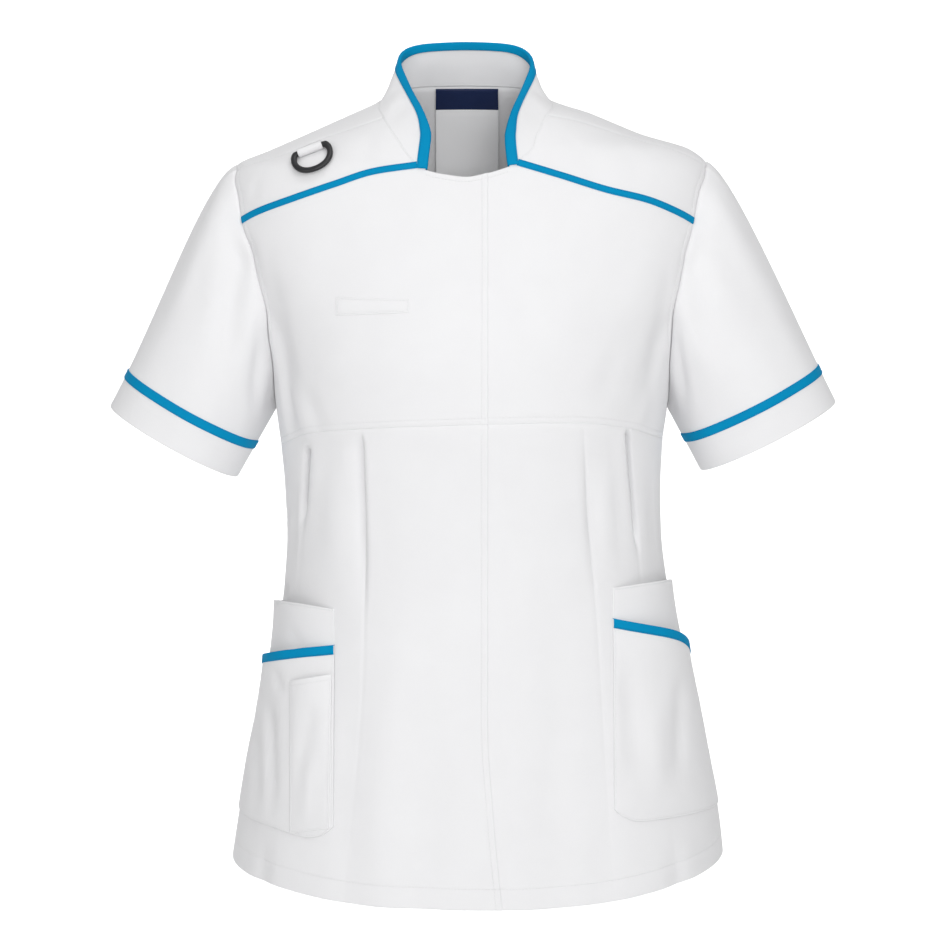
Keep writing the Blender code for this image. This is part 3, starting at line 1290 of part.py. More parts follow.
def ring_tab(frame):
    """Strip that runs from the shoulder seam round the bar and back."""
    foot, bar, down, out, lift, centre = frame
    c = TAB_CLOTH
    mean = BAR / 2 + TAB_PLAY + c / 2
    low = lift - mean
    end = -TAB_REACH
    path = [(end, low + drop(foot, out, 0.0, end, bar, down)), (end * 0.5, low + drop(foot, out, 0.0, end * 0.5, bar, down))]
    for k in range(9):
        t = math.radians(-90 + 232 * k / 8)
        path.append((mean * math.cos(t), lift + mean * math.sin(t)))
    rise = c + GAP
    path.append((end * 0.62, low + rise + 0.6 * MM + drop(foot, out, 0.0, end * 0.62, bar, down)))
    path.append((end, low + rise + drop(foot, out, 0.0, end, bar, down)))
    path = np.array(path)
    sections = []
    for k, (r, h) in enumerate(path):
        before = path[max(0, k - 1)]
        after = path[min(len(path) - 1, k + 1)]
        d1 = unit(path[k] - before) if k else unit(after - path[k])
        d2 = unit(after - path[k]) if k < len(path) - 1 else d1
        d = unit(d1 + d2)
        side = np.array([-d[1], d[0]]) * (c / 2) / max(0.7, float(np.dot(d, d1)))
        section = []
        for s, q in ((-1, 1), (1, 1), (1, -1), (-1, -1)):
            rr, hh = r + side[0] * q, h + side[1] * q
            section.append(foot + bar * (s * TAB_WIDTH / 2) + down * rr + out * hh)
        sections.append(section)
    swept("ring_tab", sections, WHITE)


def main():
    for obj in list(bpy.data.objects):
        bpy.data.objects.remove(obj, do_unlink=True)
    panels = {}
    for side in SIDES:
        sleeve(side)
        upper = front_upper(side)
        panels[side] = upper
        front_skirt(side, upper)
        yoke_tape(side, upper, yoke(side))
        pocket = pockets(side)
        if side == "right":
            pen_pocket(pocket)
    back = back_piece()
    collar()
    chest_strip(panels["right"][:2])
    neck_label(back)
    ring_tab(d_ring())


main()
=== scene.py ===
"""Short-sleeved maternity tunic, filled out with no wearer: the looks.

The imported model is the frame. Each cloth node is replaced by a thin shell on
the same form, from the same seam lines, with finer lines near its seams, hems
and stitching, and with the creases of the worn cloth. Metres, +Z up, the
front faces -Y and the wearer's right is -X.
"""
import json
import math
from collections import namedtuple

import bpy
import numpy as np
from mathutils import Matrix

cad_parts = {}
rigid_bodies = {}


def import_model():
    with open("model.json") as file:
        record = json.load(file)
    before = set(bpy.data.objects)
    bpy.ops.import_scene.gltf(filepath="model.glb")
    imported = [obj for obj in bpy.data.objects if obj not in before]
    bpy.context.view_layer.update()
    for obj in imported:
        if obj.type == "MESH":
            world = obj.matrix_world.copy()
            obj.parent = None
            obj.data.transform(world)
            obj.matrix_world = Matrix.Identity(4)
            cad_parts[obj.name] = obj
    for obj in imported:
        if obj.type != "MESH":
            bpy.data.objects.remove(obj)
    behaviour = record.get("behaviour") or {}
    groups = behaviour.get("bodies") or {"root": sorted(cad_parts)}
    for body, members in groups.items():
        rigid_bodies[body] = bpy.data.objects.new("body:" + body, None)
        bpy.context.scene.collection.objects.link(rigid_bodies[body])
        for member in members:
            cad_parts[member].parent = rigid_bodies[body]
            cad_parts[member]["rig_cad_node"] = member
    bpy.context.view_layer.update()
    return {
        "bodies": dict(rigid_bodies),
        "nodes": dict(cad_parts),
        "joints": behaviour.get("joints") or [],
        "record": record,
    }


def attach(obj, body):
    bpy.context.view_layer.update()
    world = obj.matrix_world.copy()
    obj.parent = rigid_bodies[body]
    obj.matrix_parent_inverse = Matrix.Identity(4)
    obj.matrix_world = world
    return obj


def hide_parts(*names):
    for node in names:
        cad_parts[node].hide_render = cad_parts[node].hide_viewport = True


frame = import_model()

for thing in [o for o in bpy.data.objects if o.name in ("Cube", "Camera", "Light") and "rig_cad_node" not in o]:
    bpy.data.objects.remove(thing, do_unlink=True)

MM = 0.001

# ---------------------------------------------------------------- cloth sizes
CHEST_LEVEL = -0.272        # height of the fronts' middle row at the lap
CLOTH = 1.5 * MM            # body and sleeve cloth
COLLAR_CLOTH = 2.0 * MM     # collar, two layers
PATCH = 1.2 * MM            # pockets and strip
LABEL_CLOTH = 1.0 * MM
TAPE = 1.0 * MM             # blue tape
GAP = 0.3 * MM              # air between two pieces that touch
SEAM = 0.18 * MM            # each piece stops this far short of its seam line

YOKE_TAPE_WIDTH = 6.6 * MM
SLEEVE_TAPE_WIDTH = 9.0 * MM
BINDING_WIDTH = 8.5 * MM
BINDING_AIR = 0.5 * MM      # air inside the binding
COLLAR_LIFT = 0.5 * MM      # air below the collar at the neck seam
POCKET_TAPE_WIDTH = 8.5 * MM
CUFF_BAND = 31.0 * MM       # band of the sleeve below its tape
UNDERLAP = 34.0 * MM        # how far the left front runs under the right one
LAP_STEP = 14.0 * MM        # width over which the left front sinks to pass under
LAP_EASE = 1.5 * MM         # it is fully sunk this far outside the right one's edge
LAP_AIR = 0.3 * MM          # more air between the laps

# ------------------------------------------------------------- body sections
# Level sections of the outer face. left and right are the half widths' x,
# front and back the depths at the middle, square the superellipse exponent.
Ring = namedtuple("Ring", "z left right front back square")
BODY_RINGS = (
    Ring(-0.765, -0.2335, 0.2555, 0.1705, 0.154, 2.20),
    Ring(-0.700, -0.2235, 0.2485, 0.164, 0.147, 2.20),
    Ring(-0.637, -0.2125, 0.2365, 0.158, 0.140, 2.20),
    Ring(-0.586, -0.2000, 0.2250, 0.153, 0.133, 2.20),
    Ring(-0.530, -0.1865, 0.2095, 0.148, 0.125, 2.20),
    Ring(-0.468, -0.1764, 0.1955, 0.142, 0.117, 2.20),
    Ring(-0.420, -0.1738, 0.1895, 0.140, 0.114, 2.20),
    Ring(-0.380, -0.1748, 0.1882, 0.141, 0.116, 2.20),
    Ring(-0.337, -0.1783, 0.1895, 0.144, 0.122, 2.20),
    Ring(-0.298, -0.1830, 0.1940, 0.147, 0.127, 2.20),
    Ring(-0.262, -0.1873, 0.1985, 0.147, 0.130, 2.20),
    Ring(-0.225, -0.1965, 0.2080, 0.143, 0.132, 2.20),
    Ring(-0.190, -0.2120, 0.2240, 0.136, 0.132, 2.20),
    Ring(-0.150, -0.2235, 0.2320, 0.126, 0.129, 2.20),
    Ring(-0.110, -0.2275, 0.2345, 0.113, 0.121, 2.15),
    Ring(-0.085, -0.2285, 0.2365, 0.103, 0.114, 2.10),
    Ring(-0.065, -0.2195, 0.2320, 0.0945, 0.106, 2.05),
    Ring(-0.050, -0.1860, 0.2150, 0.0885, 0.099, 2.00),
    Ring(-0.035, -0.1515, 0.1670, 0.0820, 0.091, 2.00),
    Ring(-0.023, -0.1243, 0.1375, 0.0755, 0.084, 2.00),
    Ring(-0.014, -0.1040, 0.1150, 0.0705, 0.079, 2.00),
    Ring(-0.006, -0.0865, 0.0890, 0.0665, 0.075, 2.00),
    Ring(0.000, -0.0775, 0.0755, 0.0635, 0.0715, 2.05),
    Ring(0.012, -0.0690, 0.0680, 0.0575, 0.0660, 2.20),
    Ring(0.030, -0.0620, 0.0610, 0.0500, 0.0580, 2.30),
)

# ------------------------------------------------------- seams on the body
# x and z of points on the front face, for the wearer's right and left sides.
Edge = namedtuple("Edge", "where right_x right_z left_x left_z")
YOKE_SEAM = (
    Edge("armhole", -0.2122, -0.1160, 0.2155, -0.1165),
    Edge("outer", -0.1990, -0.1085, 0.1965, -0.1060),
    Edge("outer third", -0.1642, -0.0950, 0.1700, -0.0952),
    Edge("middle", -0.1245, -0.0812, 0.1316, -0.0856),
    Edge("inner third", -0.0850, -0.0685, 0.0887, -0.0722),
    Edge("collar end", -0.0450, -0.0625, 0.0480, -0.0600),
)
SHOULDER_SEAM = (
    Edge("armhole", -0.2183, -0.0690, 0.2288, -0.0664),
    Edge("outer third", -0.1800, -0.0560, 0.1880, -0.0462),
    Edge("middle", -0.1350, -0.0385, 0.1430, -0.0340),
    Edge("inner third", -0.1000, -0.0270, 0.1060, -0.0222),
    Edge("neck", -0.0775, -0.0190, 0.0770, -0.0165),
)
ARMHOLE_FRONT = (
    Edge("shoulder seam", -0.2183, -0.0690, 0.2288, -0.0664),
    Edge("upper yoke", -0.2163, -0.0910, 0.2213, -0.0890),
    Edge("yoke seam", -0.2122, -0.1160, 0.2155, -0.1165),
    Edge("chest", -0.2018, -0.1512, 0.2068, -0.1523),
    Edge("hollow", -0.1930, -0.1890, 0.2000, -0.1890),
    Edge("low", -0.1868, -0.2250, 0.1958, -0.2250),
    Edge("near underarm", -0.1840, -0.2650, 0.1943, -0.2640),
    Edge("underarm", -0.1830, -0.2980, 0.1940, -0.2970),
)
ARMHOLE_BACK = (
    Edge("below ridge", -0.2175, -0.0870, 0.2268, -0.0850),
    Edge("blade", -0.2110, -0.1250, 0.2190, -0.1250),
    Edge("hollow", -0.2030, -0.1700, 0.2120, -0.1700),
    Edge("low", -0.1930, -0.2200, 0.2030, -0.2200),
    Edge("near underarm", -0.1852, -0.2620, 0.1958, -0.2620),
)
EMPIRE_SEAM = (
    Edge("side", -0.1785, -0.3310, 0.1900, -0.3250),
    Edge("outer pleat", -0.1511, -0.3144, 0.1540, -0.3084),
    Edge("inner pleat", -0.0980, -0.3055, 0.1040, -0.3000),
    Edge("middle", -0.0450, -0.3015, 0.0550, -0.2988),
)
HEM = (
    Edge("side", -0.2310, -0.7380, 0.2535, -0.7330),
    Edge("outer", -0.1985, -0.7412, 0.2180, -0.7395),
    Edge("inner", -0.1083, -0.7493, 0.1200, -0.7505),
    Edge("middle", -0.0500, -0.7510, 0.0600, -0.7524),
)
HEM_BACK_CENTRE = -0.7450

# Neck seam, from the yoke seam round to the back.
Neck = namedtuple("Neck", "where face right_x right_z left_x left_z")
NECK_SEAM = (
    Neck("yoke seam", "front", -0.0450, -0.0625, 0.0480, -0.0600),
    Neck("front side", "front", -0.0655, -0.0375, 0.0665, -0.0360),
    Neck("shoulder seam", "front", -0.0775, -0.0190, 0.0770, -0.0165),
    Neck("ridge", "ridge", -0.0775, 0.0000, 0.0755, 0.0000),
    Neck("back side", "back", -0.0700, 0.0052, 0.0685, 0.0052),
    Neck("back", "back", -0.0380, 0.0105, 0.0380, 0.0105),
)
NECK_BACK_CENTRE = 0.0115

# Neckline of the fronts below the collar's ends.
Dip = namedtuple("Dip", "x z")
NECKLINE = (
    Dip(-0.0450, -0.0625),
    Dip(-0.0374, -0.0668),
    Dip(-0.0210, -0.0706),
    Dip(0.0010, -0.0731),
    Dip(0.0200, -0.0695),
    Dip(0.0409, -0.0636),
    Dip(0.0480, -0.0600),
)
COLLAR_END = dict(right=-0.0374, left=0.0409)

# Edge of the right front, which laps over the left one.
LAP_EDGE = (
    Dip(0.0207, 0.0000),
    Dip(0.0207, -0.5800),
    Dip(0.0255, -0.6600),
    Dip(0.0350, -0.7600),
)

# ------------------------------------------------------------ pleats and folds
# Pleat lines on the skirt fronts, from the empire seam to their ends and on to
# the hem. depth is the trough's, grow and fade the parts of its length over
# which it opens and closes.
Pleat = namedtuple("Pleat", "side name x_top x_end x_hem z_top z_end depth grow fade")
PLEATS = (
    Pleat("right", "outer", -0.1484, -0.1556, -0.1900, -0.325, -0.412, 7.5 * MM, 0.30, 0.60),
    Pleat("right", "inner", -0.0971, -0.0950, -0.1150, -0.306, -0.500, 5.0 * MM, 0.10, 0.85),
    Pleat("left", "outer", 0.1512, 0.1640, 0.2050, -0.308, -0.435, 7.5 * MM, 0.30, 0.60),
    Pleat("left", "inner", 0.1090, 0.1225, 0.1400, -0.300, -0.480, 5.0 * MM, 0.10, 0.85),
)
# Cross-section of a pleat: distance towards the side seam and part of depth.
PleatStep = namedtuple("PleatStep", "off part")
PLEAT_SECTION = (
    PleatStep(15.0 * MM, 0.0),
    PleatStep(6.0 * MM, 0.35),
    PleatStep(0.0, 1.0),
    PleatStep(-4.5 * MM, 0.10),
    PleatStep(-13.0 * MM, 0.0),
)

# Soft folds, from (x1, z1) to (x2, z2). Height is out of the cloth.
Fold = namedtuple("Fold", "face x1 z1 x2 z2 height width start end")
FOLDS = (
    Fold("front", -0.0720, -0.420, -0.0800, -0.800, 3.0 * MM, 24 * MM, 0.5, 0.0),
    Fold("front", -0.0350, -0.480, -0.0380, -0.800, -3.0 * MM, 22 * MM, 0.6, 0.0),
    Fold("front", 0.0850, -0.430, 0.0900, -0.800, -3.0 * MM, 22 * MM, 0.6, 0.0),
    Fold("front", -0.1960, -0.135, -0.1500, -0.300, -3.5 * MM, 11 * MM, 0.3, 0.5),
    Fold("front", 0.2000, -0.140, 0.1700, -0.300, -3.0 * MM, 11 * MM, 0.3, 0.5),
    Fold("back", -0.1200, -0.400, -0.1400, -0.800, -5.0 * MM, 26 * MM, 0.5, 0.0),
    Fold("back", -0.0450, -0.380, -0.0500, -0.800, 4.5 * MM, 26 * MM, 0.5, 0.0),
    Fold("back", 0.0350, -0.420, 0.0400, -0.800, -5.0 * MM, 26 * MM, 0.5, 0.0),
    Fold("back", 0.1200, -0.400, 0.1400, -0.800, 4.5 * MM, 26 * MM, 0.5, 0.0),
)

# -------------------------------------------------------------------- sleeves
# Cuff edge in the front view (outer and inner ends) and its reach in y.
# top_out is how far the cap runs on outwards before it turns down.
Cuff = namedtuple("Cuff", "side outer_x outer_z inner_x inner_z front back top_out")
CUFFS = (
    Cuff("right", -0.3434, -0.2955, -0.2208, -0.3645, -0.0660, 0.0560, 0.030),
    Cuff("left", 0.3569, -0.2914, 0.2269, -0.3582, -0.0660, 0.0560, 0.026),
)

# --------------------------------------------------------------------- collar
# Top edge of the stand from the front corner round to the back, and the middle
# of its front end, for each side.
Stand = namedtuple("Stand", "where right_x right_y right_z left_x left_y left_z")
COLLAR_HEART = np.array([0.0, -0.02, 0.0])  # inside of the neck
COLLAR_FRONT = Stand("front end", -0.0357, -0.0850, -0.0505, 0.0393, -0.0860, -0.0527)
COLLAR_TOP = (
    Stand("front corner", -0.0332, -0.0710, -0.0335, 0.0380, -0.0715, -0.0345),
    Stand("front", -0.0405, -0.0520, -0.0145, 0.0433, -0.0520, -0.0157),
    Stand("side front", -0.0520, -0.0250, 0.0055, 0.0530, -0.0250, 0.0045),
    Stand("side", -0.0607, 0.0000, 0.0231, 0.0605, 0.0000, 0.0210),
    Stand("back side", -0.0655, 0.0160, 0.0335, 0.0650, 0.0160, 0.0320),
    Stand("back corner", -0.0600, 0.0375, 0.0440, 0.0590, 0.0360, 0.0430),
    Stand("back", -0.0400, 0.0505, 0.0495, 0.0410, 0.0490, 0.0495),
    Stand("back middle", 0.0010, 0.0565, 0.0514, 0.0010, 0.0565, 0.0514),
)

# -------------------------------------------------------------------- pockets
# Top and bottom edges on the skirt, from the inner end to the side seam.
Rim = namedtuple("Rim", "in_x in_z mid_x mid_z out_x out_z side_z")
POCKET_BACK_TOP = dict(
    right=Rim(-0.1238, -0.4775, -0.1480, -0.4765, -0.1690, -0.4795, -0.4870),
    left=Rim(0.1380, -0.4578, 0.1600, -0.4572, 0.1801, -0.4585, -0.4670))
POCKET_FRONT_TOP = dict(
    right=Rim(-0.1230, -0.5112, -0.1451, -0.5172, -0.1740, -0.5300, -0.5430),
    left=Rim(0.1380, -0.4867, 0.1604, -0.4952, 0.1861, -0.5080, -0.5390))
POCKET_FOOT = dict(
    right=Rim(-0.1238, -0.6920, -0.1467, -0.6925, -0.1900, -0.6885, -0.6885),
    left=Rim(0.1395, -0.6765, 0.1646, -0.6775, 0.2089, -0.6790, -0.6850))
POCKET_LIE = 0.7 * MM       # air below a pocket layer's sewn edges
POCKET_CORNER = 13 * MM     # rounding of the inner lower corner
BACK_MOUTH = 9.5 * MM       # how far the upper layer's top stands off the skirt
FRONT_MOUTH = 9.5 * MM      # how far the lower layer's top stands off the upper
PEN_MOUTH = 8.5 * MM
# Pen pocket on the right pocket: x of its sides, z of its mouth's two ends.
PEN = dict(in_x=-0.1300, out_x=-0.1665, in_z=-0.5377, out_z=-0.5480, in_low=-0.6780, out_low=-0.6900)

# ---------------------------------------------------------------- small pieces
STRIP = dict(out_x=-0.1200, in_x=-0.0520, out_top=-0.1838, in_top=-0.1846,
             out_low=-0.2010, in_low=-0.1970)
LABEL = dict(right_x=-0.0303, left_x=0.0321, top=0.0090, bottom=-0.0800)

# Ring on the right yoke. The bar's middle is above RING_AT (x and z on the
# yoke); RING_RISE is the bar's slope up towards the collar.
RING_AT = (-0.1447, -0.0520)
RING_RISE = 18.5                    # degrees
BAR = 5.0 * MM                      # diameter of the straight bar
RING_CLEAR = 13.2 * MM              # half the clear length of the bar
BOW_INNER = 15.0 * MM               # half the clear width of the bow
BOW_OUTER = 20.6 * MM               # half the outer width
BOW_START = 8.5 * MM                # bar to the bow's centre
BOW_THICK = 4.2 * MM
TAB_WIDTH = 24.0 * MM
TAB_REACH = 10.5 * MM               # bar to the shoulder seam
TAB_CLOTH = 1.1 * MM
TAB_PLAY = 0.45 * MM                # air round the bar in the tab's fold

# ------------------------------------------------------------------- creases
# The worn cloth's creases, finer than the solids' folds. Each runs from
# (x1, z1) to (x2, z2) on a face; bow is how far its middle bends sideways,
# height is out of the cloth, left and right are its two flanks' widths, and
# start and end are the parts of its length over which it comes and goes.
Crease = namedtuple("Crease", "face x1 z1 x2 z2 bow height left right start end")
CREASES = (
    # right chest, from the armhole
    Crease("front", -0.2070, -0.120, -0.1820, -0.215, -3 * MM, -2.2 * MM, 7 * MM, 10 * MM, 0.3, 0.7),
    Crease("front", -0.1960, -0.170, -0.1600, -0.345, 6 * MM, -4.4 * MM, 9 * MM, 15 * MM, 0.4, 0.4),
    Crease("front", -0.1780, -0.240, -0.1450, -0.320, 4 * MM, 1.6 * MM, 9 * MM, 11 * MM, 0.5, 0.5),
    Crease("front", -0.1550, -0.255, -0.1250, -0.330, 3 * MM, -1.0 * MM, 8 * MM, 10 * MM, 0.5, 0.5),
    # left chest, from the armhole
    Crease("front", 0.2090, -0.130, 0.1900, -0.250, 3 * MM, -1.9 * MM, 10 * MM, 7 * MM, 0.3, 0.7),
    Crease("front", 0.2000, -0.180, 0.1620, -0.330, -6 * MM, -2.2 * MM, 15 * MM, 10 * MM, 0.4, 0.6),
    Crease("front", 0.1830, -0.250, 0.1500, -0.330, -4 * MM, 1.4 * MM, 11 * MM, 9 * MM, 0.5, 0.5),
    Crease("front", 0.1500, -0.215, 0.1150, -0.300, -3 * MM, -0.9 * MM, 10 * MM, 9 * MM, 0.5, 0.5),
    # chest middle, soft
    Crease("front", -0.0400, -0.100, -0.0600, -0.290, 4 * MM, 0.9 * MM, 20 * MM, 22 * MM, 0.5, 0.5),
    Crease("front", 0.0620, -0.110, 0.0760, -0.290, -4 * MM, 0.9 * MM, 22 * MM, 20 * MM, 0.5, 0.5),
    Crease("front", -0.1150, -0.110, -0.1250, -0.210, 3 * MM, -0.7 * MM, 14 * MM, 15 * MM, 0.5, 0.5),
    Crease("front", 0.1250, -0.115, 0.1320, -0.220, -3 * MM, -0.7 * MM, 14 * MM, 15 * MM, 0.5, 0.5),
    # yokes and collar ends
    Crease("front", -0.1910, -0.073, -0.2030, -0.100, 1 * MM, -0.9 * MM, 5 * MM, 7 * MM, 0.4, 0.5),
    Crease("front", -0.0880, -0.030, -0.0800, -0.066, 2 * MM, -0.9 * MM, 5 * MM, 6 * MM, 0.4, 0.5),
    Crease("front", 0.0900, -0.028, 0.0830, -0.062, -2 * MM, -0.8 * MM, 6 * MM, 5 * MM, 0.4, 0.5),
    Crease("front", 0.1500, -0.046, 0.1560, -0.085, 2 * MM, -0.6 * MM, 8 * MM, 8 * MM, 0.4, 0.5),
    # skirt front, between the pleats and below
    Crease("front", -0.1250, -0.330, -0.1280, -0.470, 2 * MM, 1.6 * MM, 9 * MM, 10 * MM, 0.4, 0.6),
    Crease("front", 0.1300, -0.325, 0.1380, -0.470, -2 * MM, 1.6 * MM, 10 * MM, 9 * MM, 0.4, 0.6),
    Crease("front", -0.0550, -0.340, -0.0600, -0.700, 5 * MM, 1.2 * MM, 16 * MM, 18 * MM, 0.5, 0.4),
    Crease("front", 0.0500, -0.350, 0.0560, -0.690, -5 * MM, 1.2 * MM, 18 * MM, 16 * MM, 0.5, 0.4),
    Crease("front", -0.0980, -0.520, -0.1080, -0.800, 3 * MM, -1.3 * MM, 11 * MM, 13 * MM, 0.4, 0.0),
    Crease("front", 0.1150, -0.500, 0.1270, -0.800, -3 * MM, -1.3 * MM, 13 * MM, 11 * MM, 0.4, 0.0),
    Crease("front", -0.0150, -0.600, -0.0120, -0.800, 2 * MM, 1.2 * MM, 12 * MM, 13 * MM, 0.6, 0.0),
    Crease("front", -0.1650, -0.345, -0.1690, -0.470, 2 * MM, -1.6 * MM, 7 * MM, 9 * MM, 0.5, 0.5),
    Crease("front", 0.1760, -0.340, 0.1810, -0.450, -2 * MM, -1.6 * MM, 9 * MM, 7 * MM, 0.5, 0.5),
    Crease("front", -0.1900, -0.690, -0.2000, -0.800, 1 * MM, -2.0 * MM, 9 * MM, 11 * MM, 0.4, 0.0),
    # small hollow over the right pocket's outer end
    Crease("front", -0.1735, -0.462, -0.1730, -0.489, 0 * MM, -4.0 * MM, 3.2 * MM, 4.5 * MM, 0.4, 0.3),
    Crease("front", 0.1950, -0.690, 0.2120, -0.800, 1 * MM, -2.0 * MM, 11 * MM, 9 * MM, 0.4, 0.0),
    # back, shoulder blades to waist
    Crease("back", -0.2000, -0.150, -0.1550, -0.300, 6 * MM, -3.8 * MM, 10 * MM, 14 * MM, 0.4, 0.6),
    Crease("back", 0.2080, -0.150, 0.1650, -0.310, -6 * MM, -3.5 * MM, 14 * MM, 10 * MM, 0.4, 0.6),
    Crease("back", -0.1800, -0.230, -0.1400, -0.340, 4 * MM, 2.7 * MM, 9 * MM, 12 * MM, 0.5, 0.5),
    Crease("back", 0.1870, -0.240, 0.1500, -0.330, -4 * MM, 2.4 * MM, 12 * MM, 9 * MM, 0.5, 0.5),
    Crease("back", -0.1100, -0.120, -0.1250, -0.300, 5 * MM, 1.6 * MM, 18 * MM, 20 * MM, 0.5, 0.5),
    Crease("back", 0.1080, -0.125, 0.1220, -0.310, -5 * MM, 1.6 * MM, 20 * MM, 18 * MM, 0.5, 0.5),
    Crease("back", -0.0300, -0.060, -0.0420, -0.240, 3 * MM, -1.3 * MM, 16 * MM, 18 * MM, 0.5, 0.5),
    Crease("back", 0.0350, -0.070, 0.0250, -0.250, 3 * MM, -1.3 * MM, 16 * MM, 18 * MM, 0.5, 0.5),
    Crease("back", -0.0900, -0.330, -0.0960, -0.560, 4 * MM, -2.9 * MM, 12 * MM, 14 * MM, 0.5, 0.5),
    Crease("back", 0.0820, -0.350, 0.0900, -0.580, -4 * MM, -2.6 * MM, 14 * MM, 12 * MM, 0.5, 0.5),
    Crease("back", -0.0120, -0.330, -0.0060, -0.600, 4 * MM, 2.1 * MM, 15 * MM, 14 * MM, 0.5, 0.5),
    Crease("back", -0.1450, -0.420, -0.1620, -0.800, 5 * MM, 2.9 * MM, 12 * MM, 14 * MM, 0.5, 0.0),
    Crease("back", 0.1500, -0.430, 0.1720, -0.800, -5 * MM, 2.9 * MM, 14 * MM, 12 * MM, 0.5, 0.0),
    Crease("back", -0.0700, -0.560, -0.0760, -0.800, 3 * MM, -2.4 * MM, 12 * MM, 13 * MM, 0.5, 0.0),
    Crease("back", 0.0730, -0.570, 0.0800, -0.800, -3 * MM, -2.4 * MM, 13 * MM, 12 * MM, 0.5, 0.0),
    Crease("back", 0.0030, -0.620, 0.0060, -0.800, 2 * MM, 1.9 * MM, 13 * MM, 13 * MM, 0.5, 0.0),
)

# Creases of a sleeve, from (turn1, t1) to (turn2, t2): turn in degrees, 0 at
# the underarm, 90 front, 180 crown and 270 back; t runs from armhole to cuff.
Bend = namedtuple("Bend", "side turn1 t1 turn2 t2 height left right start end")
BENDS = (
    Bend("right", 118, 0.02, 70, 0.62, -5.4 * MM, 15 * MM, 13 * MM, 0.15, 0.65),
    Bend("right", 150, 0.05, 128, 0.75, 1.8 * MM, 14 * MM, 14 * MM, 0.3, 0.5),
    Bend("right", 165, 0.10, 160, 0.90, -2.0 * MM, 12 * MM, 14 * MM, 0.3, 0.5),
    Bend("right", 62, 0.06, 30, 0.55, -2.6 * MM, 9 * MM, 12 * MM, 0.3, 0.6),
    Bend("right", 95, 0.45, 88, 1.00, 1.4 * MM, 18 * MM, 18 * MM, 0.5, 0.2),
    Bend("right", 250, 0.05, 290, 0.60, -3.6 * MM, 13 * MM, 15 * MM, 0.2, 0.6),
    Bend("right", 215, 0.10, 225, 0.85, 1.6 * MM, 14 * MM, 14 * MM, 0.4, 0.5),
    Bend("right", 310, 0.05, 330, 0.60, -2.4 * MM, 10 * MM, 10 * MM, 0.3, 0.6),
    Bend("left", 115, 0.02, 78, 0.50, -2.6 * MM, 15 * MM, 13 * MM, 0.15, 0.7),
    Bend("left", 152, 0.04, 135, 0.60, 1.4 * MM, 14 * MM, 14 * MM, 0.3, 0.5),
    Bend("left", 58, 0.05, 30, 0.50, -2.4 * MM, 9 * MM, 12 * MM, 0.3, 0.6),
    Bend("left", 100, 0.40, 96, 1.00, 1.2 * MM, 18 * MM, 18 * MM, 0.5, 0.2),
    Bend("left", 168, 0.20, 164, 0.95, -1.6 * MM, 12 * MM, 14 * MM, 0.4, 0.4),
    Bend("left", 248, 0.05, 285, 0.60, -3.2 * MM, 13 * MM, 15 * MM, 0.2, 0.6),
    Bend("left", 212, 0.10, 222, 0.85, 1.5 * MM, 14 * MM, 14 * MM, 0.4, 0.5),
    Bend("left", 312, 0.05, 332, 0.55, -2.2 * MM, 10 * MM, 10 * MM, 0.3, 0.6),
)


# ---------------------------------------------------------------- fine cloth
SHELL = 0.9 * MM            # one layer of cloth as it shows
STAND_SHELL = 1.7 * MM      # collar, two layers and a stiffener
PATCH_SHELL = 0.6 * MM
TAPE_SHELL = 0.7 * MM
ROLL = 0.55 * MM            # how far an edge sinks into its seam
ROLL_WIDTH = 0.95 * MM
GROOVE = 0.32 * MM          # how far a row of stitches pulls the cloth in
GROOVE_WIDTH = 0.75 * MM

# Lines of a panel near an edge, in mm from it.
SEAM_MARKS = (0.0, 0.5, 1.1, 2.0, 3.4)


def stitched(*at):
    """Marks for a seam with rows of stitches at these distances in mm."""
    out = [0.0, 0.5, 1.1]
    for d in at:
        out += [d - 1.3, d - 0.6, d, d + 0.6, d + 1.3]
    return tuple(sorted(out))


def marks(length, near=SEAM_MARKS, far=SEAM_MARKS, pitch=3.0):
    """Fractions of a line of this length in mm, close near its ends."""
    a, b = list(near), [length - f for f in far[::-1]]
    count = max(1, int(round((b[0] - a[-1]) / pitch)))
    mid = [a[-1] + (b[0] - a[-1]) * k / count for k in range(1, count)]
    return np.array(a + mid + b) / length


# ----------------------------------------------------------------- the charts
def pchip(xs, ys):
    """Smooth curve through a table's rows that doesn't overshoot them."""
    xs = np.asarray(xs, float)
    ys = np.asarray(ys, float)
    if xs[0] > xs[-1]:
        xs, ys = xs[::-1], ys[::-1]
    h = np.diff(xs)
    d = np.diff(ys) / h
    m = np.zeros(len(xs))
    for i in range(1, len(xs) - 1):
        if d[i - 1] * d[i] > 0:
            w1 = 2 * h[i] + h[i - 1]
            w2 = h[i] + 2 * h[i - 1]
            m[i] = (w1 + w2) / (w1 / d[i - 1] + w2 / d[i])
    m[0], m[-1] = d[0], d[-1]

    def value(x):
        x = np.asarray(x, float)
        i = np.clip(np.searchsorted(xs, x) - 1, 0, len(h) - 1)
        t = (x - xs[i]) / h[i]
        t2, t3 = t * t, t * t * t
        inner = ((2 * t3 - 3 * t2 + 1) * ys[i] + (t3 - 2 * t2 + t) * h[i] * m[i]
                 + (3 * t2 - 2 * t3) * ys[i + 1] + (t3 - t2) * h[i] * m[i + 1])
        out = np.where(t < 0, ys[0] + m[0] * (x - xs[0]), np.where(t > 1, ys[-1] + m[-1] * (x - xs[-1]), inner))
        return out if out.ndim else float(out)
    return value


def ring_column(name):
    return pchip([r.z for r in BODY_RINGS], [getattr(r, name) for r in BODY_RINGS])


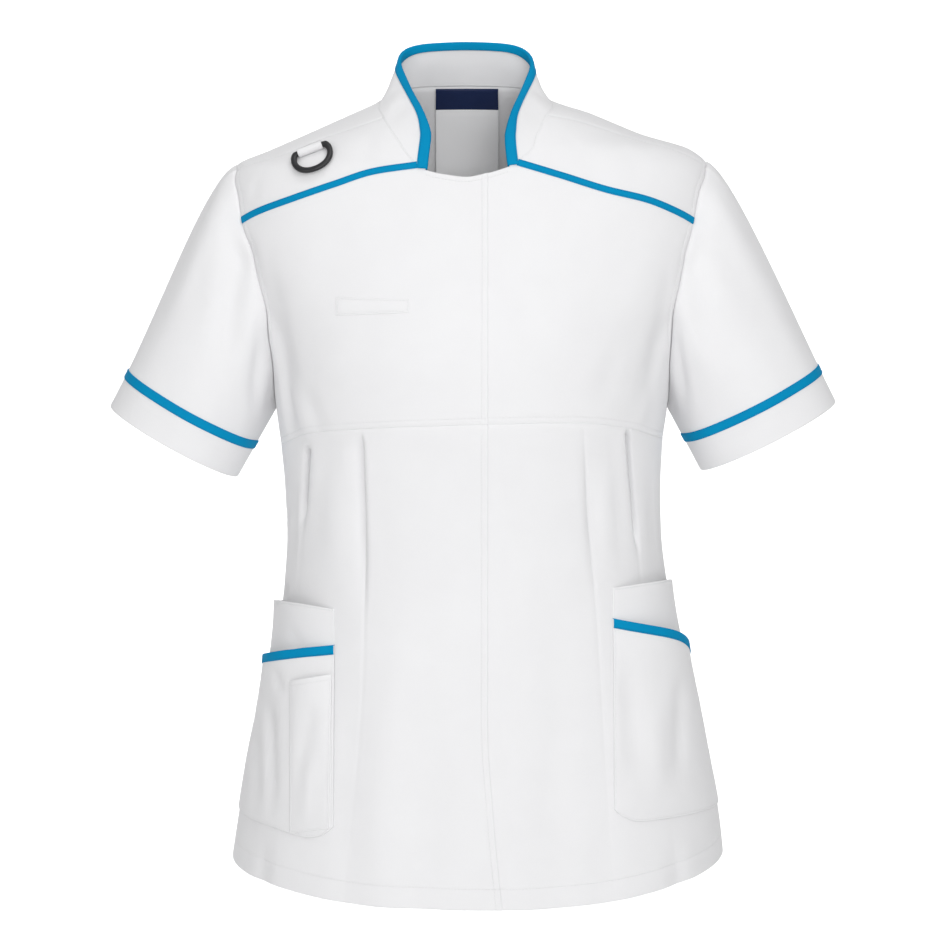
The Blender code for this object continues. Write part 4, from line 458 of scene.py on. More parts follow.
SIDES = ("right", "left")
SIGN = dict(right=-1, left=1)
LEFT_X, RIGHT_X = ring_column("left"), ring_column("right")
FRONT_Y, BACK_Y = ring_column("front"), ring_column("back")
SQUARE = ring_column("square")
LAP_X = pchip([p.z for p in LAP_EDGE], [p.x for p in LAP_EDGE])
NECKLINE_Z = pchip([p.x for p in NECKLINE], [p.z for p in NECKLINE])


def across(rows):
    """z over x for a seam given for both sides."""
    pts = [(e.right_x, e.right_z) for e in rows] + [(e.left_x, e.left_z) for e in rows[::-1]]
    return pchip([p[0] for p in pts], [p[1] for p in pts])


EMPIRE_Z, HEM_Z = across(EMPIRE_SEAM), across(HEM)


def half_width(x, z):
    return np.where(np.asarray(x) >= 0, RIGHT_X(z), -np.asarray(LEFT_X(z)))


def angle_at(x, z, face="front"):
    """Chart angle of a point: 0 front middle, 90 at +X, -90 at -X, 180 back."""
    x = np.asarray(x, float)
    a = np.degrees(np.arcsin(np.clip(x / half_width(x, z), -1.0, 1.0)))
    back = np.where(x >= 0, 180.0 - a, -180.0 - a)
    front = (face == "front") if isinstance(face, str) else face
    out = np.where(front, a, back)
    return out if out.ndim else float(out)


def body_base(angle, z):
    angle, z = np.broadcast_arrays(np.asarray(angle, float), np.asarray(z, float))
    a = np.radians(angle)
    s, c = np.sin(a), np.cos(a)
    width = np.where(s >= 0, RIGHT_X(z), -np.asarray(LEFT_X(z)))
    depth = np.where(c >= 0, -np.asarray(FRONT_Y(z)), BACK_Y(z))
    n = SQUARE(z)
    y = np.maximum(0.0, 1 - np.abs(s) ** n) ** (1 / n)
    return np.stack([width * s, depth * y, z * np.ones_like(s)], axis=-1)


def body_level(p, z, front):
    n = SQUARE(z)
    depth = np.where(front, FRONT_Y(z), BACK_Y(z))
    return (np.abs(p[..., 0]) / half_width(p[..., 0], z)) ** n + (np.abs(p[..., 1]) / depth) ** n


def body_normal(angle, z):
    angle, z = np.broadcast_arrays(np.asarray(angle, float), np.asarray(z, float))
    p = body_base(angle, z)
    h = 2e-4
    n = SQUARE(z)
    front = np.cos(np.radians(angle)) >= 0
    depth = np.where(front, FRONT_Y(z), BACK_Y(z))
    w = half_width(p[..., 0], z)
    gx = n * (np.abs(p[..., 0]) / w) ** (n - 1) / w * np.where(p[..., 0] >= 0, 1, -1)
    gy = n * (np.abs(p[..., 1]) / depth) ** (n - 1) / depth * np.where(front, -1, 1)
    gz = (body_level(p, z + h, front) - body_level(p, z - h, front)) / (2 * h)
    g = np.stack([gx, gy, gz], axis=-1)
    return g / np.linalg.norm(g, axis=-1, keepdims=True)


RIDGE_LOW, RIDGE_TOP, CROWN = -0.085, 0.030, 0.080


def ridge_z(x):
    """Height of the shoulder ridge; continued smoothly over the neck."""
    x = np.asarray(x, float)
    top = half_width(x, RIDGE_TOP * np.ones_like(x))
    lo = np.full(x.shape, RIDGE_LOW)
    hi = np.full(x.shape, RIDGE_TOP)
    for _ in range(36):
        mid = (lo + hi) / 2
        wide = half_width(x, mid) > np.abs(x)
        lo, hi = np.where(wide, mid, lo), np.where(wide, hi, mid)
    return np.where(np.abs(x) <= top, RIDGE_TOP + CROWN * (1 - (x / top) ** 2), (lo + hi) / 2)


def to_shoulder(spots, face):
    """Chart for the upper body: x, and the root of the drop below the ridge,
    negative on the front face. face settles the sign on the side line."""
    spots = np.asarray(spots, float)
    a, z = spots[..., 0], spots[..., 1]
    x = body_base(a, z)[..., 0]
    q = np.sqrt(np.maximum(0.0, ridge_z(x) - z))
    c = np.cos(np.radians(a))
    front = np.where(np.abs(c) < 1e-9, face == "front", c > 0)
    return np.stack([x, np.where(front, -q, q)], axis=-1)


def from_shoulder(spots):
    x, q = spots[..., 0], spots[..., 1]
    z = ridge_z(x) - q * q
    return np.stack([angle_at(x, z, q < 0), z], axis=-1)


def ease(t):
    t = np.clip(t, 0.0, 1.0)
    return t * t * (3 - 2 * t)


def walk(points):
    """Running 3-D length of a line given in (angle, z)."""
    points = np.asarray(points, float)
    p = body_base(points[:, 0], points[:, 1])
    return np.concatenate([[0.0], np.cumsum(np.linalg.norm(np.diff(p, axis=0), axis=1))])


DENSE = 24


def through(points):
    """Smooth line through chart points, as DENSE small steps for each stretch."""
    run = walk(points)
    ca = pchip(run, [p[0] for p in points])
    cz = pchip(run, [p[1] for p in points])
    r = np.concatenate([run[k] + (run[k + 1] - run[k]) * np.arange(DENSE) / DENSE for k in range(len(run) - 1)]
                       + [[run[-1]]])
    return np.stack([ca(r), cz(r)], axis=-1)


def spread(points, parts):
    """Points of a line at these parts of its length."""
    points = np.asarray(points, float)
    run = walk(points)
    want = np.asarray(parts) * run[-1]
    return np.stack([np.interp(want, run, points[:, k]) for k in (0, 1)], axis=-1)


def side_of(row, side):
    return (row.right_x, row.right_z) if side == "right" else (row.left_x, row.left_z)


def line_of(rows, side):
    out = []
    for row in rows:
        x, z = side_of(row, side)
        face = getattr(row, "face", "front")
        out.append((SIGN[side] * 90.0 if face == "ridge" else angle_at(x, z, face), z))
    return out


def seam_curves(side):
    edge = SIGN[side] * 90.0
    c = {"yoke": through(line_of(YOKE_SEAM, side)),
         "shoulder": through(line_of(SHOULDER_SEAM, side))}
    front = line_of(ARMHOLE_FRONT, side)
    front[-1] = (edge, front[-1][1])
    dense = through(front)
    c["arm_yoke"] = dense[:DENSE * 2 + 1]
    c["arm_front"] = dense[DENSE * 2:]
    x = side_of(ARMHOLE_FRONT[0], side)[0]
    back = [front[0], (edge, float(ridge_z(x * 1.002)))]
    back += [(angle_at(*side_of(row, side), "back"), side_of(row, side)[1]) for row in ARMHOLE_BACK]
    c["arm_back"] = through(back + [front[-1]])
    neck = line_of(NECK_SEAM, side) + [(SIGN[side] * 180.0, NECK_BACK_CENTRE)]
    dense = through(neck)
    c["neck_yoke"] = dense[:DENSE * 2 + 1]
    c["neck_side"] = dense[DENSE * 2:DENSE * 4 + 1]
    c["neck_back"] = dense[DENSE * 4:]
    return c


CURVES = {side: seam_curves(side) for side in SIDES}


def coons(bottom, top, start, end, us, vs):
    """Chart points of a patch from its four edges. Rows run bottom to top."""
    u = np.asarray(us)[None, :, None]
    v = np.asarray(vs)[:, None, None]
    bottom, top = np.asarray(bottom)[None], np.asarray(top)[None]
    start, end = np.asarray(start)[:, None], np.asarray(end)[:, None]
    return ((1 - v) * bottom + v * top + (1 - u) * start + u * end
            - (1 - u) * (1 - v) * bottom[:, :1] - u * (1 - v) * bottom[:, -1:]
            - (1 - u) * v * top[:, :1] - u * v * top[:, -1:])


def shoulder_patch(face, bottom, top, start, end, us, vs):
    grid = from_shoulder(coons(*[to_shoulder(line, face) for line in (bottom, top, start, end)], us, vs))
    grid[0], grid[-1] = bottom, top
    grid[:, 0], grid[:, -1] = start, end
    return grid


def lay(chart, lift=0.0, slide=None):
    """Outer points and outward normals of a chart patch. slide moves points
    along the cloth, across the columns."""
    a, z = chart[..., 0], chart[..., 1]
    n = body_normal(a, z)
    p = body_base(a, z) + n * (fold_height(a, z) + crease_height(a, z) + lift)[..., None]
    if slide is not None:
        along = np.gradient(p, axis=1)
        p = p + unit(along) * slide[..., None]
    return p, n


def unit(v):
    return v / np.maximum(1e-12, np.linalg.norm(v, axis=-1, keepdims=True))


def roll(d):
    """Sink of a panel at a distance from its seam, all in metres."""
    return -ROLL * np.exp(-(d / ROLL_WIDTH) ** 2)


def groove(d, at):
    return -GROOVE * np.exp(-((d - at) / GROOVE_WIDTH) ** 2)


def fold_height(angle, z):
    """Sum of the soft folds at a point; they die away at the side seams."""
    x = body_base(angle, z)[..., 0]
    front = np.cos(np.radians(angle)) >= 0
    total = np.zeros_like(x)
    for f in FOLDS:
        dx, dz = f.x2 - f.x1, f.z2 - f.z1
        size = math.hypot(dx, dz)
        ux, uz = dx / size, dz / size
        t = ((x - f.x1) * ux + (z - f.z1) * uz) / size
        off = (x - f.x1) * uz - (z - f.z1) * ux
        grow = ease(t / f.start) if f.start > 0 else 1.0
        fade = ease((1 - t) / f.end) if f.end > 0 else 1.0
        on = (t > 0) & (t < 1) & (front == (f.face == "front"))
        total += np.where(on, f.height * np.exp(-(off / f.width) ** 2) * grow * fade, 0.0)
    return total * ease(np.abs(np.cos(np.radians(angle))) / 0.35)


ROUND = 0.0030              # metres of cloth for a degree round the body


def turned(angle):
    """Angles counted from the middle of the back, for the back's creases."""
    return np.where(np.asarray(angle) > 0, np.asarray(angle) - 180.0, np.asarray(angle) + 180.0)


def crease_height(angle, z):
    """Sum of the fine creases at a point."""
    angle, z = np.asarray(angle, float), np.asarray(z, float)
    wrapped = (angle + 180.0) % 360.0 - 180.0
    wrapped = np.where((wrapped == -180.0) & (angle > 0), 180.0, wrapped)
    total = np.zeros(np.broadcast(angle, z).shape)
    for c in CREASES:
        a1, a2 = angle_at(c.x1, c.z1, c.face), angle_at(c.x2, c.z2, c.face)
        a = wrapped
        if c.face == "back":
            a, a1, a2 = turned(wrapped), float(turned(a1)), float(turned(a2))
        px, pz = (a - a1) * ROUND, z - c.z1
        dx, dz = (a2 - a1) * ROUND, c.z2 - c.z1
        size = math.hypot(dx, dz)
        ux, uz = dx / size, dz / size
        t = (px * ux + pz * uz) / size
        off = px * uz - pz * ux - c.bow * 4 * t * (1 - t)
        if c.face == "back":
            off = -off
        width = np.where(off > 0, c.left, c.right)
        grow = ease(t / c.start) if c.start > 0 else 1.0
        fade = ease((1 - t) / c.end) if c.end > 0 else 1.0
        u = off / width
        shape = np.exp(-u * u) - 0.28 * np.exp(-((np.abs(u) - 1.9) / 0.8) ** 2)
        total += np.where((t > 0) & (t < 1), c.height * shape * grow * fade, 0.0)
    return total


# --------------------------------------------------------------------- meshes
def add_mesh(name, verts, faces, uvs, looks, face_look=None, body="garment"):
    """New object with a metre-scale UV map, which rides on a body."""
    verts = np.asarray(verts, float)
    p = verts[np.array([f[0] for f in faces])]
    q = verts[np.array([f[1] for f in faces])]
    r = verts[np.array([f[2] for f in faces])]
    volume = float(np.sum(p * np.cross(q, r)))
    s = verts[np.array([f[-1] for f in faces])]
    volume += float(np.sum(p * np.cross(r, s)))
    if volume < 0:
        faces = [f[::-1] for f in faces]
        uvs = [u[::-1] for u in uvs]
    me = bpy.data.meshes.new(name)
    me.from_pydata(verts.tolist(), [], [list(map(int, f)) for f in faces])
    layer = me.uv_layers.new(name="cloth")
    layer.data.foreach_set("uv", np.array([c for u in uvs for c in u], float).ravel())
    for look in looks:
        me.materials.append(look)
    if face_look is not None:
        me.polygons.foreach_set("material_index", np.asarray(face_look, np.int32))
    me.polygons.foreach_set("use_smooth", np.ones(len(faces), bool))
    me.update()
    ob = bpy.data.objects.new(name, me)
    bpy.context.scene.collection.objects.link(ob)
    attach(ob, body)
    return ob


def shell(name, outer, normals, thickness, looks, ring=False, hole=None, dark=None):
    """Closed shell from a grid of outer points, thickened along -normal, with
    a rim. dark(j, i) gives a cell's look."""
    rows, cols = outer.shape[:2]
    inner = outer - normals * thickness
    half = rows * cols
    width = np.linalg.norm((np.roll(outer, -1, axis=1) if ring else outer[:, 1:]) - (outer if ring else outer[:, :-1]),
                           axis=2).mean(axis=0)
    height = np.linalg.norm(outer[1:] - outer[:-1], axis=2).mean(axis=1)
    us = np.concatenate([[0], np.cumsum(width)])
    vs = np.concatenate([[0], np.cumsum(height)])
    faces, uvs, look_of, rim = [], [], [], {}
    for j in range(rows - 1):
        for i in range(cols if ring else cols - 1):
            if hole is not None and hole(j, i):
                continue
            k = (i + 1) % cols
            cell = (j * cols + i, j * cols + k, (j + 1) * cols + k, (j + 1) * cols + i)
            uv = ((us[i], vs[j]), (us[i + 1], vs[j]), (us[i + 1], vs[j + 1]), (us[i], vs[j + 1]))
            faces += [cell, tuple(v + half for v in cell[::-1])]
            uvs += [uv, uv[::-1]]
            kind = dark(j, i) if dark else 0
            look_of += [kind, kind]
            for a, b, ua, ub in zip(cell, cell[1:] + cell[:1], uv, uv[1:] + uv[:1]):
                if (b, a) in rim:
                    del rim[(b, a)]
                else:
                    rim[(a, b)] = (ua, ub, kind)
    for (a, b), (ua, ub, kind) in rim.items():
        faces.append((b, a, a + half, b + half))
        uvs.append((ub, ua, ua, ub))
        look_of.append(kind)
    spots = np.concatenate([outer.reshape(-1, 3), inner.reshape(-1, 3)])
    used = np.unique(np.array([v for f in faces for v in f]))
    number = np.full(len(spots), -1)
    number[used] = np.arange(len(used))
    return add_mesh(name, spots[used], [tuple(number[list(f)]) for f in faces], uvs, looks, look_of)


def cloth_sheet(ob, points, ring=False, spare=1.0):
    """Record a piece's cut: the plain rectangle round its grid and its area."""
    w = points[:, :] if not ring else np.concatenate([points, points[:, :1]], axis=1)
    wide = np.linalg.norm(np.diff(w, axis=1), axis=2)
    tall = np.linalg.norm(np.diff(points, axis=0), axis=2)
    a, b = np.diff(w, axis=1)[:-1], np.diff(w, axis=0)[:, :-1]
    area = float(np.linalg.norm(np.cross(a, b), axis=2).sum())
    width, length = float(wide.sum(axis=1).max()) * spare, float(tall.sum(axis=0).max()) * spare
    width, length = max(width, 0.0101), max(length, 0.0101)
    area = min(max(area, 0.31 * width * length), width * length)
    CUTS.append((ob.name, width, length, area))


CUTS = []


def along(points, normals, parts_from_edge):
    """Line inside a grid at a set distance from its first row."""
    steps = np.linalg.norm(np.diff(points, axis=0), axis=2)
    run = np.concatenate([np.zeros((1, points.shape[1])), np.cumsum(steps, axis=0)])
    out, out_n = [], []
    for i in range(points.shape[1]):
        out.append([np.interp(parts_from_edge, run[:, i], points[:, i, k]) for k in range(3)])
        out_n.append([np.interp(parts_from_edge, run[:, i], normals[:, i, k]) for k in range(3)])
    return np.array(out), unit(np.array(out_n))


THREADS = {"white": [], "blue": [], "tonal": []}
STITCH, STITCH_GAP, THREAD = 2.3 * MM, 0.8 * MM, 0.24 * MM


def stitch_line(points, normals, kind="white", start=0.0, end=0.0, sink=0.0):
    """Row of stitches along a line on the cloth."""
    run = np.concatenate([[0], np.cumsum(np.linalg.norm(np.diff(points, axis=0), axis=1))])
    s = start + 0.4 * MM
    while s + STITCH < run[-1] - end:
        at = [np.array([np.interp(s + STITCH * f, run, points[:, k]) for k in range(3)]) for f in (0, 0.2, 0.5, 0.8, 1)]
        n = unit(np.array([np.interp(s + STITCH / 2, run, normals[:, k]) for k in range(3)]))
        d = unit(at[-1] - at[0])
        THREADS[kind].append((at, n, d, sink))
        s += STITCH + STITCH_GAP


def row_stitches(points, normals, distance, edge="s", kind="white", start=0.0, end=0.0):
    """Stitches at a distance from one edge of a grid."""
    p, n = points, normals
    if edge == "n":
        p, n = p[::-1], n[::-1]
    elif edge == "w":
        p, n = p.transpose(1, 0, 2), n.transpose(1, 0, 2)
    elif edge == "e":
        p, n = p.transpose(1, 0, 2)[::-1], n.transpose(1, 0, 2)[::-1]
    line, skin = along(p, n, distance)
    stitch_line(line, skin, kind, start, end)


def sew(name, kind, look):
    verts, faces, uvs = [], [], []
    heights = (-0.10 * MM, 0.10 * MM, 0.16 * MM, 0.10 * MM, -0.10 * MM)
    for at, n, d, sink in THREADS[kind]:
        side = np.cross(n, d)
        base = len(verts)
        for k, (p, h) in enumerate(zip(at, heights)):
            r = THREAD * (0.65 if k in (0, 4) else 1.0)
            c = p + n * (h - sink)
            verts += [c + side * r, c + n * r * 0.8, c - side * r, c - n * r * 0.8]
        for k in range(4):
            for i in range(4):
                j = (i + 1) % 4
                faces.append((base + k * 4 + i, base + k * 4 + j, base + k * 4 + 4 + j, base + k * 4 + 4 + i))
                uvs.append(((0, k * 6e-4), (1e-3, k * 6e-4), (1e-3, k * 6e-4 + 6e-4), (0, k * 6e-4 + 6e-4)))
        faces += [tuple(base + i for i in (3, 2, 1, 0)), tuple(base + 16 + i for i in (0, 1, 2, 3))]
        uvs += [((0, 0), (1e-3, 0), (1e-3, 1e-3), (0, 1e-3))] * 2
    return add_mesh(name, verts, faces, uvs, [look])


# ------------------------------------------------------------------ materials
def nodes_of(name):
    m = bpy.data.materials.new(name)
    m.use_nodes = True
    t = m.node_tree
    return m, t.nodes, t.links, t.nodes["Principled BSDF"]


def woven(name, light, dark, rough, pitch, weave, sheen, mottle=0.6, ribs=None, grain=900.0):
    """Plain-weave cloth: two sets of threads from the UV map in metres, slubs
    and a soft unevenness of tone. ribs gives a tape its crosswise cords."""
    m, nodes, links, shader = nodes_of(name)
    uv = nodes.new("ShaderNodeUVMap")
    uv.uv_map = "cloth"
    split = nodes.new("ShaderNodeSeparateXYZ")
    links.new(uv.outputs["UV"], split.inputs[0])

    def maths(op, a, b=None):
        n = nodes.new("ShaderNodeMath")
        n.operation = op
        for k, v in enumerate((a, b)):
            if v is None:
                continue
            if isinstance(v, (int, float)):
                n.inputs[k].default_value = v
            else:
                links.new(v, n.inputs[k])
        return n.outputs[0]

    def thread(axis, step):
        return maths("ABSOLUTE", maths("SINE", maths("MULTIPLY", split.outputs[axis], math.pi / step)))
    warp = thread("X", pitch)
    weft = thread("Y", ribs or pitch)
    over = maths("SINE", maths("ADD", maths("MULTIPLY", split.outputs["X"], math.pi / pitch),
                               maths("MULTIPLY", split.outputs["Y"], math.pi / pitch)))
    lattice = maths("ADD", maths("MULTIPLY", maths("ADD", warp, weft), 0.5), maths("MULTIPLY", over, 0.25))
    if ribs:
        lattice = maths("ADD", maths("MULTIPLY", weft, 0.8), maths("MULTIPLY", warp, 0.2))
    where = nodes.new("ShaderNodeTexCoord")
    slub = nodes.new("ShaderNodeTexNoise")
    slub.inputs["Scale"].default_value = grain
    slub.inputs["Detail"].default_value = 3.0
    links.new(where.outputs["Object"], slub.inputs["Vector"])
    soft = nodes.new("ShaderNodeTexNoise")
    soft.inputs["Scale"].default_value = 26.0
    soft.inputs["Detail"].default_value = 4.0
    links.new(where.outputs["Object"], soft.inputs["Vector"])
    tone = maths("ADD", maths("MULTIPLY", soft.outputs["Fac"], mottle), maths("MULTIPLY", slub.outputs["Fac"], 1 - mottle))
    tone = maths("ADD", maths("MULTIPLY", tone, 0.8), maths("MULTIPLY", lattice, 0.2))
    ramp = nodes.new("ShaderNodeValToRGB")
    ramp.color_ramp.elements[0].position = 0.25
    ramp.color_ramp.elements[0].color = (*dark, 1)
    ramp.color_ramp.elements[1].position = 0.75
    ramp.color_ramp.elements[1].color = (*light, 1)
    links.new(tone, ramp.inputs["Fac"])
    links.new(ramp.outputs["Color"], shader.inputs["Base Color"])
    level = nodes.new("ShaderNodeMapRange")
    level.inputs["To Min"].default_value = rough - 0.05
    level.inputs["To Max"].default_value = rough + 0.05
    links.new(slub.outputs["Fac"], level.inputs["Value"])
    links.new(level.outputs["Result"], shader.inputs["Roughness"])
    bump = nodes.new("ShaderNodeBump")
    bump.inputs["Strength"].default_value = 0.5
    bump.inputs["Distance"].default_value = weave
    links.new(lattice, bump.inputs["Height"])
    pucker = nodes.new("ShaderNodeBump")
    pucker.inputs["Strength"].default_value = 0.35
    pucker.inputs["Distance"].default_value = 0.0012
    links.new(soft.outputs["Fac"], pucker.inputs["Height"])
    links.new(bump.outputs["Normal"], pucker.inputs["Normal"])
    links.new(pucker.outputs["Normal"], shader.inputs["Normal"])
    shader.inputs["Sheen Weight"].default_value = sheen
    shader.inputs["Sheen Roughness"].default_value = 0.5
    shader.inputs["Specular IOR Level"].default_value = 0.25
    return m


def moulded(name, colour, rough):
    """Satin moulded plastic with a fine grain."""
    m, nodes, links, shader = nodes_of(name)
    where = nodes.new("ShaderNodeTexCoord")
    grain = nodes.new("ShaderNodeTexNoise")
    grain.inputs["Scale"].default_value = 700.0
    grain.inputs["Detail"].default_value = 4.0
    links.new(where.outputs["Object"], grain.inputs["Vector"])
    ramp = nodes.new("ShaderNodeValToRGB")
    ramp.color_ramp.elements[0].color = (*[c * 0.7 for c in colour], 1)
    ramp.color_ramp.elements[1].color = (*[c * 1.5 for c in colour], 1)
    links.new(grain.outputs["Fac"], ramp.inputs["Fac"])
    links.new(ramp.outputs["Color"], shader.inputs["Base Color"])
    level = nodes.new("ShaderNodeMapRange")
    level.inputs["To Min"].default_value = rough - 0.08
    level.inputs["To Max"].default_value = rough + 0.10
    links.new(grain.outputs["Fac"], level.inputs["Value"])
    links.new(level.outputs["Result"], shader.inputs["Roughness"])
    bump = nodes.new("ShaderNodeBump")
    bump.inputs["Strength"].default_value = 0.25
    bump.inputs["Distance"].default_value = 0.0001
    links.new(grain.outputs["Fac"], bump.inputs["Height"])
    links.new(bump.outputs["Normal"], shader.inputs["Normal"])
    return m


WHITE = woven("white_cloth", (0.815, 0.815, 0.825), (0.780, 0.777, 0.788), 0.80, 0.42 * MM, 0.05 * MM, 0.12)
BLUE = woven("blue_tape", (0.0, 0.275, 0.520), (0.0, 0.225, 0.450), 0.75, 0.35 * MM, 0.10 * MM, 0.0, ribs=0.75 * MM)
BLUE.node_tree.nodes["Principled BSDF"].inputs["Specular IOR Level"].default_value = 0.08
NAVY = woven("label_navy", (0.006, 0.018, 0.075), (0.004, 0.012, 0.055), 0.50, 0.25 * MM, 0.03 * MM, 0.08)
LABEL_CREAM = woven("label_white", (0.96, 0.96, 0.965), (0.94, 0.94, 0.945), 0.40, 0.25 * MM, 0.03 * MM, 0.08)
THREAD_WHITE = woven("thread_white", (0.80, 0.80, 0.81), (0.72, 0.72, 0.735), 0.60, 0.30 * MM, 0.05 * MM, 0.10)
THREAD_BLUE = woven("thread_blue", (0.0, 0.21, 0.42), (0.0, 0.16, 0.34), 0.70, 0.30 * MM, 0.05 * MM, 0.0)
BLACK = moulded("black_plastic", (0.012, 0.012, 0.014), 0.34)


# ---------------------------------------------------- lines of the fine grids
# All lengths in mm. The same marks serve the two panels that meet at a seam.
EDGE_STITCH = 6.0
PLAIN = SEAM_MARKS
SEWN = stitched(EDGE_STITCH)
CLOSE = stitched(1.8)
HEM_MARKS = (0.0, 0.4, 0.9, 1.8, 4.0, 8.0, 13.0, 16.5, 18.7, 19.4, 20.0, 20.6, 21.3, 23.5)

ARM_FRONT = marks(196, SEAM_MARKS, SEAM_MARKS, 3.6)     # underarm to yoke seam
ARM_YOKE = marks(48, SEAM_MARKS, SEAM_MARKS, 3.6)
ARM_OVER = marks(66, (0.0, 3.5), SEAM_MARKS, 3.6)       # shoulder blade to shoulder seam
ARM_BACK = marks(176, SEAM_MARKS, (0.0, 3.5), 3.8)      # underarm to blade
YOKE_ACROSS = marks(170, SEWN, SEAM_MARKS, 3.0)         # armhole to neck
NECK_YOKE = marks(52, SEAM_MARKS, SEAM_MARKS, 3.2)
NECK_OVER = marks(50, SEAM_MARKS, (0.0, 3.0), 3.2)
NECK_BACK = marks(72, (0.0, 3.0), (0.0, 3.0), 3.4)
NECKLINE_RUN = 60
SIDE_UP = marks(34, SEWN, (0.0, 3.0), 3.2)              # empire seam to underarm
SKIRT_UP = marks(430, HEM_MARKS, SEWN, 3.3)
BLADE = 8 / 11                  # where the blade row meets the back armhole


# =============================================================== the armholes
def arm_lines(side):
    """Armhole lines of one side, each from the underarm up."""
    c = CURVES[side]
    back = c["arm_back"][::-1]
    run = walk(back)
    cut = BLADE * run[-1]
    k = int(np.searchsorted(run, cut))
    spot = np.array([np.interp(cut, run, back[:, i]) for i in (0, 1)])
    low, high = np.concatenate([back[:k], [spot]]), np.concatenate([[spot], back[k:]])
    return dict(front=spread(c["arm_front"][::-1], ARM_FRONT), yoke=spread(c["arm_yoke"][::-1], ARM_YOKE),
                low=spread(low, ARM_BACK), high=spread(high, ARM_OVER))


ARMS = {side: arm_lines(side) for side in SIDES}


def armhole_ring(side):
    """Stations round an armhole, from the underarm up the front and back down."""
    a = ARMS[side]
    return np.concatenate([a["front"], a["yoke"][1:], a["high"][::-1][1:], a["low"][::-1][1:-1]])


def sleeve_lines(side):
    """A curve along the sleeve from each armhole station to the cuff's edge."""
    cuff = next(k for k in CUFFS if k.side == side)
    outer = np.array([cuff.outer_x, 0.0, cuff.outer_z])
    inner = np.array([cuff.inner_x, 0.0, cuff.inner_z])
    half = np.linalg.norm(outer - inner) / 2
    across_cuff = unit(outer - inner)
    axis = np.cross(across_cuff, (0, 1, 0))
    axis = unit(axis if axis[2] < 0 else -axis)
    centre = (outer + inner) / 2
    centre[1] = (cuff.front + cuff.back) / 2
    depth = (cuff.back - cuff.front) / 2
    ring = armhole_ring(side)
    skins = body_normal(ring[:, 0], ring[:, 1])
    plain = body_base(ring[:, 0], ring[:, 1])
    spots = plain + skins * (fold_height(ring[:, 0], ring[:, 1]) + crease_height(ring[:, 0], ring[:, 1]))[:, None]
    count, crown = len(ring), int(np.argmax(plain[:, 2]))
    run = np.concatenate([[0], np.cumsum(np.linalg.norm(np.roll(plain, -1, axis=0) - plain, axis=1))])
    out = np.array([float(SIGN[side]), 0.0, 0.0])
    lines, turns = [], []
    for k in range(count):
        if k <= crown:
            turn = math.pi * run[k] / run[crown]
        else:
            turn = 2 * math.pi - math.pi * (run[count] - run[k]) / (run[count] - run[crown])
        end = centre - across_cuff * half * math.cos(turn) - np.array([0, 1, 0]) * depth * math.sin(turn)
        high = 0.5 - 0.5 * math.cos(turn)
        lead = axis * (1 - 0.75 * high ** 2) + out * 0.80 * high ** 2
        lead = unit(lead + np.array([0, -1, 0]) * 0.22 * math.sin(turn))
        reach = np.linalg.norm(end - spots[k])
        if high < 0.5:
            first = (0.30 - 0.12 * high) * reach
        else:
            first = 0.24 * (2 - 2 * high) * reach + cuff.top_out * (2 * high - 1)
        lines.append((spots[k], spots[k] + lead * first, end - axis * 0.38 * reach, end))
        turns.append(math.degrees(turn))
    return np.array(lines), skins, np.array(turns)


def sleeve_points(lines, t):
    """Points of all the sleeve's lines at parameters t (rows, stations)."""
    t = t[..., None]
    s = 1 - t
    a, b, c, d = (lines[None, :, k] for k in range(4))
    return a * s ** 3 + b * 3 * s * s * t + c * 3 * s * t * t + d * t ** 3


def tube_normals(grid):
    """Outward normals of a grid that runs round, from its neighbours."""
    up = np.gradient(grid, axis=0)
    n = unit(np.cross(up, np.roll(grid, -1, axis=1) - np.roll(grid, 1, axis=1)))
    out = np.sum(n * (grid - grid.mean(axis=1, keepdims=True)), axis=2, keepdims=True)
    return np.where(out > 0, n, -n)


def bend_height(side, turns, t):
    """Creases of a sleeve at (rows, stations)."""
    total = np.zeros(t.shape)
    for b in BENDS:
        if b.side != side:
            continue
        px, pt = (turns[None, :] - b.turn1) * 0.00115, (t - b.t1) * 0.185
        dx, dt = (b.turn2 - b.turn1) * 0.00115, (b.t2 - b.t1) * 0.185
        size = math.hypot(dx, dt)
        s = (px * dx + pt * dt) / size ** 2
        off = (px * dt - pt * dx) / size
        u = off / np.where(off > 0, b.left, b.right)
        grow = ease(s / b.start) if b.start else 1.0
        fade = ease((1 - s) / b.end) if b.end else 1.0
        shape = np.exp(-u * u) - 0.25 * np.exp(-((np.abs(u) - 1.9) / 0.8) ** 2)
        total += np.where((s > 0) & (s < 1), b.height * shape * grow * fade, 0.0)
    return total


MITRE = {}
SLEEVE_BOUND = {}


def at_distances(lines, dists):
    """Parameters of the sleeve's lines at distances from the cuff's edge."""
    t = np.linspace(0, 1, 241)[:, None] * np.ones(len(lines))[None]
    p = sleeve_points(lines, t)
    run = np.concatenate([np.zeros((1, len(lines))), np.cumsum(np.linalg.norm(np.diff(p, axis=0), axis=2), axis=0)])
    total = run[-1]
    return np.array([[np.interp(total[k] - d, run[:, k], t[:, k]) for k in range(len(lines))] for d in dists]), total


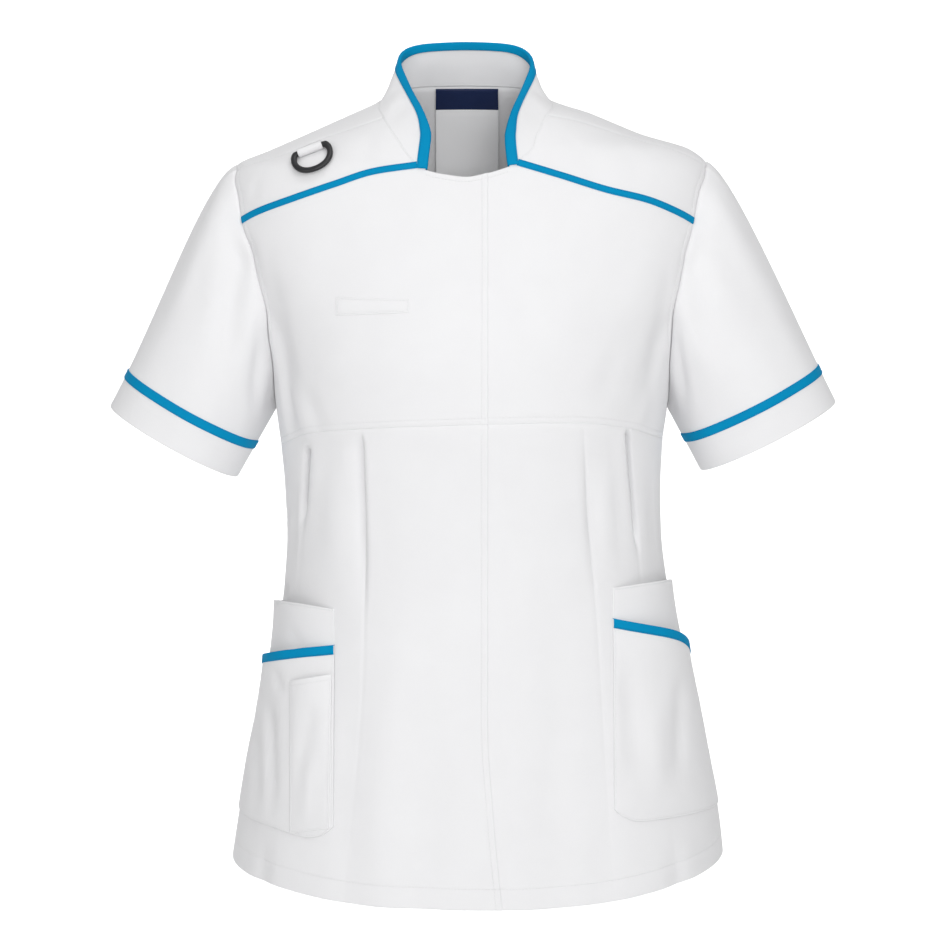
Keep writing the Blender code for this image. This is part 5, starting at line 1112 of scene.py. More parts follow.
def sleeve(side):
    lines, skins, turns = sleeve_lines(side)
    seam_at = CUFF_BAND + SLEEVE_TAPE_WIDTH / 2
    band_d = np.array([seam_at - m * MM for m in PLAIN] + list(np.linspace(seam_at - 6 * MM, 21.5 * MM, 4))
                      + [m * MM for m in (19.6, 19.0, 18.4, 17.0, 13.0, 9.0, 5.0, 2.4, 1.2, 0.5, 0.0)])
    t_seam, total = at_distances(lines, [seam_at])
    t_band, _ = at_distances(lines, band_d)
    span = float(np.mean(total)) / MM - seam_at / MM
    fr = marks(span, SEAM_MARKS, SEAM_MARKS, 3.6)
    # rows keep their distance from the armhole near it
    table = np.linspace(0, 1, 241)[:, None] * t_seam
    run = np.concatenate([np.zeros((1, len(lines))),
                          np.cumsum(np.linalg.norm(np.diff(sleeve_points(lines, table), axis=0), axis=2), axis=0)])
    t_main = np.array([[np.interp(f * run[-1, k], run[:, k], table[:, k]) for k in range(len(lines))] for f in fr])
    t_all = np.concatenate([t_main, t_band[1:]])
    plain = sleeve_points(lines, t_all)
    normals = tube_normals(plain)
    below = np.concatenate([fr * 1.0, 1 + np.linspace(0, 0.2, len(t_band))[1:]])[:, None]
    h = bend_height(side, turns, t_all) * ease(below / 0.06)
    whole = plain + normals * h[..., None]
    normals = tube_normals(whole)
    n_main = len(t_main)
    main, main_n = whole[:n_main].copy(), normals[:n_main].copy()
    band, band_n = whole[n_main - 1:].copy(), normals[n_main - 1:].copy()
    bisector = unit(tube_normals(plain)[0] + skins)
    MITRE[side] = bisector / np.clip(np.sum(bisector * skins, axis=1, keepdims=True), 0.6, 1)
    main_n[0] = MITRE[side]
    d0 = (fr * span * MM)[:, None]
    d1 = ((1 - fr) * span * MM)[:, None]
    main += main_n * (roll(d0) + roll(d1))[..., None]
    e = (seam_at - band_d)[:, None]
    cuff_d = band_d[:, None]
    band += band_n * (roll(e) + groove(cuff_d, 19.0 * MM) * 0.12 - 0.5 * MM * np.exp(-(cuff_d / (0.5 * MM)) ** 2))[..., None]
    a = shell("sleeve_%s_cloth" % side, main, main_n, SHELL, [WHITE], ring=True)
    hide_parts("sleeve_%s" % side)
    cloth_sheet(a, main, ring=True)
    b = shell("sleeve_cuff_%s_cloth" % side, band, band_n, 1.3 * MM, [WHITE], ring=True)
    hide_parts("sleeve_cuff_%s" % side)
    cloth_sheet(b, band, ring=True)
    ring_p, ring_n = np.concatenate([main, main[:, :1]], axis=1), np.concatenate([main_n, main_n[:, :1]], axis=1)
    # the tape runs over the seam
    half = SLEEVE_TAPE_WIDTH / 2
    offs = np.array([-1, -0.93, -0.8, -0.5, -0.2, 0.2, 0.5, 0.8, 0.93, 1]) * half
    t_tape, _ = at_distances(lines, seam_at - offs)
    tape_plain = sleeve_points(lines, t_tape)
    tape_n = tube_normals(tape_plain)
    hh = np.array([np.interp(t_tape[:, k], t_all[:, k], h[:, k]) for k in range(len(lines))]).T
    edge = (half - np.abs(offs))[:, None]
    lift = 0.95 * MM - 0.35 * MM * np.exp(-(edge / (0.45 * MM)) ** 2) - 0.10 * MM * np.exp(-((edge - 1.3 * MM) / (0.5 * MM)) ** 2)
    tape = tape_plain + tape_n * (hh + lift)[..., None]
    c = shell("sleeve_tape_%s_cloth" % side, tape, tape_n, TAPE_SHELL, [BLUE], ring=True)
    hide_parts("sleeve_tape_%s" % side)
    cloth_sheet(c, tape, ring=True)
    ring_p, ring_n = np.concatenate([tape, tape[:, :1]], axis=1), np.concatenate([tape_n, tape_n[:, :1]], axis=1)
    for edge_name in "sn":
        row_stitches(ring_p, ring_n, 1.3 * MM, edge_name, "blue")


# ================================================================== the fronts
def sunk(side, x, z):
    """The left front sinks to pass under the right one's edge."""
    if side == "right":
        return np.zeros_like(x)
    start = LAP_X(z) + LAP_EASE + LAP_STEP
    return -(SHELL + 0.3 * MM) * ease((start - x) / LAP_STEP)


def lap_line(side, z):
    """The front's centre edge."""
    return LAP_X(z) if side == "right" else LAP_X(z) - UNDERLAP


def front_edge_marks(side):
    """Lines near the centre edge: the right one's shows and is stitched."""
    return (0.0, 0.35, 0.8, 1.5, 2.6, 4.6, 5.3, 6.0, 6.7, 7.4) if side == "right" else (0.0, 0.6, 2.0)


def edge_distance(P, side):
    """Distances of a grid's points from its four edges, along its lines."""
    rows = np.concatenate([np.zeros((1,) + P.shape[1:2]), np.cumsum(np.linalg.norm(np.diff(P, axis=0), axis=2), axis=0)])
    cols = np.concatenate([np.zeros(P.shape[:1] + (1,)), np.cumsum(np.linalg.norm(np.diff(P, axis=1), axis=2), axis=1)],
                          axis=1)
    return dict(s=rows, n=rows[-1:] - rows, w=cols, e=cols[:, -1:] - cols)[side]


def front_upper(side):
    c, edge = CURVES[side], SIGN[side] * 90.0
    yoke_x = side_of(YOKE_SEAM[-1], side)[0]
    end_x = lap_line(side, -0.072)
    xs = np.linspace(yoke_x, end_x, 60)
    neck = np.stack([angle_at(xs, NECKLINE_Z(xs)), NECKLINE_Z(xs)], axis=-1)
    neck_run = walk(neck)[-1] / MM
    far = front_edge_marks(side)
    neck_parts = marks(neck_run, (0.0, 1.5, 3.0), far, 3.0)
    top = np.concatenate([spread(c["yoke"], YOKE_ACROSS), spread(neck, neck_parts)[1:]])
    run = walk(top)
    us = run / run[-1]
    xe = lap_line(side, -0.30)
    bottom = [(edge, side_of(EMPIRE_SEAM[0], side)[1])]
    bottom += [p for p in line_of(EMPIRE_SEAM[1:], side) if abs(body_base(*p)[0] - edge / 90 * 0.19) < abs(xe - edge / 90 * 0.19) - 0.012]
    bottom.append((angle_at(xe, EMPIRE_Z(xe)), float(EMPIRE_Z(xe))))
    bottom = spread(through(bottom), us)
    for _ in range(4):
        level = EMPIRE_Z(body_base(bottom[:, 0], bottom[:, 1])[:, 0])
        bottom[1:, 1] = level[1:]
    z_under = CURVES[side]["arm_front"][-1][1]
    z_in = CHEST_LEVEL
    a_in = angle_at(lap_line(side, z_in), z_in)
    middle = np.stack([bottom[:, 0] + (a_in - bottom[-1, 0]) * us, z_under + (z_in - z_under) * us], axis=-1)
    vs = SIDE_UP
    zs0 = bottom[0, 1] + (z_under - bottom[0, 1]) * vs
    zs1 = bottom[-1, 1] + (z_in - bottom[-1, 1]) * vs
    start = np.stack([np.full(len(vs), edge), zs0], axis=-1)
    end = np.stack([angle_at(lap_line(side, zs1), zs1), zs1], axis=-1)
    low = coons(bottom, middle, start, end, us, vs)
    vs = ARM_FRONT
    zs1 = z_in + (top[-1, 1] - z_in) * vs
    end = np.stack([angle_at(lap_line(side, zs1), zs1), zs1], axis=-1)
    high = shoulder_patch("front", middle, top, ARMS[side]["front"], end, us, vs)
    chart = np.concatenate([low, high[1:]])
    x = body_base(chart[..., 0], chart[..., 1])[..., 0]
    flat, _ = lay(chart)
    ds, dn, dw, de = (edge_distance(flat, k) for k in "snwe")
    lift = sunk(side, x, chart[..., 1]) + roll(ds) + groove(ds, EDGE_STITCH * MM)
    on_yoke = np.arange(len(us)) < len(YOKE_ACROSS)
    # the neckline is turned under and stitched, the rest of the top is a seam
    neck_edge = -0.5 * MM * np.exp(-(dn / (0.5 * MM)) ** 2) + groove(dn, 5.2 * MM)
    lift += np.where(on_yoke[None, :], roll(dn), neck_edge)
    lift += roll(dw) + groove(dw, EDGE_STITCH * MM)
    if side == "right":
        lift += -0.5 * MM * np.exp(-(de / (0.45 * MM)) ** 2) + groove(de, 6.0 * MM)
    points, normals = lay(chart, lift)
    skin = normals.copy()
    skin[len(SIDE_UP) - 1:, 0] = MITRE[side][:len(ARM_FRONT)]
    ob = shell("front_%s_upper_cloth" % side, points, skin, SHELL, [WHITE])
    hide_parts("front_%s_upper" % side)
    cloth_sheet(ob, points)
    row_stitches(points, normals, EDGE_STITCH * MM, "s")
    if side == "right":
        row_stitches(points, normals, 6.0 * MM, "e", start=6 * MM)
    n0 = len(YOKE_ACROSS) - 1
    row_stitches(points[:, n0:], normals[:, n0:], 5.2 * MM, "n", start=9 * MM)
    m = len(SIDE_UP) - 1
    row_stitches(points[m:], normals[m:], EDGE_STITCH * MM, "w", start=2 * MM, end=5 * MM)
    return points, normals, chart


def pleat_lines(side):
    out = []
    for p in PLEATS:
        if p.side == side:
            out.append((p, pchip([p.z_top, p.z_end, -0.76], [p.x_top, p.x_end, p.x_hem])))
    return out


PLEAT_OFFS = (20, 15.5, 12, 9, 7, 5.5, 4.3, 3.5, 2.8, 2.2, 1.6, 0.9, 0.3, -0.3, -0.9, -1.6, -2.4, -3.3, -4.6, -6.2, -8.5, -12, -17)
# part of a pleat's depth over the distance from its line: one opens as a slit
# under a lip, the other is a soft trough with a sharper inner edge
SLIT_FORM = pchip([-30, -13, -8, -4.5, -2.6, -1.4, -0.6, 0.3, 1.3, 2.2, 3.4, 7.0, 15.0, 30],
                  [0.0, 0.0, -0.08, -0.08, 0.0, 0.28, 0.55, 0.82, 1.0, 0.62, 0.13, 0.05, 0.0, 0.0])
SOFT_FORM = pchip([-30, -13, -8, -4.5, -2.8, -1.2, 0.0, 2.5, 6.0, 10.0, 17.0, 30],
                  [0.0, 0.0, -0.08, -0.06, 0.10, 0.60, 1.0, 0.86, 0.50, 0.20, 0.0, 0.0])

# how a pleat comes and goes along its length, its depth and width by its form
OPENING = {("right", "outer"): (0.14, 0.60, 2.4, 1.45), ("right", "inner"): (0.12, 0.60, 1.5, 0.9),
           ("left", "outer"): (0.12, 0.50, 2.3, 1.15), ("left", "inner"): (0.60, 0.60, 0.70, 1.3)}


def front_skirt(side):
    sign, edge = SIGN[side], SIGN[side] * 90.0
    (p0, path0), (p1, path1) = pleat_lines(side)

    def off_line(path, off):
        return lambda z: angle_at(path(z) + sign * off * MM, z)

    def side_line(z):
        return edge

    def lap(z):
        return angle_at(lap_line(side, z), z)

    def blend(f, g, part):
        return lambda z: f(z) + (g(z) - f(z)) * part
    first, second = off_line(path0, PLEAT_OFFS[0]), off_line(path1, PLEAT_OFFS[0])
    a, b = off_line(path0, PLEAT_OFFS[-1]), off_line(path1, PLEAT_OFFS[-1])
    columns = [blend(side_line, first, f) for f in marks(46, SEAM_MARKS, (0.0,), 3.4)[:-1]]
    columns += [off_line(path0, o) for o in PLEAT_OFFS]
    columns += [blend(a, second, f) for f in np.linspace(0, 1, 4)[1:-1]]
    columns += [off_line(path1, o) for o in PLEAT_OFFS]
    wide = abs(float(path1(-0.55)) - float(lap_line(side, -0.55))) / MM - 17
    columns += [blend(b, lap, f) for f in marks(wide, (0.0, 3.0), front_edge_marks(side), 3.2)[1:]]
    chart = np.zeros((len(SKIRT_UP), len(columns), 2))
    for i, line in enumerate(columns):
        if i == 0:
            z0, z1 = side_of(HEM[0], side)[1], side_of(EMPIRE_SEAM[0], side)[1]
        else:
            z0, z1 = -0.745, -0.305
            for _ in range(4):
                z0 = float(HEM_Z(body_base(line(z0), z0)[0]))
                z1 = float(EMPIRE_Z(body_base(line(z1), z1)[0]))
        zs = z0 + (z1 - z0) * SKIRT_UP
        chart[:, i] = np.stack([np.broadcast_to(line(zs), zs.shape), zs], axis=-1)
    A, Z = chart[..., 0], chart[..., 1]
    x = body_base(A, Z)[..., 0]
    lift = sunk(side, x, Z)
    slide = np.zeros_like(x)
    for p, path in ((p0, path0), (p1, path1)):
        off = (x - path(Z)) * sign / MM
        t = (p.z_top - Z) / (p.z_top - p.z_end)
        slit = p.name == "outer"
        grow, fade, deep, wide_by = OPENING[side, p.name]
        open_ = np.where((t > 0) & (t < 1), ease(t / grow) * ease((1 - t) / fade), 0.0)
        lift -= p.depth * open_ * deep * (SLIT_FORM(off / wide_by) if slit else SOFT_FORM(off / (wide_by * (1 + np.clip(t, 0, 1)))))
        # the inner lip leans over the trough
        lean = np.exp(-((off + 2.6) / (2.2 if p.name == "outer" else 2.6)) ** 2)
        slide += -(4.7 if slit else 0.8) * MM * open_ * lean
        # a soft line where the pleat is pressed, on to the hem
        pressed = np.where(t > 0, ease(t / 0.1), 0.0) * (1 - 0.8 * ease((t - 1) / 1.2))
        lift -= 0.5 * MM * pressed * np.exp(-(off / 2.2) ** 2)
    flat, _ = lay(chart)
    ds, dn, dw, de = (edge_distance(flat, k) for k in "snwe")
    lift += -0.5 * MM * np.exp(-(ds / (0.5 * MM)) ** 2) + groove(ds, 20 * MM) * 0.6 + roll(dn) + roll(dw)
    if side == "right":
        lift += -0.5 * MM * np.exp(-(de / (0.45 * MM)) ** 2) + groove(de, 6.0 * MM)
    points, normals = lay(chart, lift, slide)
    ob = shell("front_%s_skirt_cloth" % side, points, normals, SHELL, [WHITE])
    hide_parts("front_%s_skirt" % side)
    cloth_sheet(ob, points)
    row_stitches(points, normals, 20 * MM, "s")
    if side == "right":
        row_stitches(points, normals, 6.0 * MM, "e", end=7 * MM)
    return points, normals


# ==================================================================== the back
def full_turn(line):
    """Angles of the right side counted on past 180."""
    line = np.array(line, float)
    line[:, 0] = np.where(line[:, 0] < 0, line[:, 0] + 360.0, line[:, 0])
    return line


def back_piece():
    """One grid with a notch for the neck: the shoulder columns run on past the
    back of the neck, over the ridge and down to the shoulder seam."""
    left, right = CURVES["left"], CURVES["right"]
    necks = [full_turn(spread(c["neck_back"], NECK_BACK)) for c in (left, right)]
    sides = [full_turn(spread(c["neck_side"], NECK_OVER)) for c in (left, right)]
    arms_low = [ARMS[k]["low"] for k in ("left", "right")]
    arms_high = [ARMS[k]["high"] for k in ("left", "right")]
    seams = [spread(c["shoulder"], YOKE_ACROSS) for c in (left, right)]
    blades = []
    for arm, neck in zip(arms_low, necks):
        a, b = to_shoulder(arm[-1], "back"), to_shoulder(neck[0], "back")
        line = from_shoulder(a + (b - a) * YOKE_ACROSS[:, None])
        line[0], line[-1] = arm[-1], neck[0]
        blades.append(line)
    blades[1] = full_turn(blades[1])
    top = np.concatenate([blades[0], necks[0][1:], necks[1][::-1][1:], blades[1][::-1][1:]])
    n_wing, cols = len(YOKE_ACROSS), len(top)
    run = walk(top)
    us = run / run[-1]
    zs = []
    for side in ("left", "right"):
        z0, z1 = side_of(HEM[0], side)[1], side_of(EMPIRE_SEAM[0], side)[1]
        z2 = CURVES[side]["arm_front"][-1][1]
        zs.append(np.concatenate([z0 + (z1 - z0) * SKIRT_UP, (z1 + (z2 - z1) * SIDE_UP)[1:]]))
    zs_l, zs_r = zs
    u = us[None, :]
    z = zs_l[:, None] + (zs_r - zs_l)[:, None] * u
    drop_z = (HEM_BACK_CENTRE - (zs_l[0] + zs_r[0]) / 2) * np.sin(math.pi * u) ** 2
    z = z + drop_z * ((zs_l[-1] - zs_l) / (zs_l[-1] - zs_l[0]))[:, None]
    low = np.stack([np.broadcast_to(90.0 + 180.0 * u, z.shape), z], axis=-1)
    arm_r = full_turn(arms_low[1])
    arm_r[0, 0] = 270.0
    mid = shoulder_patch("back", low[-1], top, arms_low[0], arm_r, us, ARM_BACK)
    rows_low, rows_mid, rows_top = len(low), len(mid) - 1, len(ARM_OVER) - 1
    rows = rows_low + rows_mid + rows_top
    chart = np.zeros((rows, cols, 2))
    chart[:rows_low] = low
    chart[rows_low:rows_low + rows_mid] = mid[1:]
    chart[..., 0] = np.where(chart[..., 0] < 0, chart[..., 0] + 360.0, chart[..., 0])
    chart[rows_low + rows_mid:] = chart[rows_low + rows_mid - 1]
    # neck stations for the wing rows
    for k, (blade, seam, arm, neck) in enumerate(zip(blades, seams, arms_high, sides)):
        neck_up = neck[::-1]
        run_n = walk(neck_up)
        neck_rows = np.stack([np.interp(ARM_OVER * run_n[-1], run_n, neck_up[:, i]) for i in (0, 1)], axis=-1)
        patch = from_shoulder(coons(*[to_shoulder(line, "back") for line in (blade, seam, arm, neck_rows)],
                                    YOKE_ACROSS, ARM_OVER))
        patch[0], patch[-1], patch[:, 0], patch[:, -1] = blade, seam, arm, neck_rows
        rowset = slice(rows_low + rows_mid, rows)
        if k == 0:
            chart[rowset, :n_wing] = patch[1:]
        else:
            chart[rowset, cols - n_wing:] = patch[1:, ::-1]
    neck_row = rows_low + rows_mid - 1
    lo, hi = n_wing - 1, cols - n_wing

    def hole(j, i):
        return j >= neck_row and lo <= i < hi
    flat, _ = lay(chart)
    ds = edge_distance(flat, "s")
    dw, de = edge_distance(flat, "w"), edge_distance(flat, "e")
    lift = -0.5 * MM * np.exp(-(ds / (0.5 * MM)) ** 2) + groove(ds, 20 * MM)
    wing = np.arange(rows) >= rows_low
    # armholes, then side seams
    lift += roll(dw) + roll(de)
    lift += np.where(wing[:, None], groove(dw, EDGE_STITCH * MM) + groove(de, EDGE_STITCH * MM), 0.0)
    # the shoulder seams and the neck
    up = np.cumsum(np.concatenate([[0], np.linalg.norm(np.diff(flat[:, 2], axis=0), axis=1)]))
    dn = (up[-1] - up)[:, None]
    in_wing = np.zeros((rows, cols), bool)
    in_wing[neck_row:, :lo + 1] = True
    in_wing[neck_row:, hi:] = True
    lift += np.where(in_wing, roll(dn), 0.0)
    neck_d = (up[neck_row] - up)[:, None]
    centre = (np.arange(cols) >= lo) & (np.arange(cols) <= hi)
    lift += np.where((np.arange(rows)[:, None] <= neck_row) & centre[None], roll(np.maximum(neck_d, 0.0)), 0.0)
    points, normals = lay(chart, lift)
    skin = normals.copy()
    first = rows_low - 1
    for side, col in (("left", 0), ("right", -1)):
        ring = len(MITRE[side])
        ks = [(ring - k) % ring for k in range(rows - first)]
        skin[first:, col] = MITRE[side][ks]
    ob = shell("back_cloth", points, skin, SHELL, [WHITE], hole=hole)
    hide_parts("back")
    cut = points.copy()
    CUT_BACK = cut[:neck_row + 1]
    w = np.linalg.norm(np.diff(CUT_BACK, axis=1), axis=2).sum(axis=1).max()
    tall = np.linalg.norm(np.diff(cut[:, 2], axis=0), axis=1).sum()
    a, b = np.diff(cut, axis=1)[:-1], np.diff(cut, axis=0)[:, :-1]
    cells = np.linalg.norm(np.cross(a, b), axis=2)
    for j in range(neck_row, rows - 1):
        cells[j, lo:hi] = 0.0
    area = float(cells.sum())
    CUTS.append(("back_cloth", float(w), float(tall), area))
    row_stitches(points[:rows_low], normals[:rows_low], 20 * MM, "s")
    for p, n in ((points[first:, :lo + 1], normals[first:, :lo + 1]), (points[first:, hi:][:, ::-1], normals[first:, hi:][:, ::-1])):
        row_stitches(p, n, EDGE_STITCH * MM, "w", start=2 * MM, end=5 * MM)
    return points, normals, neck_row, lo, hi


# =================================================================== the yokes
def yoke(side):
    c = CURVES[side]
    chart = shoulder_patch("front", spread(c["yoke"], YOKE_ACROSS), spread(c["shoulder"], YOKE_ACROSS),
                           ARMS[side]["yoke"], spread(c["neck_yoke"], ARM_YOKE), YOKE_ACROSS, ARM_YOKE)
    flat, _ = lay(chart)
    ds, dn, dw, de = (edge_distance(flat, k) for k in "snwe")
    lift = roll(ds) + roll(dn) * 0.6 + roll(dw) + roll(de) * 0.4 + groove(dn, 1.8 * MM) * 0.5 + groove(dw, EDGE_STITCH * MM)
    points, normals = lay(chart, lift)
    skin = normals.copy()
    n = len(ARM_FRONT) - 1
    skin[:, 0] = MITRE[side][n:n + len(ARM_YOKE)]
    ob = shell("yoke_%s_cloth" % side, points, skin, SHELL, [WHITE])
    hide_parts("yoke_%s" % side)
    cloth_sheet(ob, points)
    row_stitches(points, normals, 1.9 * MM, "n", start=3 * MM, end=3 * MM)
    row_stitches(points, normals, EDGE_STITCH * MM, "w", start=5 * MM, end=2 * MM)
    return points, normals


def across_seam(line, offsets):
    """Chart points at set distances to both sides of a line on the body."""
    line = np.asarray(line, float)
    a, z = line[:, 0], line[:, 1]
    p = body_base(a, z)
    n = body_normal(a, z)
    t = unit(np.gradient(p, axis=0))
    side_way = unit(np.cross(n, t))
    side_way = np.where(side_way[:, 2:3] < 0, -side_way, side_way)
    h = 1e-4
    ja = (body_base(a + 0.01, z) - body_base(a - 0.01, z)) / 0.02
    jz = (body_base(a, z + h) - body_base(a, z - h)) / (2 * h)
    rows = []
    for off in offsets:
        want = side_way * off
        m00, m01, m11 = (ja * ja).sum(1), (ja * jz).sum(1), (jz * jz).sum(1)
        r0, r1 = (ja * want).sum(1), (jz * want).sum(1)
        det = m00 * m11 - m01 * m01
        da = (r0 * m11 - r1 * m01) / det
        dz = (m00 * r1 - m01 * r0) / det
        rows.append(np.stack([a + da, z + dz], axis=-1))
    return np.array(rows)


def yoke_tape(side):
    line = CURVES[side]["yoke"]
    run = walk(line)
    total = run[-1]
    s = np.concatenate([[0.8, 1.2, 1.9], np.linspace(3.5, total / MM - 4.5, 48), [total / MM - 1.8, total / MM - 1.0, total / MM - 0.4]]) * MM
    mid = np.stack([np.interp(s, run, line[:, k]) for k in (0, 1)], axis=-1)
    half = YOKE_TAPE_WIDTH / 2
    offs = np.array([-1, -0.92, -0.75, -0.4, 0.0, 0.4, 0.75, 0.92, 1]) * half
    chart = across_seam(mid, offs)
    edge = (half - np.abs(offs))[:, None]
    ends = np.minimum(s - 0.8 * MM, total + 1.0 * MM - s)[None]
    lift = 1.0 * MM - 0.35 * MM * np.exp(-(edge / (0.4 * MM)) ** 2) - 0.10 * MM * np.exp(-((edge - 1.1 * MM) / (0.45 * MM)) ** 2)
    lift = lift - 0.3 * MM * np.exp(-(ends / (0.5 * MM)) ** 2)
    points, normals = lay(chart, lift)
    ob = shell("yoke_tape_%s_cloth" % side, points, normals, TAPE_SHELL, [BLUE])
    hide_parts("yoke_tape_%s" % side)
    cloth_sheet(ob, points)
    for e in "sn":
        row_stitches(points, normals, 1.1 * MM, e, "blue")


# ================================================================== the collar
def neck_line(side):
    c = CURVES[side]
    x = COLLAR_END[side]
    xs = np.linspace(x, side_of(YOKE_SEAM[-1], side)[0], 6)
    line = np.stack([angle_at(xs, NECKLINE_Z(xs)), NECKLINE_Z(xs)], axis=-1)
    return np.concatenate([line, spread(c["neck_yoke"], NECK_YOKE)[1:], spread(c["neck_side"], NECK_OVER)[1:],
                           spread(c["neck_back"], NECK_BACK)[1:]])


def polyline_at(points, part):
    steps = np.concatenate([[0], np.cumsum(np.linalg.norm(np.diff(points, axis=0), axis=1))])
    return np.array([np.interp(part * steps[-1], steps, points[:, k]) for k in range(3)])


def smooth_at(points, part):
    """Point of a smooth curve through three points."""
    steps = np.concatenate([[0], np.cumsum(np.linalg.norm(np.diff(points, axis=0), axis=1))])
    return np.array([pchip(steps, points[:, k])(part * steps[-1]) for k in range(3)])


def collar_grid():
    lines = [neck_line(side) for side in SIDES]
    base = [body_base(l[:, 0], l[:, 1]) for l in lines]
    base = np.concatenate([base[0], base[1][::-1][1:]])
    rows = [np.array([s.right_x, s.right_y, s.right_z]) for s in COLLAR_TOP]
    rows += [np.array([s.left_x, s.left_y, s.left_z]) for s in COLLAR_TOP[-2::-1]]
    run = np.concatenate([[0], np.cumsum(np.linalg.norm(np.diff(rows, axis=0), axis=1))])
    curves = [pchip(run, [p[k] for p in rows]) for k in range(3)]
    steps = np.concatenate([[0], np.cumsum(np.linalg.norm(np.diff(base, axis=0), axis=1))])
    us = steps / steps[-1]
    top = np.stack([curve(run[-1] * us) for curve in curves], axis=-1)
    f = COLLAR_FRONT
    ends = [np.array([base[0], (f.right_x, f.right_y, f.right_z), top[0]]),
            np.array([base[-1], (f.left_x, f.left_y, f.left_z), top[-1]])]
    height = float(np.mean(np.linalg.norm(top - base, axis=1)))
    vs = marks(height / MM, SEAM_MARKS, (0.0, 1.0, 2.0, 4.0), 2.6)
    start, end = [np.array([smooth_at(e, v) for v in vs]) for e in ends]
    # the front corners are rounded
    edge = np.concatenate([start, top[1:], end[::-1][1:]])
    run = np.concatenate([[0], np.cumsum(np.linalg.norm(np.diff(edge, axis=0), axis=1))])
    even = np.linspace(0, run[-1], int(run[-1] / (1.5 * MM)))
    line = np.stack([np.interp(even, run, edge[:, k]) for k in range(3)], axis=-1)
    for _ in range(CORNER_SOFT):
        line[1:-1] = (line[:-2] + 2 * line[1:-1] + line[2:]) / 4
    edge = np.stack([np.interp(run, even, line[:, k]) for k in range(3)], axis=-1)
    n = len(start)
    start, top, end = edge[:n], edge[n - 1:n - 1 + len(top)], edge[n - 2 + len(top):][::-1]
    grid = coons(base, top, start, end, us, vs)
    up, run_ = np.gradient(grid, axis=0), np.gradient(grid, axis=1)
    n = unit(np.cross(up, run_))
    n = n * (1.0 if np.sum(n * (grid - COLLAR_HEART)) > 0 else -1.0)
    # soft wrinkles where the stand turns round the neck
    wave = np.zeros(grid.shape[:2])
    for u0, size, w in COLLAR_WAVES:
        wave += size * np.exp(-((us[None] - u0) / w) ** 2) * (np.sin(math.pi * np.clip(vs[:, None] * 1.15, 0, 1)) ** 1.0)
    grid = grid + n * wave[..., None]
    return grid, n, us, vs, height


CORNER_SOFT = 34
COLLAR_WAVES = ((0.13, -1.1 * MM, 0.016), (0.165, 0.9 * MM, 0.016), (0.205, -1.2 * MM, 0.015), (0.30, 0.7 * MM, 0.03),
                (0.42, -0.7 * MM, 0.03), (0.60, -0.6 * MM, 0.03), (0.71, 0.7 * MM, 0.03), (0.80, -1.1 * MM, 0.016),
                (0.84, 0.8 * MM, 0.016), (0.875, -0.9 * MM, 0.016))


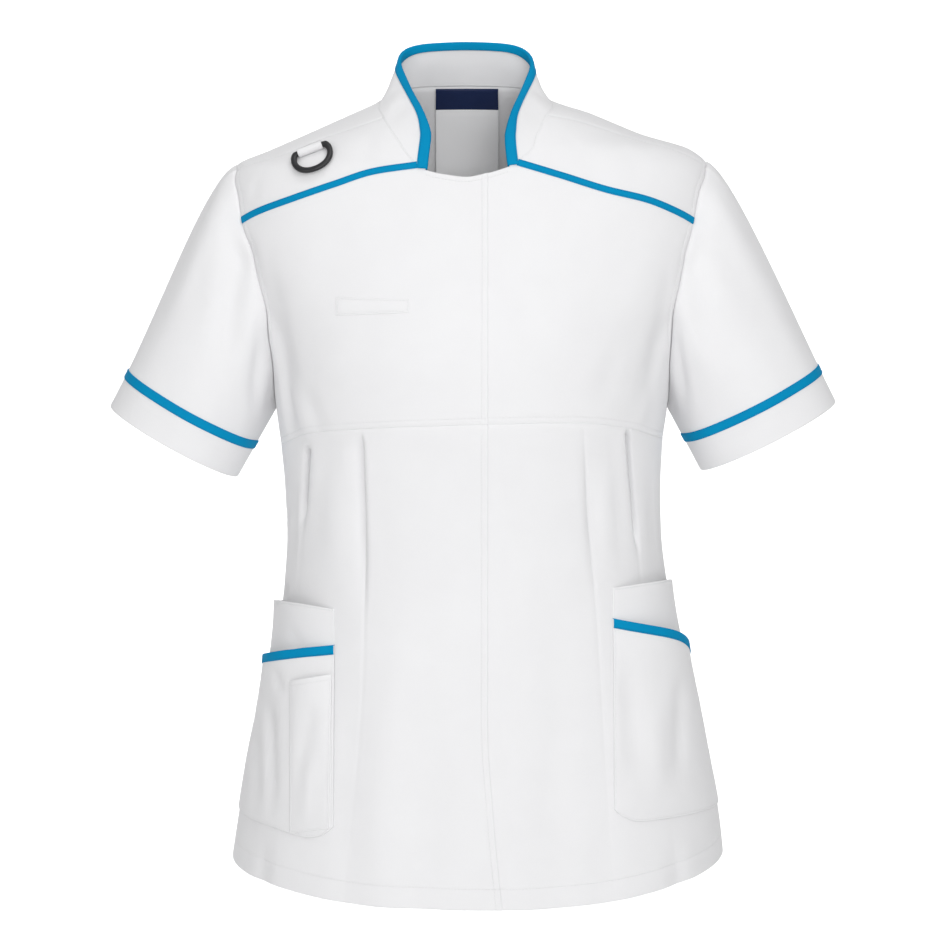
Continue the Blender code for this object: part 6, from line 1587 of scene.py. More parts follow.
def collar():
    grid, normals, us, vs, height = collar_grid()
    body = grid.copy()
    d = (vs * height)[:, None]
    body = body + normals * (roll(d) * 0.15)[..., None]
    body[0] = body[0] - unit(body[1] - body[0]) * 0.5 * MM
    ob = shell("collar_cloth", body, normals, STAND_SHELL, [WHITE])
    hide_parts("collar")
    cloth_sheet(ob, body)
    row_stitches(body, normals, 1.9 * MM, "s", start=10 * MM, end=10 * MM)
    # binding: a folded tape over the front ends and the top edge
    rows, cols = grid.shape[:2]
    edge, foot, skin, foot_skin = [], [], [], []
    width = BINDING_WIDTH

    def inward(j, i, dj, di, reach):
        """Spot at a distance from an edge spot, walking over the grid."""
        line, nrm = [grid[j, i]], [normals[j, i]]
        while 0 <= j + dj < rows and 0 <= i + di < cols and len(line) < 60:
            j, i = j + dj, i + di
            line.append(grid[j, i])
            nrm.append(normals[j, i])
        line, nrm = np.array(line), np.array(nrm)
        run = np.concatenate([[0], np.cumsum(np.linalg.norm(np.diff(line, axis=0), axis=1))])
        r = min(reach, run[-1])
        return (np.array([np.interp(r, run, line[:, k]) for k in range(3)]),
                unit(np.array([np.interp(r, run, nrm[:, k]) for k in range(3)])))
    path = []
    for j in range(1, rows):
        path.append((j, 0))
    corner_a = len(path) - 1
    for i in range(1, cols):
        path.append((rows - 1, i))
    corner_b = len(path) - 1
    for j in range(rows - 2, 0, -1):
        path.append((j, cols - 1))
    spots = np.array([grid[j, i] for j, i in path])
    run = np.concatenate([[0], np.cumsum(np.linalg.norm(np.diff(spots, axis=0), axis=1))])
    # even stations, closer near the two corners
    want = [0.0]
    marks_at = (run[corner_a], run[corner_b])
    while want[-1] < run[-1] - 1.5 * MM:
        near = min(abs(want[-1] - m) for m in marks_at)
        want.append(want[-1] + (1.6 * MM if near < 14 * MM else 4.0 * MM))
    want.append(run[-1])
    want = np.array(want)
    # at a corner the edge is rounded a little
    p_edge = np.array([[np.interp(w, run, spots[:, k]) for k in range(3)] for w in want])
    n_edge = unit(np.array([[np.interp(w, run, np.array([normals[j, i] for j, i in path])[:, k]) for k in range(3)] for w in want]))
    for _ in range(3):
        q = p_edge.copy()
        q[1:-1] = (p_edge[:-2] + 2 * p_edge[1:-1] + p_edge[2:]) / 4
        p_edge = q
    tangent = unit(np.gradient(p_edge, axis=0))
    into = unit(np.cross(n_edge, tangent))
    middle = grid[rows // 2]
    aim = grid[max(0, rows - 6)][np.clip((us * 0 + np.arange(cols)), 0, cols - 1).astype(int)]
    centre = np.array([np.mean(grid[..., k]) for k in range(3)])
    # inward is down on the top edge and back along the collar on its ends
    flip = np.array([1.0 if np.dot(into[k], nearest_inward(grid, p_edge[k], rows, cols)) > 0 else -1.0
                     for k in range(len(want))])
    into = into * (1.0 if flip.sum() > 0 else -1.0)
    for _ in range(2):
        into[1:-1] = unit(into[:-2] + 2 * into[1:-1] + into[2:])
    sections, sec_n = [], []
    t = TAPE_SHELL
    c = STAND_SHELL
    top = ease((want - marks_at[0]) / (28 * MM)) * ease((marks_at[1] - want) / (28 * MM))
    reach = width * (1 - 0.30 * top)

    def lying(part):
        """A line on the collar at a part of the binding's width, kept even."""
        pairs = [surface_near(grid, normals, p + d * r * part) for p, d, r in zip(p_edge, into, reach)]
        line, skin = np.array([a for a, _ in pairs]), np.array([b for _, b in pairs])
        for _ in range(4):
            line[1:-1] = (line[:-2] + 2 * line[1:-1] + line[2:]) / 4
            skin[1:-1] = unit(skin[:-2] + 2 * skin[1:-1] + skin[2:])
        return line, skin
    feet, feet_n = lying(1.0)
    mids, mids_n = lying(0.5)
    for k in range(len(want)):
        p, n, d_in = p_edge[k], n_edge[k], into[k]
        n = unit(n - d_in * np.dot(n, d_in))
        foot_p, foot_n, mid_p, mid_n = feet[k], feet_n[k], mids[k], mids_n[k]
        air = 0.62 * MM
        out = -d_in
        row = []
        rr = c / 2 + air + t
        row.append(foot_p + foot_n * (air + t * 0.55))
        row.append(foot_p + foot_n * (air + t * 0.95) - d_in * 0.35 * MM)
        row.append(foot_p + foot_n * (air + t * 0.85) - d_in * 1.3 * MM)
        row.append(mid_p + mid_n * (air + t))
        row.append(p + n * (air + t) + d_in * 1.2 * MM)
        centre_p = p - n * c / 2
        for ang in (70, 45, 20, -5, -30, -55, -80):
            a = math.radians(ang)
            row.append(centre_p + n * rr * math.sin(a) + out * (rr * 0.9 * math.cos(a)))
        row.append(p - n * (c + air + t) + d_in * 1.2 * MM)
        row.append(mid_p - mid_n * (c + air + t))
        row.append(foot_p - foot_n * (c + air + t * 0.95) - d_in * 0.35 * MM)
        row.append(foot_p - foot_n * (c + air + t * 0.55))
        sections.append(row)
    strip = np.array(sections)                   # stations x round
    up = np.gradient(strip, axis=0)
    rnd = np.gradient(strip, axis=1)
    nn = unit(np.cross(up, rnd))
    ref = strip - (p_edge + into * 1.5 * MM)[:, None]
    nn = nn * (1.0 if np.sum(nn * ref) > 0 else -1.0)
    grid_b = strip.transpose(1, 0, 2)
    ob2 = shell("collar_binding_cloth", grid_b, nn.transpose(1, 0, 2), t * 0.8, [BLUE])
    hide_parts("collar_binding")
    cloth_sheet(ob2, grid_b)
    line, skin_ = along(grid_b, nn.transpose(1, 0, 2), 1.5 * MM)
    stitch_line(line, skin_, "blue", 2 * MM, 2 * MM)
    return grid, normals


def nearest_inward(grid, p, rows, cols):
    """Rough direction from an edge spot into the collar."""
    d = np.linalg.norm(grid - p, axis=2)
    j, i = np.unravel_index(np.argmin(d), d.shape)
    jj = j - 4 if j >= rows - 3 else j
    ii = i + 4 if i <= 3 else (i - 4 if i >= cols - 4 else i)
    return unit(grid[max(0, jj), int(np.clip(ii, 0, cols - 1))] - p)


def surface_near(grid, normals, p):
    """Spot of the collar's outer surface nearest to a point, and its normal."""
    d = np.linalg.norm(grid - p, axis=2)
    w = np.exp(-(d / (2.2 * MM)) ** 2)
    if w.max() < 1e-6:
        j, i = np.unravel_index(np.argmin(d), d.shape)
        return p, normals[j, i]
    n = unit((normals * w[..., None]).sum(axis=(0, 1)))
    q = (grid * w[..., None]).sum(axis=(0, 1)) / w.sum()
    return p - n * np.dot(p - q, n), n


# ================================================================= the pockets
POCKET_WIDE = marks(85, (0.0, 0.6, 1.2, 2.0, 3.0), (0.0, 0.6, 1.2, 2.0, 3.0), 3.2)


def pocket_frame(side, top):
    """Functions of one pocket layer: column angle, edges' heights, bulge."""
    foot, edge = POCKET_FOOT[side], SIGN[side] * 90.0
    in_x = pchip([foot.in_z, top.in_z], [foot.in_x, top.in_x])

    def angle(s, z):
        a = angle_at(in_x(z), z)
        return a + (edge - a) * s

    def part(a, z):
        a0 = angle_at(in_x(z), z)
        return (a - a0) / (edge - a0)

    def rim(r):
        spots = [(r.in_x, r.in_z), (r.mid_x, r.mid_z), (r.out_x, r.out_z)]
        return pchip([part(angle_at(x, z), z) for x, z in spots] + [1.0], [z for x, z in spots] + [r.side_z])
    top_z, foot_line = rim(top), rim(foot)

    def foot_z(s):
        return foot_line(s) + POCKET_CORNER * np.maximum(0.0, 1 - s / 0.16) ** 2.4

    def bulge(a, z, mouth, gape=0.0):
        s = np.clip(part(a, z), 0.0, 1.0)
        t = np.clip((z - foot_line(s)) / (top_z(s) - foot_line(s)), 0.0, 1.0)
        return mouth * np.sin(math.pi * s) ** 1.15 * t ** 1.5 + gape * np.exp(-((s - 0.82) / 0.11) ** 2) * t ** 5
    return angle, top_z, foot_z, bulge


def pocket_skin(side, top, us, vs, height_of):
    angle, top_z, foot_z, _ = pocket_frame(side, top)
    s = us[None, :]
    z0, z1 = foot_z(s), top_z(s)
    z = z0 + (z1 - z0) * vs[:, None]
    a = angle(np.broadcast_to(s, z.shape), z)
    chart = np.stack([a, z], axis=-1)
    return chart, height_of(a, z)


def pocket_creases(side, a, z):
    """Soft dents of a pocket, which hangs a little slack."""
    x = body_base(a, z)[..., 0] * SIGN[side]
    total = np.zeros_like(x)
    for x1, z1, x2, z2, h, w in POCKET_DENTS[side]:
        dx, dz = x2 - x1, z2 - z1
        size = math.hypot(dx, dz)
        t = ((x - x1) * dx + (z - z1) * dz) / size ** 2
        off = ((x - x1) * dz - (z - z1) * dx) / size
        total += np.where((t > 0) & (t < 1), 1.5 * h * np.exp(-(off / w) ** 2) * ease(t / 0.3) * ease((1 - t) / 0.4), 0.0)
    return total


OUTER_GAPE = dict(right=4.5 * MM, left=1.2 * MM)      # a mouth's outer end stands off
POCKET_DENTS = dict(
    right=((0.1780, -0.560, 0.1850, -0.690, -3.2 * MM, 4.5 * MM), (0.1950, -0.590, 0.2000, -0.690, -2.0 * MM, 5 * MM),
           (0.1700, -0.540, 0.1660, -0.566, -1.8 * MM, 3.0 * MM), (0.1600, -0.495, 0.1500, -0.530, -1.4 * MM, 5 * MM),
           (0.1380, -0.560, 0.1580, -0.650, -1.5 * MM, 6 * MM), (0.1420, -0.610, 0.1520, -0.690, 1.4 * MM, 6 * MM)),
    left=((0.1500, -0.520, 0.1600, -0.650, -2.0 * MM, 8.0 * MM), (0.1950, -0.540, 0.2030, -0.660, -2.4 * MM, 6 * MM),
          (0.1750, -0.560, 0.1830, -0.670, 1.6 * MM, 8 * MM)))


def pockets(side):
    us = POCKET_WIDE
    tall = 215 if side == "left" else 205
    bulge_back = pocket_frame(side, POCKET_BACK_TOP[side])[3]
    bulge_front = pocket_frame(side, POCKET_FRONT_TOP[side])[3]

    def back_lift(a, z):
        return PATCH_SHELL + 0.2 * MM + bulge_back(a, z, BACK_MOUTH, OUTER_GAPE[side])

    def front_lift(a, z):
        return back_lift(a, z) + PATCH_SHELL + 0.2 * MM + bulge_front(a, z, FRONT_MOUTH)
    out = None
    for kind, top, lift_of in (("back", POCKET_BACK_TOP[side], back_lift), ("front", POCKET_FRONT_TOP[side], front_lift)):
        vs = marks(tall, (0.0, 0.6, 1.2, 2.0, 3.0), (0.0, 0.5, 1.0, 1.9, 2.4, 2.9, 4.5), 3.6)
        chart, height = pocket_skin(side, top, us, vs, lift_of)
        flat, _ = lay(chart, height)
        ds, dn, dw, de = (edge_distance(flat, k) for k in "snwe")
        turn = lambda d: -0.35 * MM * np.exp(-(d / (0.5 * MM)) ** 2)
        height = height + pocket_creases(side, chart[..., 0], chart[..., 1]) * (1 if kind == "front" else 0.5)
        height = height + turn(ds) + turn(dw) + roll(de) + (groove(ds, 2.0 * MM) + groove(dw, 2.0 * MM)) * 0.9
        if kind == "back":
            height = height + turn(dn) + groove(dn, 2.2 * MM)
        points, normals = lay(chart, height)
        ob = shell("pocket_%s_%s_cloth" % (kind, side), points, normals, PATCH_SHELL, [WHITE])
        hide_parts("pocket_%s_%s" % (kind, side))
        cloth_sheet(ob, points)
        ob.name
        if kind == "front":
            row_stitches(points, normals, 2.0 * MM, "s", start=3 * MM, end=2 * MM)
            row_stitches(points, normals, 2.0 * MM, "w", start=3 * MM, end=3 * MM)
            out = (points, normals)
        else:
            row_stitches(points, normals, 2.2 * MM, "n", start=3 * MM, end=2 * MM)
    # binding of the lower layer's top
    angle, top_z, foot_z, _ = pocket_frame(side, POCKET_FRONT_TOP[side])
    offs = np.array([POCKET_TAPE_WIDTH / MM, 6.2, 5.6, 5.0, 3.6, 2.2, 1.4, 0.8, 0.3, 0.0])
    offs = np.unique(np.clip(offs, 0, POCKET_TAPE_WIDTH / MM))[::-1] * MM
    s = us[None, :]
    z = top_z(s) - offs[:, None]
    a = angle(np.broadcast_to(s, z.shape), z)
    chart = np.stack([a, z], axis=-1)
    edge = np.minimum(offs, POCKET_TAPE_WIDTH - offs)[:, None]
    height = front_lift(a, z) + pocket_creases(side, a, z) + 0.95 * MM
    height = height - 0.4 * MM * np.exp(-(edge / (0.45 * MM)) ** 2)
    points, normals = lay(chart, height)
    # the tape turns over the edge
    extra = []
    for out_by, back_by in ((0.35, 0.35), (0.55, 0.9), (0.45, 1.6), (0.1, 2.1)):
        up = unit(points[-1] - points[-3])
        extra.append(points[-1] + up * out_by * MM - normals[-1] * back_by * MM)
    grid = np.concatenate([points, np.array(extra)])
    skins = np.concatenate([normals, np.array([unit(normals[-1] * c + unit(points[-1] - points[-3]) * q)
                                               for c, q in ((0.8, 0.6), (0.3, 0.95), (-0.4, 0.9), (-0.8, 0.5))])])
    ob = shell("pocket_tape_%s_cloth" % side, grid, skins, 0.5 * MM, [BLUE])
    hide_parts("pocket_tape_%s" % side)
    cloth_sheet(ob, grid)
    row_stitches(points, normals, 1.2 * MM, "s", "blue", start=2 * MM, end=2 * MM)
    return out


def locate(points, x, z, rows=None, cols=None):
    """Row and column, with fractions, of the spots of a grid at x and z."""
    rows = rows or range(points.shape[0] - 1)
    cols = cols or range(points.shape[1] - 1)
    sub = points[rows[0]:rows[-1] + 2, cols[0]:cols[-1] + 2]
    d = (sub[..., 0] - x) ** 2 + (sub[..., 2] - z) ** 2
    j0, i0 = np.unravel_index(np.argmin(d), d.shape)
    best = None
    for j in range(max(0, j0 - 2), min(sub.shape[0] - 1, j0 + 2)):
        for i in range(max(0, i0 - 2), min(sub.shape[1] - 1, i0 + 2)):
            p = sub[j:j + 2, i:i + 2][:, :, [0, 2]]
            u = v = 0.5
            e = np.array([1.0, 1.0])
            for _ in range(8):
                here = ((1 - v) * ((1 - u) * p[0, 0] + u * p[0, 1]) + v * ((1 - u) * p[1, 0] + u * p[1, 1]))
                du = (1 - v) * (p[0, 1] - p[0, 0]) + v * (p[1, 1] - p[1, 0])
                dv = (1 - u) * (p[1, 0] - p[0, 0]) + u * (p[1, 1] - p[0, 1])
                det = du[0] * dv[1] - du[1] * dv[0]
                if abs(det) < 1e-14:
                    break
                e = np.array([x, z]) - here
                u += (e[0] * dv[1] - e[1] * dv[0]) / det
                v += (du[0] * e[1] - du[1] * e[0]) / det
            miss = max(0, -u, u - 1) + max(0, -v, v - 1)
            if best is None or miss < best[0]:
                best = (miss, j + v, i + u)
    return best[1] + rows[0], best[2] + cols[0]


def at(grid, spot):
    r, c = spot
    j = min(max(int(r), 0), grid.shape[0] - 2)
    i = min(max(int(c), 0), grid.shape[1] - 2)
    v, u = r - j, c - i
    return (1 - v) * ((1 - u) * grid[j, i] + u * grid[j, i + 1]) + v * ((1 - u) * grid[j + 1, i] + u * grid[j + 1, i + 1])


def smoothed(points, times):
    """Panel without its fine creases, for a patch that spans them."""
    g = points.copy()
    for _ in range(times):
        g[1:-1, 1:-1] = (g[1:-1, 1:-1] * 2 + g[:-2, 1:-1] + g[2:, 1:-1] + g[1:-1, :-2] + g[1:-1, 2:]) / 6
    return g


def patch_on(panel, corner_rows, us, vs, lift, within=(None, None)):
    """Grid over a panel between two lines of (x, z) corners."""
    points, normals = panel
    (a, b), (c, d) = corner_rows       # lower line, upper line
    out, out_n = [], []
    for v in vs:
        row, row_n = [], []
        for u in us:
            x = (1 - v) * ((1 - u) * a[0] + u * b[0]) + v * ((1 - u) * c[0] + u * d[0])
            z = (1 - v) * ((1 - u) * a[1] + u * b[1]) + v * ((1 - u) * c[1] + u * d[1])
            spot = locate(points, x, z, *within)
            n = unit(at(normals, spot))
            row.append(at(points, spot) + n * lift(u, v))
            row_n.append(n)
        out.append(row)
        out_n.append(row_n)
    return np.array(out), np.array(out_n)


FINE_EDGE = (0.0, 0.5, 1.0, 1.7, 2.3)


def pen_pocket(panel):
    p = PEN
    corners = (((p["out_x"], p["out_low"] - 1 * MM), (p["in_x"] + 1.5 * MM, p["in_low"] - 3 * MM)),
               ((p["out_x"], p["out_z"]), (p["in_x"] + 4.3 * MM, p["in_z"])))
    us, vs = marks(37, FINE_EDGE, FINE_EDGE, 3.0), marks(141, FINE_EDGE, (0.0, 0.5, 1.0, 4.0), 4.0)

    def lift(u, v):
        e = min(u, 1 - u) * 37
        w = min(e, v * 141)
        top = (1 - v) * 141
        stitched_down = groove(w * MM, 1.7 * MM) * 0.9 - 0.3 * MM * math.exp(-(w / 0.45) ** 2)
        return (PATCH_SHELL + 0.25 * MM + 0.5 * PEN_MOUTH * max(0.0, math.sin(math.pi * u)) ** 0.7 * v ** 1.5 + stitched_down
                - 0.3 * MM * math.exp(-(top / 0.45) ** 2) + float(groove(top * MM, 5.0 * MM)))
    grid, normals = patch_on(panel, corners, us, vs, lift)
    ob = shell("pen_pocket_cloth", grid, normals, PATCH_SHELL, [WHITE])
    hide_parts("pen_pocket")
    cloth_sheet(ob, grid)
    for e in "swe":
        row_stitches(grid, normals, 1.7 * MM, e, start=2 * MM, end=2 * MM)
    row_stitches(grid, normals, 5.0 * MM, "n", start=3 * MM, end=3 * MM)


def chest_strip(panel):
    p = STRIP
    corners = (((p["out_x"], p["out_low"]), (p["in_x"], p["in_low"])),
               ((p["out_x"], p["out_top"]), (p["in_x"], p["in_top"])))
    us, vs = marks(68, FINE_EDGE, FINE_EDGE, 3.0), marks(15, FINE_EDGE, FINE_EDGE, 2.0)

    def lift(u, v):
        w = min(min(u, 1 - u) * 68, min(v, 1 - v) * 15)
        return PATCH_SHELL + 0.15 * MM + float(groove(w * MM, 1.7 * MM)) - 0.35 * MM * math.exp(-(w / 0.45) ** 2)
    grid, normals = patch_on(panel, corners, us, vs, lift)
    ob = shell("chest_strip_cloth", grid, normals, PATCH_SHELL, [WHITE])
    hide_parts("chest_strip")
    cloth_sheet(ob, grid)
    for e in "snwe":
        row_stitches(grid, normals, 1.7 * MM, e, start=2 * MM, end=2 * MM)


LABEL_BAND = 20 * MM            # navy band at the label's top


def neck_label(back):
    points, normals, neck_row, lo, hi = back
    p = LABEL
    corners = (((p["left_x"], p["bottom"]), (p["right_x"], p["bottom"])),
               ((p["left_x"], p["top"]), (p["right_x"], p["top"])))
    mid = (lo + hi) // 2
    near = (range(neck_row - 40, neck_row), range(lo - 6, hi + 6))
    tall = (p["top"] - p["bottom"]) / MM
    band = 1 - LABEL_BAND / MM / tall
    vs = np.unique(np.concatenate([np.linspace(0, band, 16), np.linspace(band, 1, 8)]))
    us = marks(62, (0.0, 0.8, 1.6), (0.0, 0.8, 1.6), 4.0)

    def lift(u, v):
        return -(CLOTH + 0.6 * MM + 2.0 * MM * (1 - v) + 0.5 * MM * math.sin(math.pi * u) * (1 - v))
    grid, skins = patch_on((smoothed(points, 3), normals), corners, us, vs, lift, near)
    first = int(np.argmin(np.abs(vs - band)))
    ob = shell("neck_label_cloth", grid, skins, 0.6 * MM, [LABEL_CREAM, NAVY],
               dark=lambda j, i: 1 if j >= first else 0)
    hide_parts("neck_label")
    cloth_sheet(ob, grid)


# ================================================================ ring and tab
def ring_frame():
    """Foot of the bar on the yoke, its direction, the slope down, and outward."""
    x, z = RING_AT
    a = angle_at(x, z)
    foot = body_base(a, z) + body_normal(a, z) * fold_height(np.array([a]), np.array([z]))[0]
    out = body_normal(a, z)
    rise = math.radians(RING_RISE)
    bar = np.array([math.cos(rise), 0.0, math.sin(rise)])
    bar = unit(bar - out * np.dot(bar, out))
    down = np.cross(bar, out)
    down = unit(down if down[2] < 0 else -down)
    return foot, bar, down, out


def drop(foot, out, s, r, bar, down):
    """Height of the body's surface over the plane at the bar's foot."""
    spot = foot + bar * s + down * r
    lo, hi = -30 * MM, 12 * MM
    for _ in range(30):
        mid = (lo + hi) / 2
        p = spot + out * mid
        if body_level(p, p[2], True) > 1:
            hi = mid
        else:
            lo = mid
    return (lo + hi) / 2


def ring_outline():
    """Outer and inner points of the ring from the bar's middle round the bow:
    along the bar, down from it, and the thickness there."""
    r = BAR / 2
    half = [((s * MM, -r), (s * MM, r), BAR) for s in np.linspace(0, RING_CLEAR / MM - 1.5, 8)]
    corner = [((RING_CLEAR - 1.5 * MM, -r), (RING_CLEAR - 1.5 * MM, r), BAR),
              ((RING_CLEAR + 2.6 * MM, -r), (RING_CLEAR - 0.3 * MM, r + 0.8 * MM), BOW_THICK),
              ((RING_CLEAR + 5.6 * MM, 0.6 * MM), (RING_CLEAR + 0.7 * MM, r + 2.2 * MM), BOW_THICK),
              ((BOW_OUTER - 0.4 * MM, BOW_START - 4.0 * MM), (BOW_INNER - 0.5 * MM, BOW_START - 2.2 * MM), BOW_THICK)]
    keys = corner + [((BOW_OUTER, BOW_START), (BOW_INNER, BOW_START), BOW_THICK)]
    flat = np.array([[*o, *i, t] for o, i, t in keys])
    run = np.concatenate([[0], np.cumsum(np.linalg.norm(np.diff(flat[:, :2], axis=0), axis=1))])
    steps = np.linspace(0, run[-1], 22)[1:-1]
    tables = [pchip(run, flat[:, k]) for k in range(5)]
    half += [((float(tables[0](s)), float(tables[1](s))), (float(tables[2](s)), float(tables[3](s))), float(tables[4](s)))
             for s in steps]
    for k in range(31):
        t = math.pi / 2 * k / 30
        cos, sin = max(0.0, math.cos(t)) ** 0.92, math.sin(t) ** 0.92
        half.append(((BOW_OUTER * cos, BOW_START + BOW_OUTER * sin),
                     (BOW_INNER * cos, BOW_START + BOW_INNER * sin), BOW_THICK))
    other = [((-o[0], o[1]), (-i[0], i[1]), t) for o, i, t in half[1:-1]]
    return half + other[::-1]


def d_ring():
    foot, bar, down, out = ring_frame()
    lift = BAR / 2 + TAB_PLAY + TAB_CLOTH + GAP + 0.2 * MM
    centre = foot + out * lift
    outline = ring_outline()
    best = -90.0
    for o, i, t in outline[10:-9:2]:
        s, r = (o[0] + i[0]) / 2, (o[1] + i[1]) / 2
        if r < 4 * MM:
            continue
        height = max(drop(foot, out, q[0], q[1], bar, down) for q in (o, i)) + GAP + t / 2 - lift
        best = max(best, math.degrees(math.atan2(height, r)))
    slope = math.radians(best + 0.6)
    along_ = down * math.cos(slope) + out * math.sin(slope)
    up = out * math.cos(slope) - down * math.sin(slope)
    verts, faces, uvs = [], [], []
    n, m = len(outline), 16
    for o, i, t in outline:
        outer = centre + bar * o[0] + along_ * o[1]
        inner = centre + bar * i[0] + along_ * i[1]
        mid, half_w = (outer + inner) / 2, np.linalg.norm(outer - inner) / 2
        d = unit(outer - inner)
        for k in range(m):
            a = 2 * math.pi * k / m
            c, s = math.cos(a), math.sin(a)
            verts.append(mid + d * half_w * math.copysign(abs(c) ** 0.75, c) + up * t / 2 * math.copysign(abs(s) ** 0.75, s))
    for j in range(n):
        for k in range(m):
            q, e = (j + 1) % n, (k + 1) % m
            faces.append((j * m + k, j * m + e, q * m + e, q * m + k))
            uvs.append(((k * 1e-3, j * 1e-3), (k * 1e-3 + 1e-3, j * 1e-3), (k * 1e-3 + 1e-3, j * 1e-3 + 1e-3),
                        (k * 1e-3, j * 1e-3 + 1e-3)))
    ob = add_mesh("d_ring_plastic", verts, faces, uvs, [BLACK], body="ring")
    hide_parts("d_ring")
    return foot, bar, down, out, lift, centre


def ring_tab(frame):
    """Strip that runs from the shoulder seam round the bar and back."""
    foot, bar, down, out, lift, centre = frame
    c = TAB_CLOTH
    mean = BAR / 2 + TAB_PLAY + c / 2
    low = lift - mean
    end = -TAB_REACH
    path = [(end, low + drop(foot, out, 0.0, end, bar, down)), (end * 0.75, low + drop(foot, out, 0.0, end * 0.75, bar, down)),
            (end * 0.5, low + drop(foot, out, 0.0, end * 0.5, bar, down))]
    for k in range(25):
        t = math.radians(-90 + 232 * k / 24)
        path.append((mean * math.cos(t), lift + mean * math.sin(t)))
    rise = c + GAP
    path.append((end * 0.62, low + rise + 0.6 * MM + drop(foot, out, 0.0, end * 0.62, bar, down)))
    path.append((end * 0.8, low + rise + 0.25 * MM + drop(foot, out, 0.0, end * 0.8, bar, down)))
    path.append((end, low + rise + drop(foot, out, 0.0, end, bar, down)))
    path = np.array(path)
    d = unit(np.gradient(path, axis=0))
    side_v = np.stack([-d[:, 1], d[:, 0]], axis=1)
    # the side towards the fold's outside
    turn = np.sign(np.sum(side_v * (path - np.array([0.0, lift])), axis=1).sum())
    side_v = side_v * (turn if turn else 1.0)
    across_ = np.concatenate([[-1, -0.985, -0.95], np.linspace(-0.88, 0.88, 12), [0.95, 0.985, 1]]) * TAB_WIDTH / 2
    grid = np.zeros((len(path), len(across_), 3))
    skins = np.zeros_like(grid)
    for k, (r, h) in enumerate(path):
        for q, s in enumerate(across_):
            e = (TAB_WIDTH / 2 - abs(s))
            thin = 0.25 * MM * math.exp(-(e / (0.4 * MM)) ** 2)
            rr, hh = r + side_v[k, 0] * (c / 2 - thin), h + side_v[k, 1] * (c / 2 - thin)
            grid[k, q] = foot + bar * s + down * rr + out * hh
            skins[k, q] = down * side_v[k, 0] + out * side_v[k, 1]
    ob = shell("ring_tab_cloth", grid, skins, 0.9 * MM, [WHITE])
    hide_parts("ring_tab")
    cloth_sheet(ob, grid)
    for e in "we":
        row_stitches(grid, skins, 1.6 * MM, e, start=2 * MM, end=2 * MM)


# ================================================================ put together
uppers = {}
for side in SIDES:
    sleeve(side)
    uppers[side] = front_upper(side)
    front_skirt(side)
    yoke(side)
    yoke_tape(side)
    pocket_panel = pockets(side)
    if side == "right":
        pen_pocket(pocket_panel)
back_panel = back_piece()
collar()
chest_strip(uppers["right"][:2])
neck_label(back_panel)
ring_tab(d_ring())
sew("stitches_white", "white", THREAD_WHITE)
sew("stitches_blue", "blue", THREAD_BLUE)
for name, wide, tall, area in CUTS:
    print("cut %-28s %.3f x %.3f m, %.5f m2" % (name, wide, tall, area))
for ob in bpy.data.objects:
    if ob.type == "MESH" and ob.data.uv_layers:
        print("count", ob.name, sum(len(p.vertices) - 2 for p in ob.data.polygons))


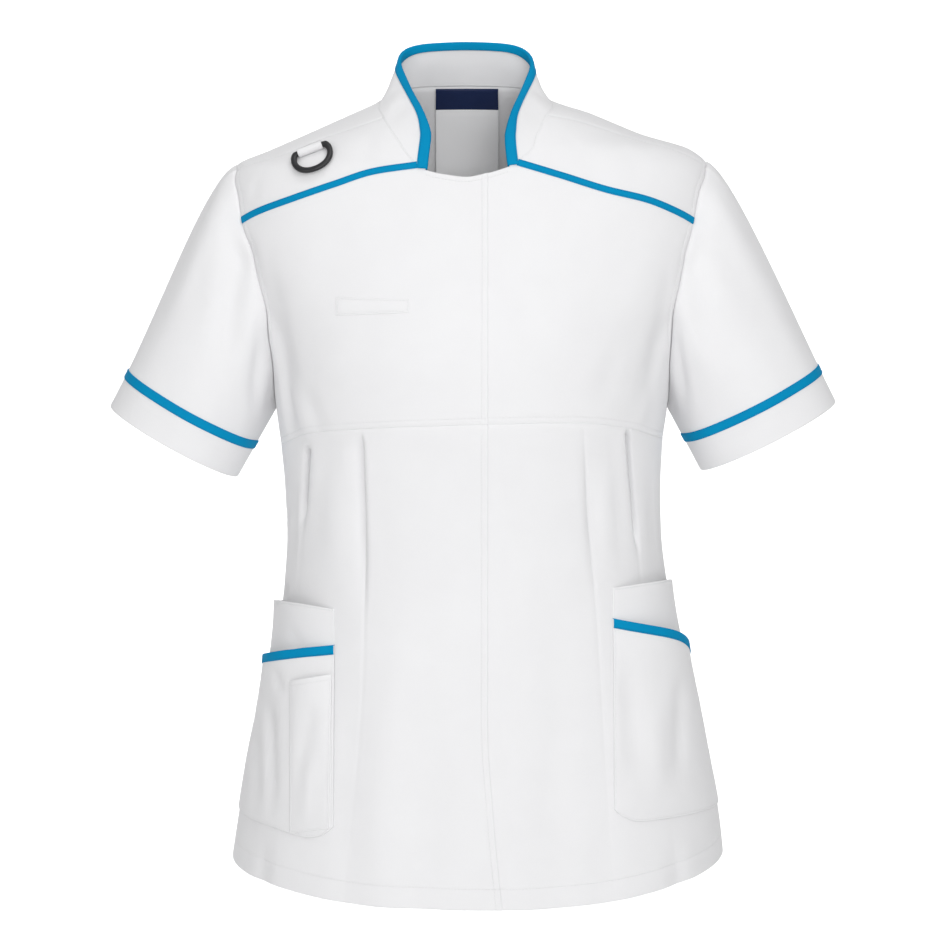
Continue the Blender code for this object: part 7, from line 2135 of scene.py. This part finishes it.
# ====================================================================== stage
def sweep_board():
    """White board: floor below the garment that curves up behind it."""
    line = [(-4.6, 0.0), (3.4, 0.0)]
    for k in range(1, 9):
        a = math.pi / 2 * k / 8
        line.append((3.4 + 1.0 * math.sin(a), 1.0 - 1.0 * math.cos(a)))
    line.append((4.4, 3.6))
    verts = [(x, y, FLOOR_Z + z) for y, z in line for x in (-4.6, 4.6)]
    faces = [(2 * k, 2 * k + 1, 2 * k + 3, 2 * k + 2) for k in range(len(line) - 1)]
    me = bpy.data.meshes.new("board")
    me.from_pydata(verts, [], faces)
    me.polygons.foreach_set("use_smooth", np.ones(len(faces), bool))
    m, nodes, links, shader = nodes_of("board")
    where = nodes.new("ShaderNodeTexCoord")
    noise = nodes.new("ShaderNodeTexNoise")
    noise.inputs["Scale"].default_value = 60.0
    links.new(where.outputs["Object"], noise.inputs["Vector"])
    ramp = nodes.new("ShaderNodeValToRGB")
    ramp.color_ramp.elements[0].color = (0.90, 0.90, 0.90, 1)
    ramp.color_ramp.elements[1].color = (0.92, 0.92, 0.92, 1)
    links.new(noise.outputs["Fac"], ramp.inputs["Fac"])
    links.new(ramp.outputs["Color"], shader.inputs["Base Color"])
    shader.inputs["Roughness"].default_value = 0.9
    shader.inputs["Specular IOR Level"].default_value = 0.1
    me.materials.append(m)
    ob = bpy.data.objects.new("board", me)
    bpy.context.scene.collection.objects.link(ob)


def lamp(name, place, aim, size, power):
    data = bpy.data.lights.new(name, "AREA")
    data.shape = "RECTANGLE"
    data.size, data.size_y = size
    data.energy = power
    ob = bpy.data.objects.new(name, data)
    ob.location = place
    d = np.array(aim) - np.array(place)
    ob.rotation_euler = (math.acos(-d[2] / np.linalg.norm(d)), 0.0, math.atan2(d[1], d[0]) - math.pi / 2)
    ob.visible_camera = False
    bpy.context.scene.collection.objects.link(ob)


FLOOR_Z = -1.25
sweep_board()
world = bpy.data.worlds.new("studio")
world.use_nodes = True
world.node_tree.nodes["Background"].inputs["Color"].default_value = (1.0, 1.0, 1.0, 1)
world.node_tree.nodes["Background"].inputs["Strength"].default_value = 0.44
bpy.context.scene.world = world
lamp("key", (1.2, -2.5, 1.3), (0.0, 0.0, -0.35), (1.3, 1.3), 19)
lamp("fill", (-1.9, -2.2, 0.4), (0.0, 0.0, -0.4), (1.6, 1.6), 10)
lamp("front", (0.2, -3.1, 0.25), (0.0, 0.0, -0.30), (0.9, 0.9), 27)
lamp("top", (0.0, -0.5, 2.1), (0.0, 0.0, -0.3), (1.6, 1.2), 10)
lamp("back_left", (-1.4, 2.4, 1.05), (-0.5, 4.1, -1.0), (1.2, 1.2), 46)
lamp("back_right", (1.4, 2.4, 1.05), (0.5, 4.1, -1.0), (1.2, 1.2), 46)
lamp("rear", (-1.7, 2.3, 0.9), (0.0, 0.0, -0.35), (0.9, 0.9), 8)

camera = bpy.data.cameras.new("camera")
camera.lens, camera.sensor_width = 117.2, 36.0
camera.clip_start, camera.clip_end = 0.1, 30.0
eye = bpy.data.objects.new("camera", camera)
eye.location = (0.0087, -2.978, 0.0016)
eye.rotation_euler = (math.radians(83.0), 0.0, 0.0)
bpy.context.scene.collection.objects.link(eye)
bpy.context.scene.camera = eye
bpy.context.scene.view_settings.view_transform = "Standard"
bpy.context.scene.view_settings.look = "None"
bpy.context.scene.view_settings.exposure = 0.0
bpy.context.scene.view_settings.gamma = 1.0
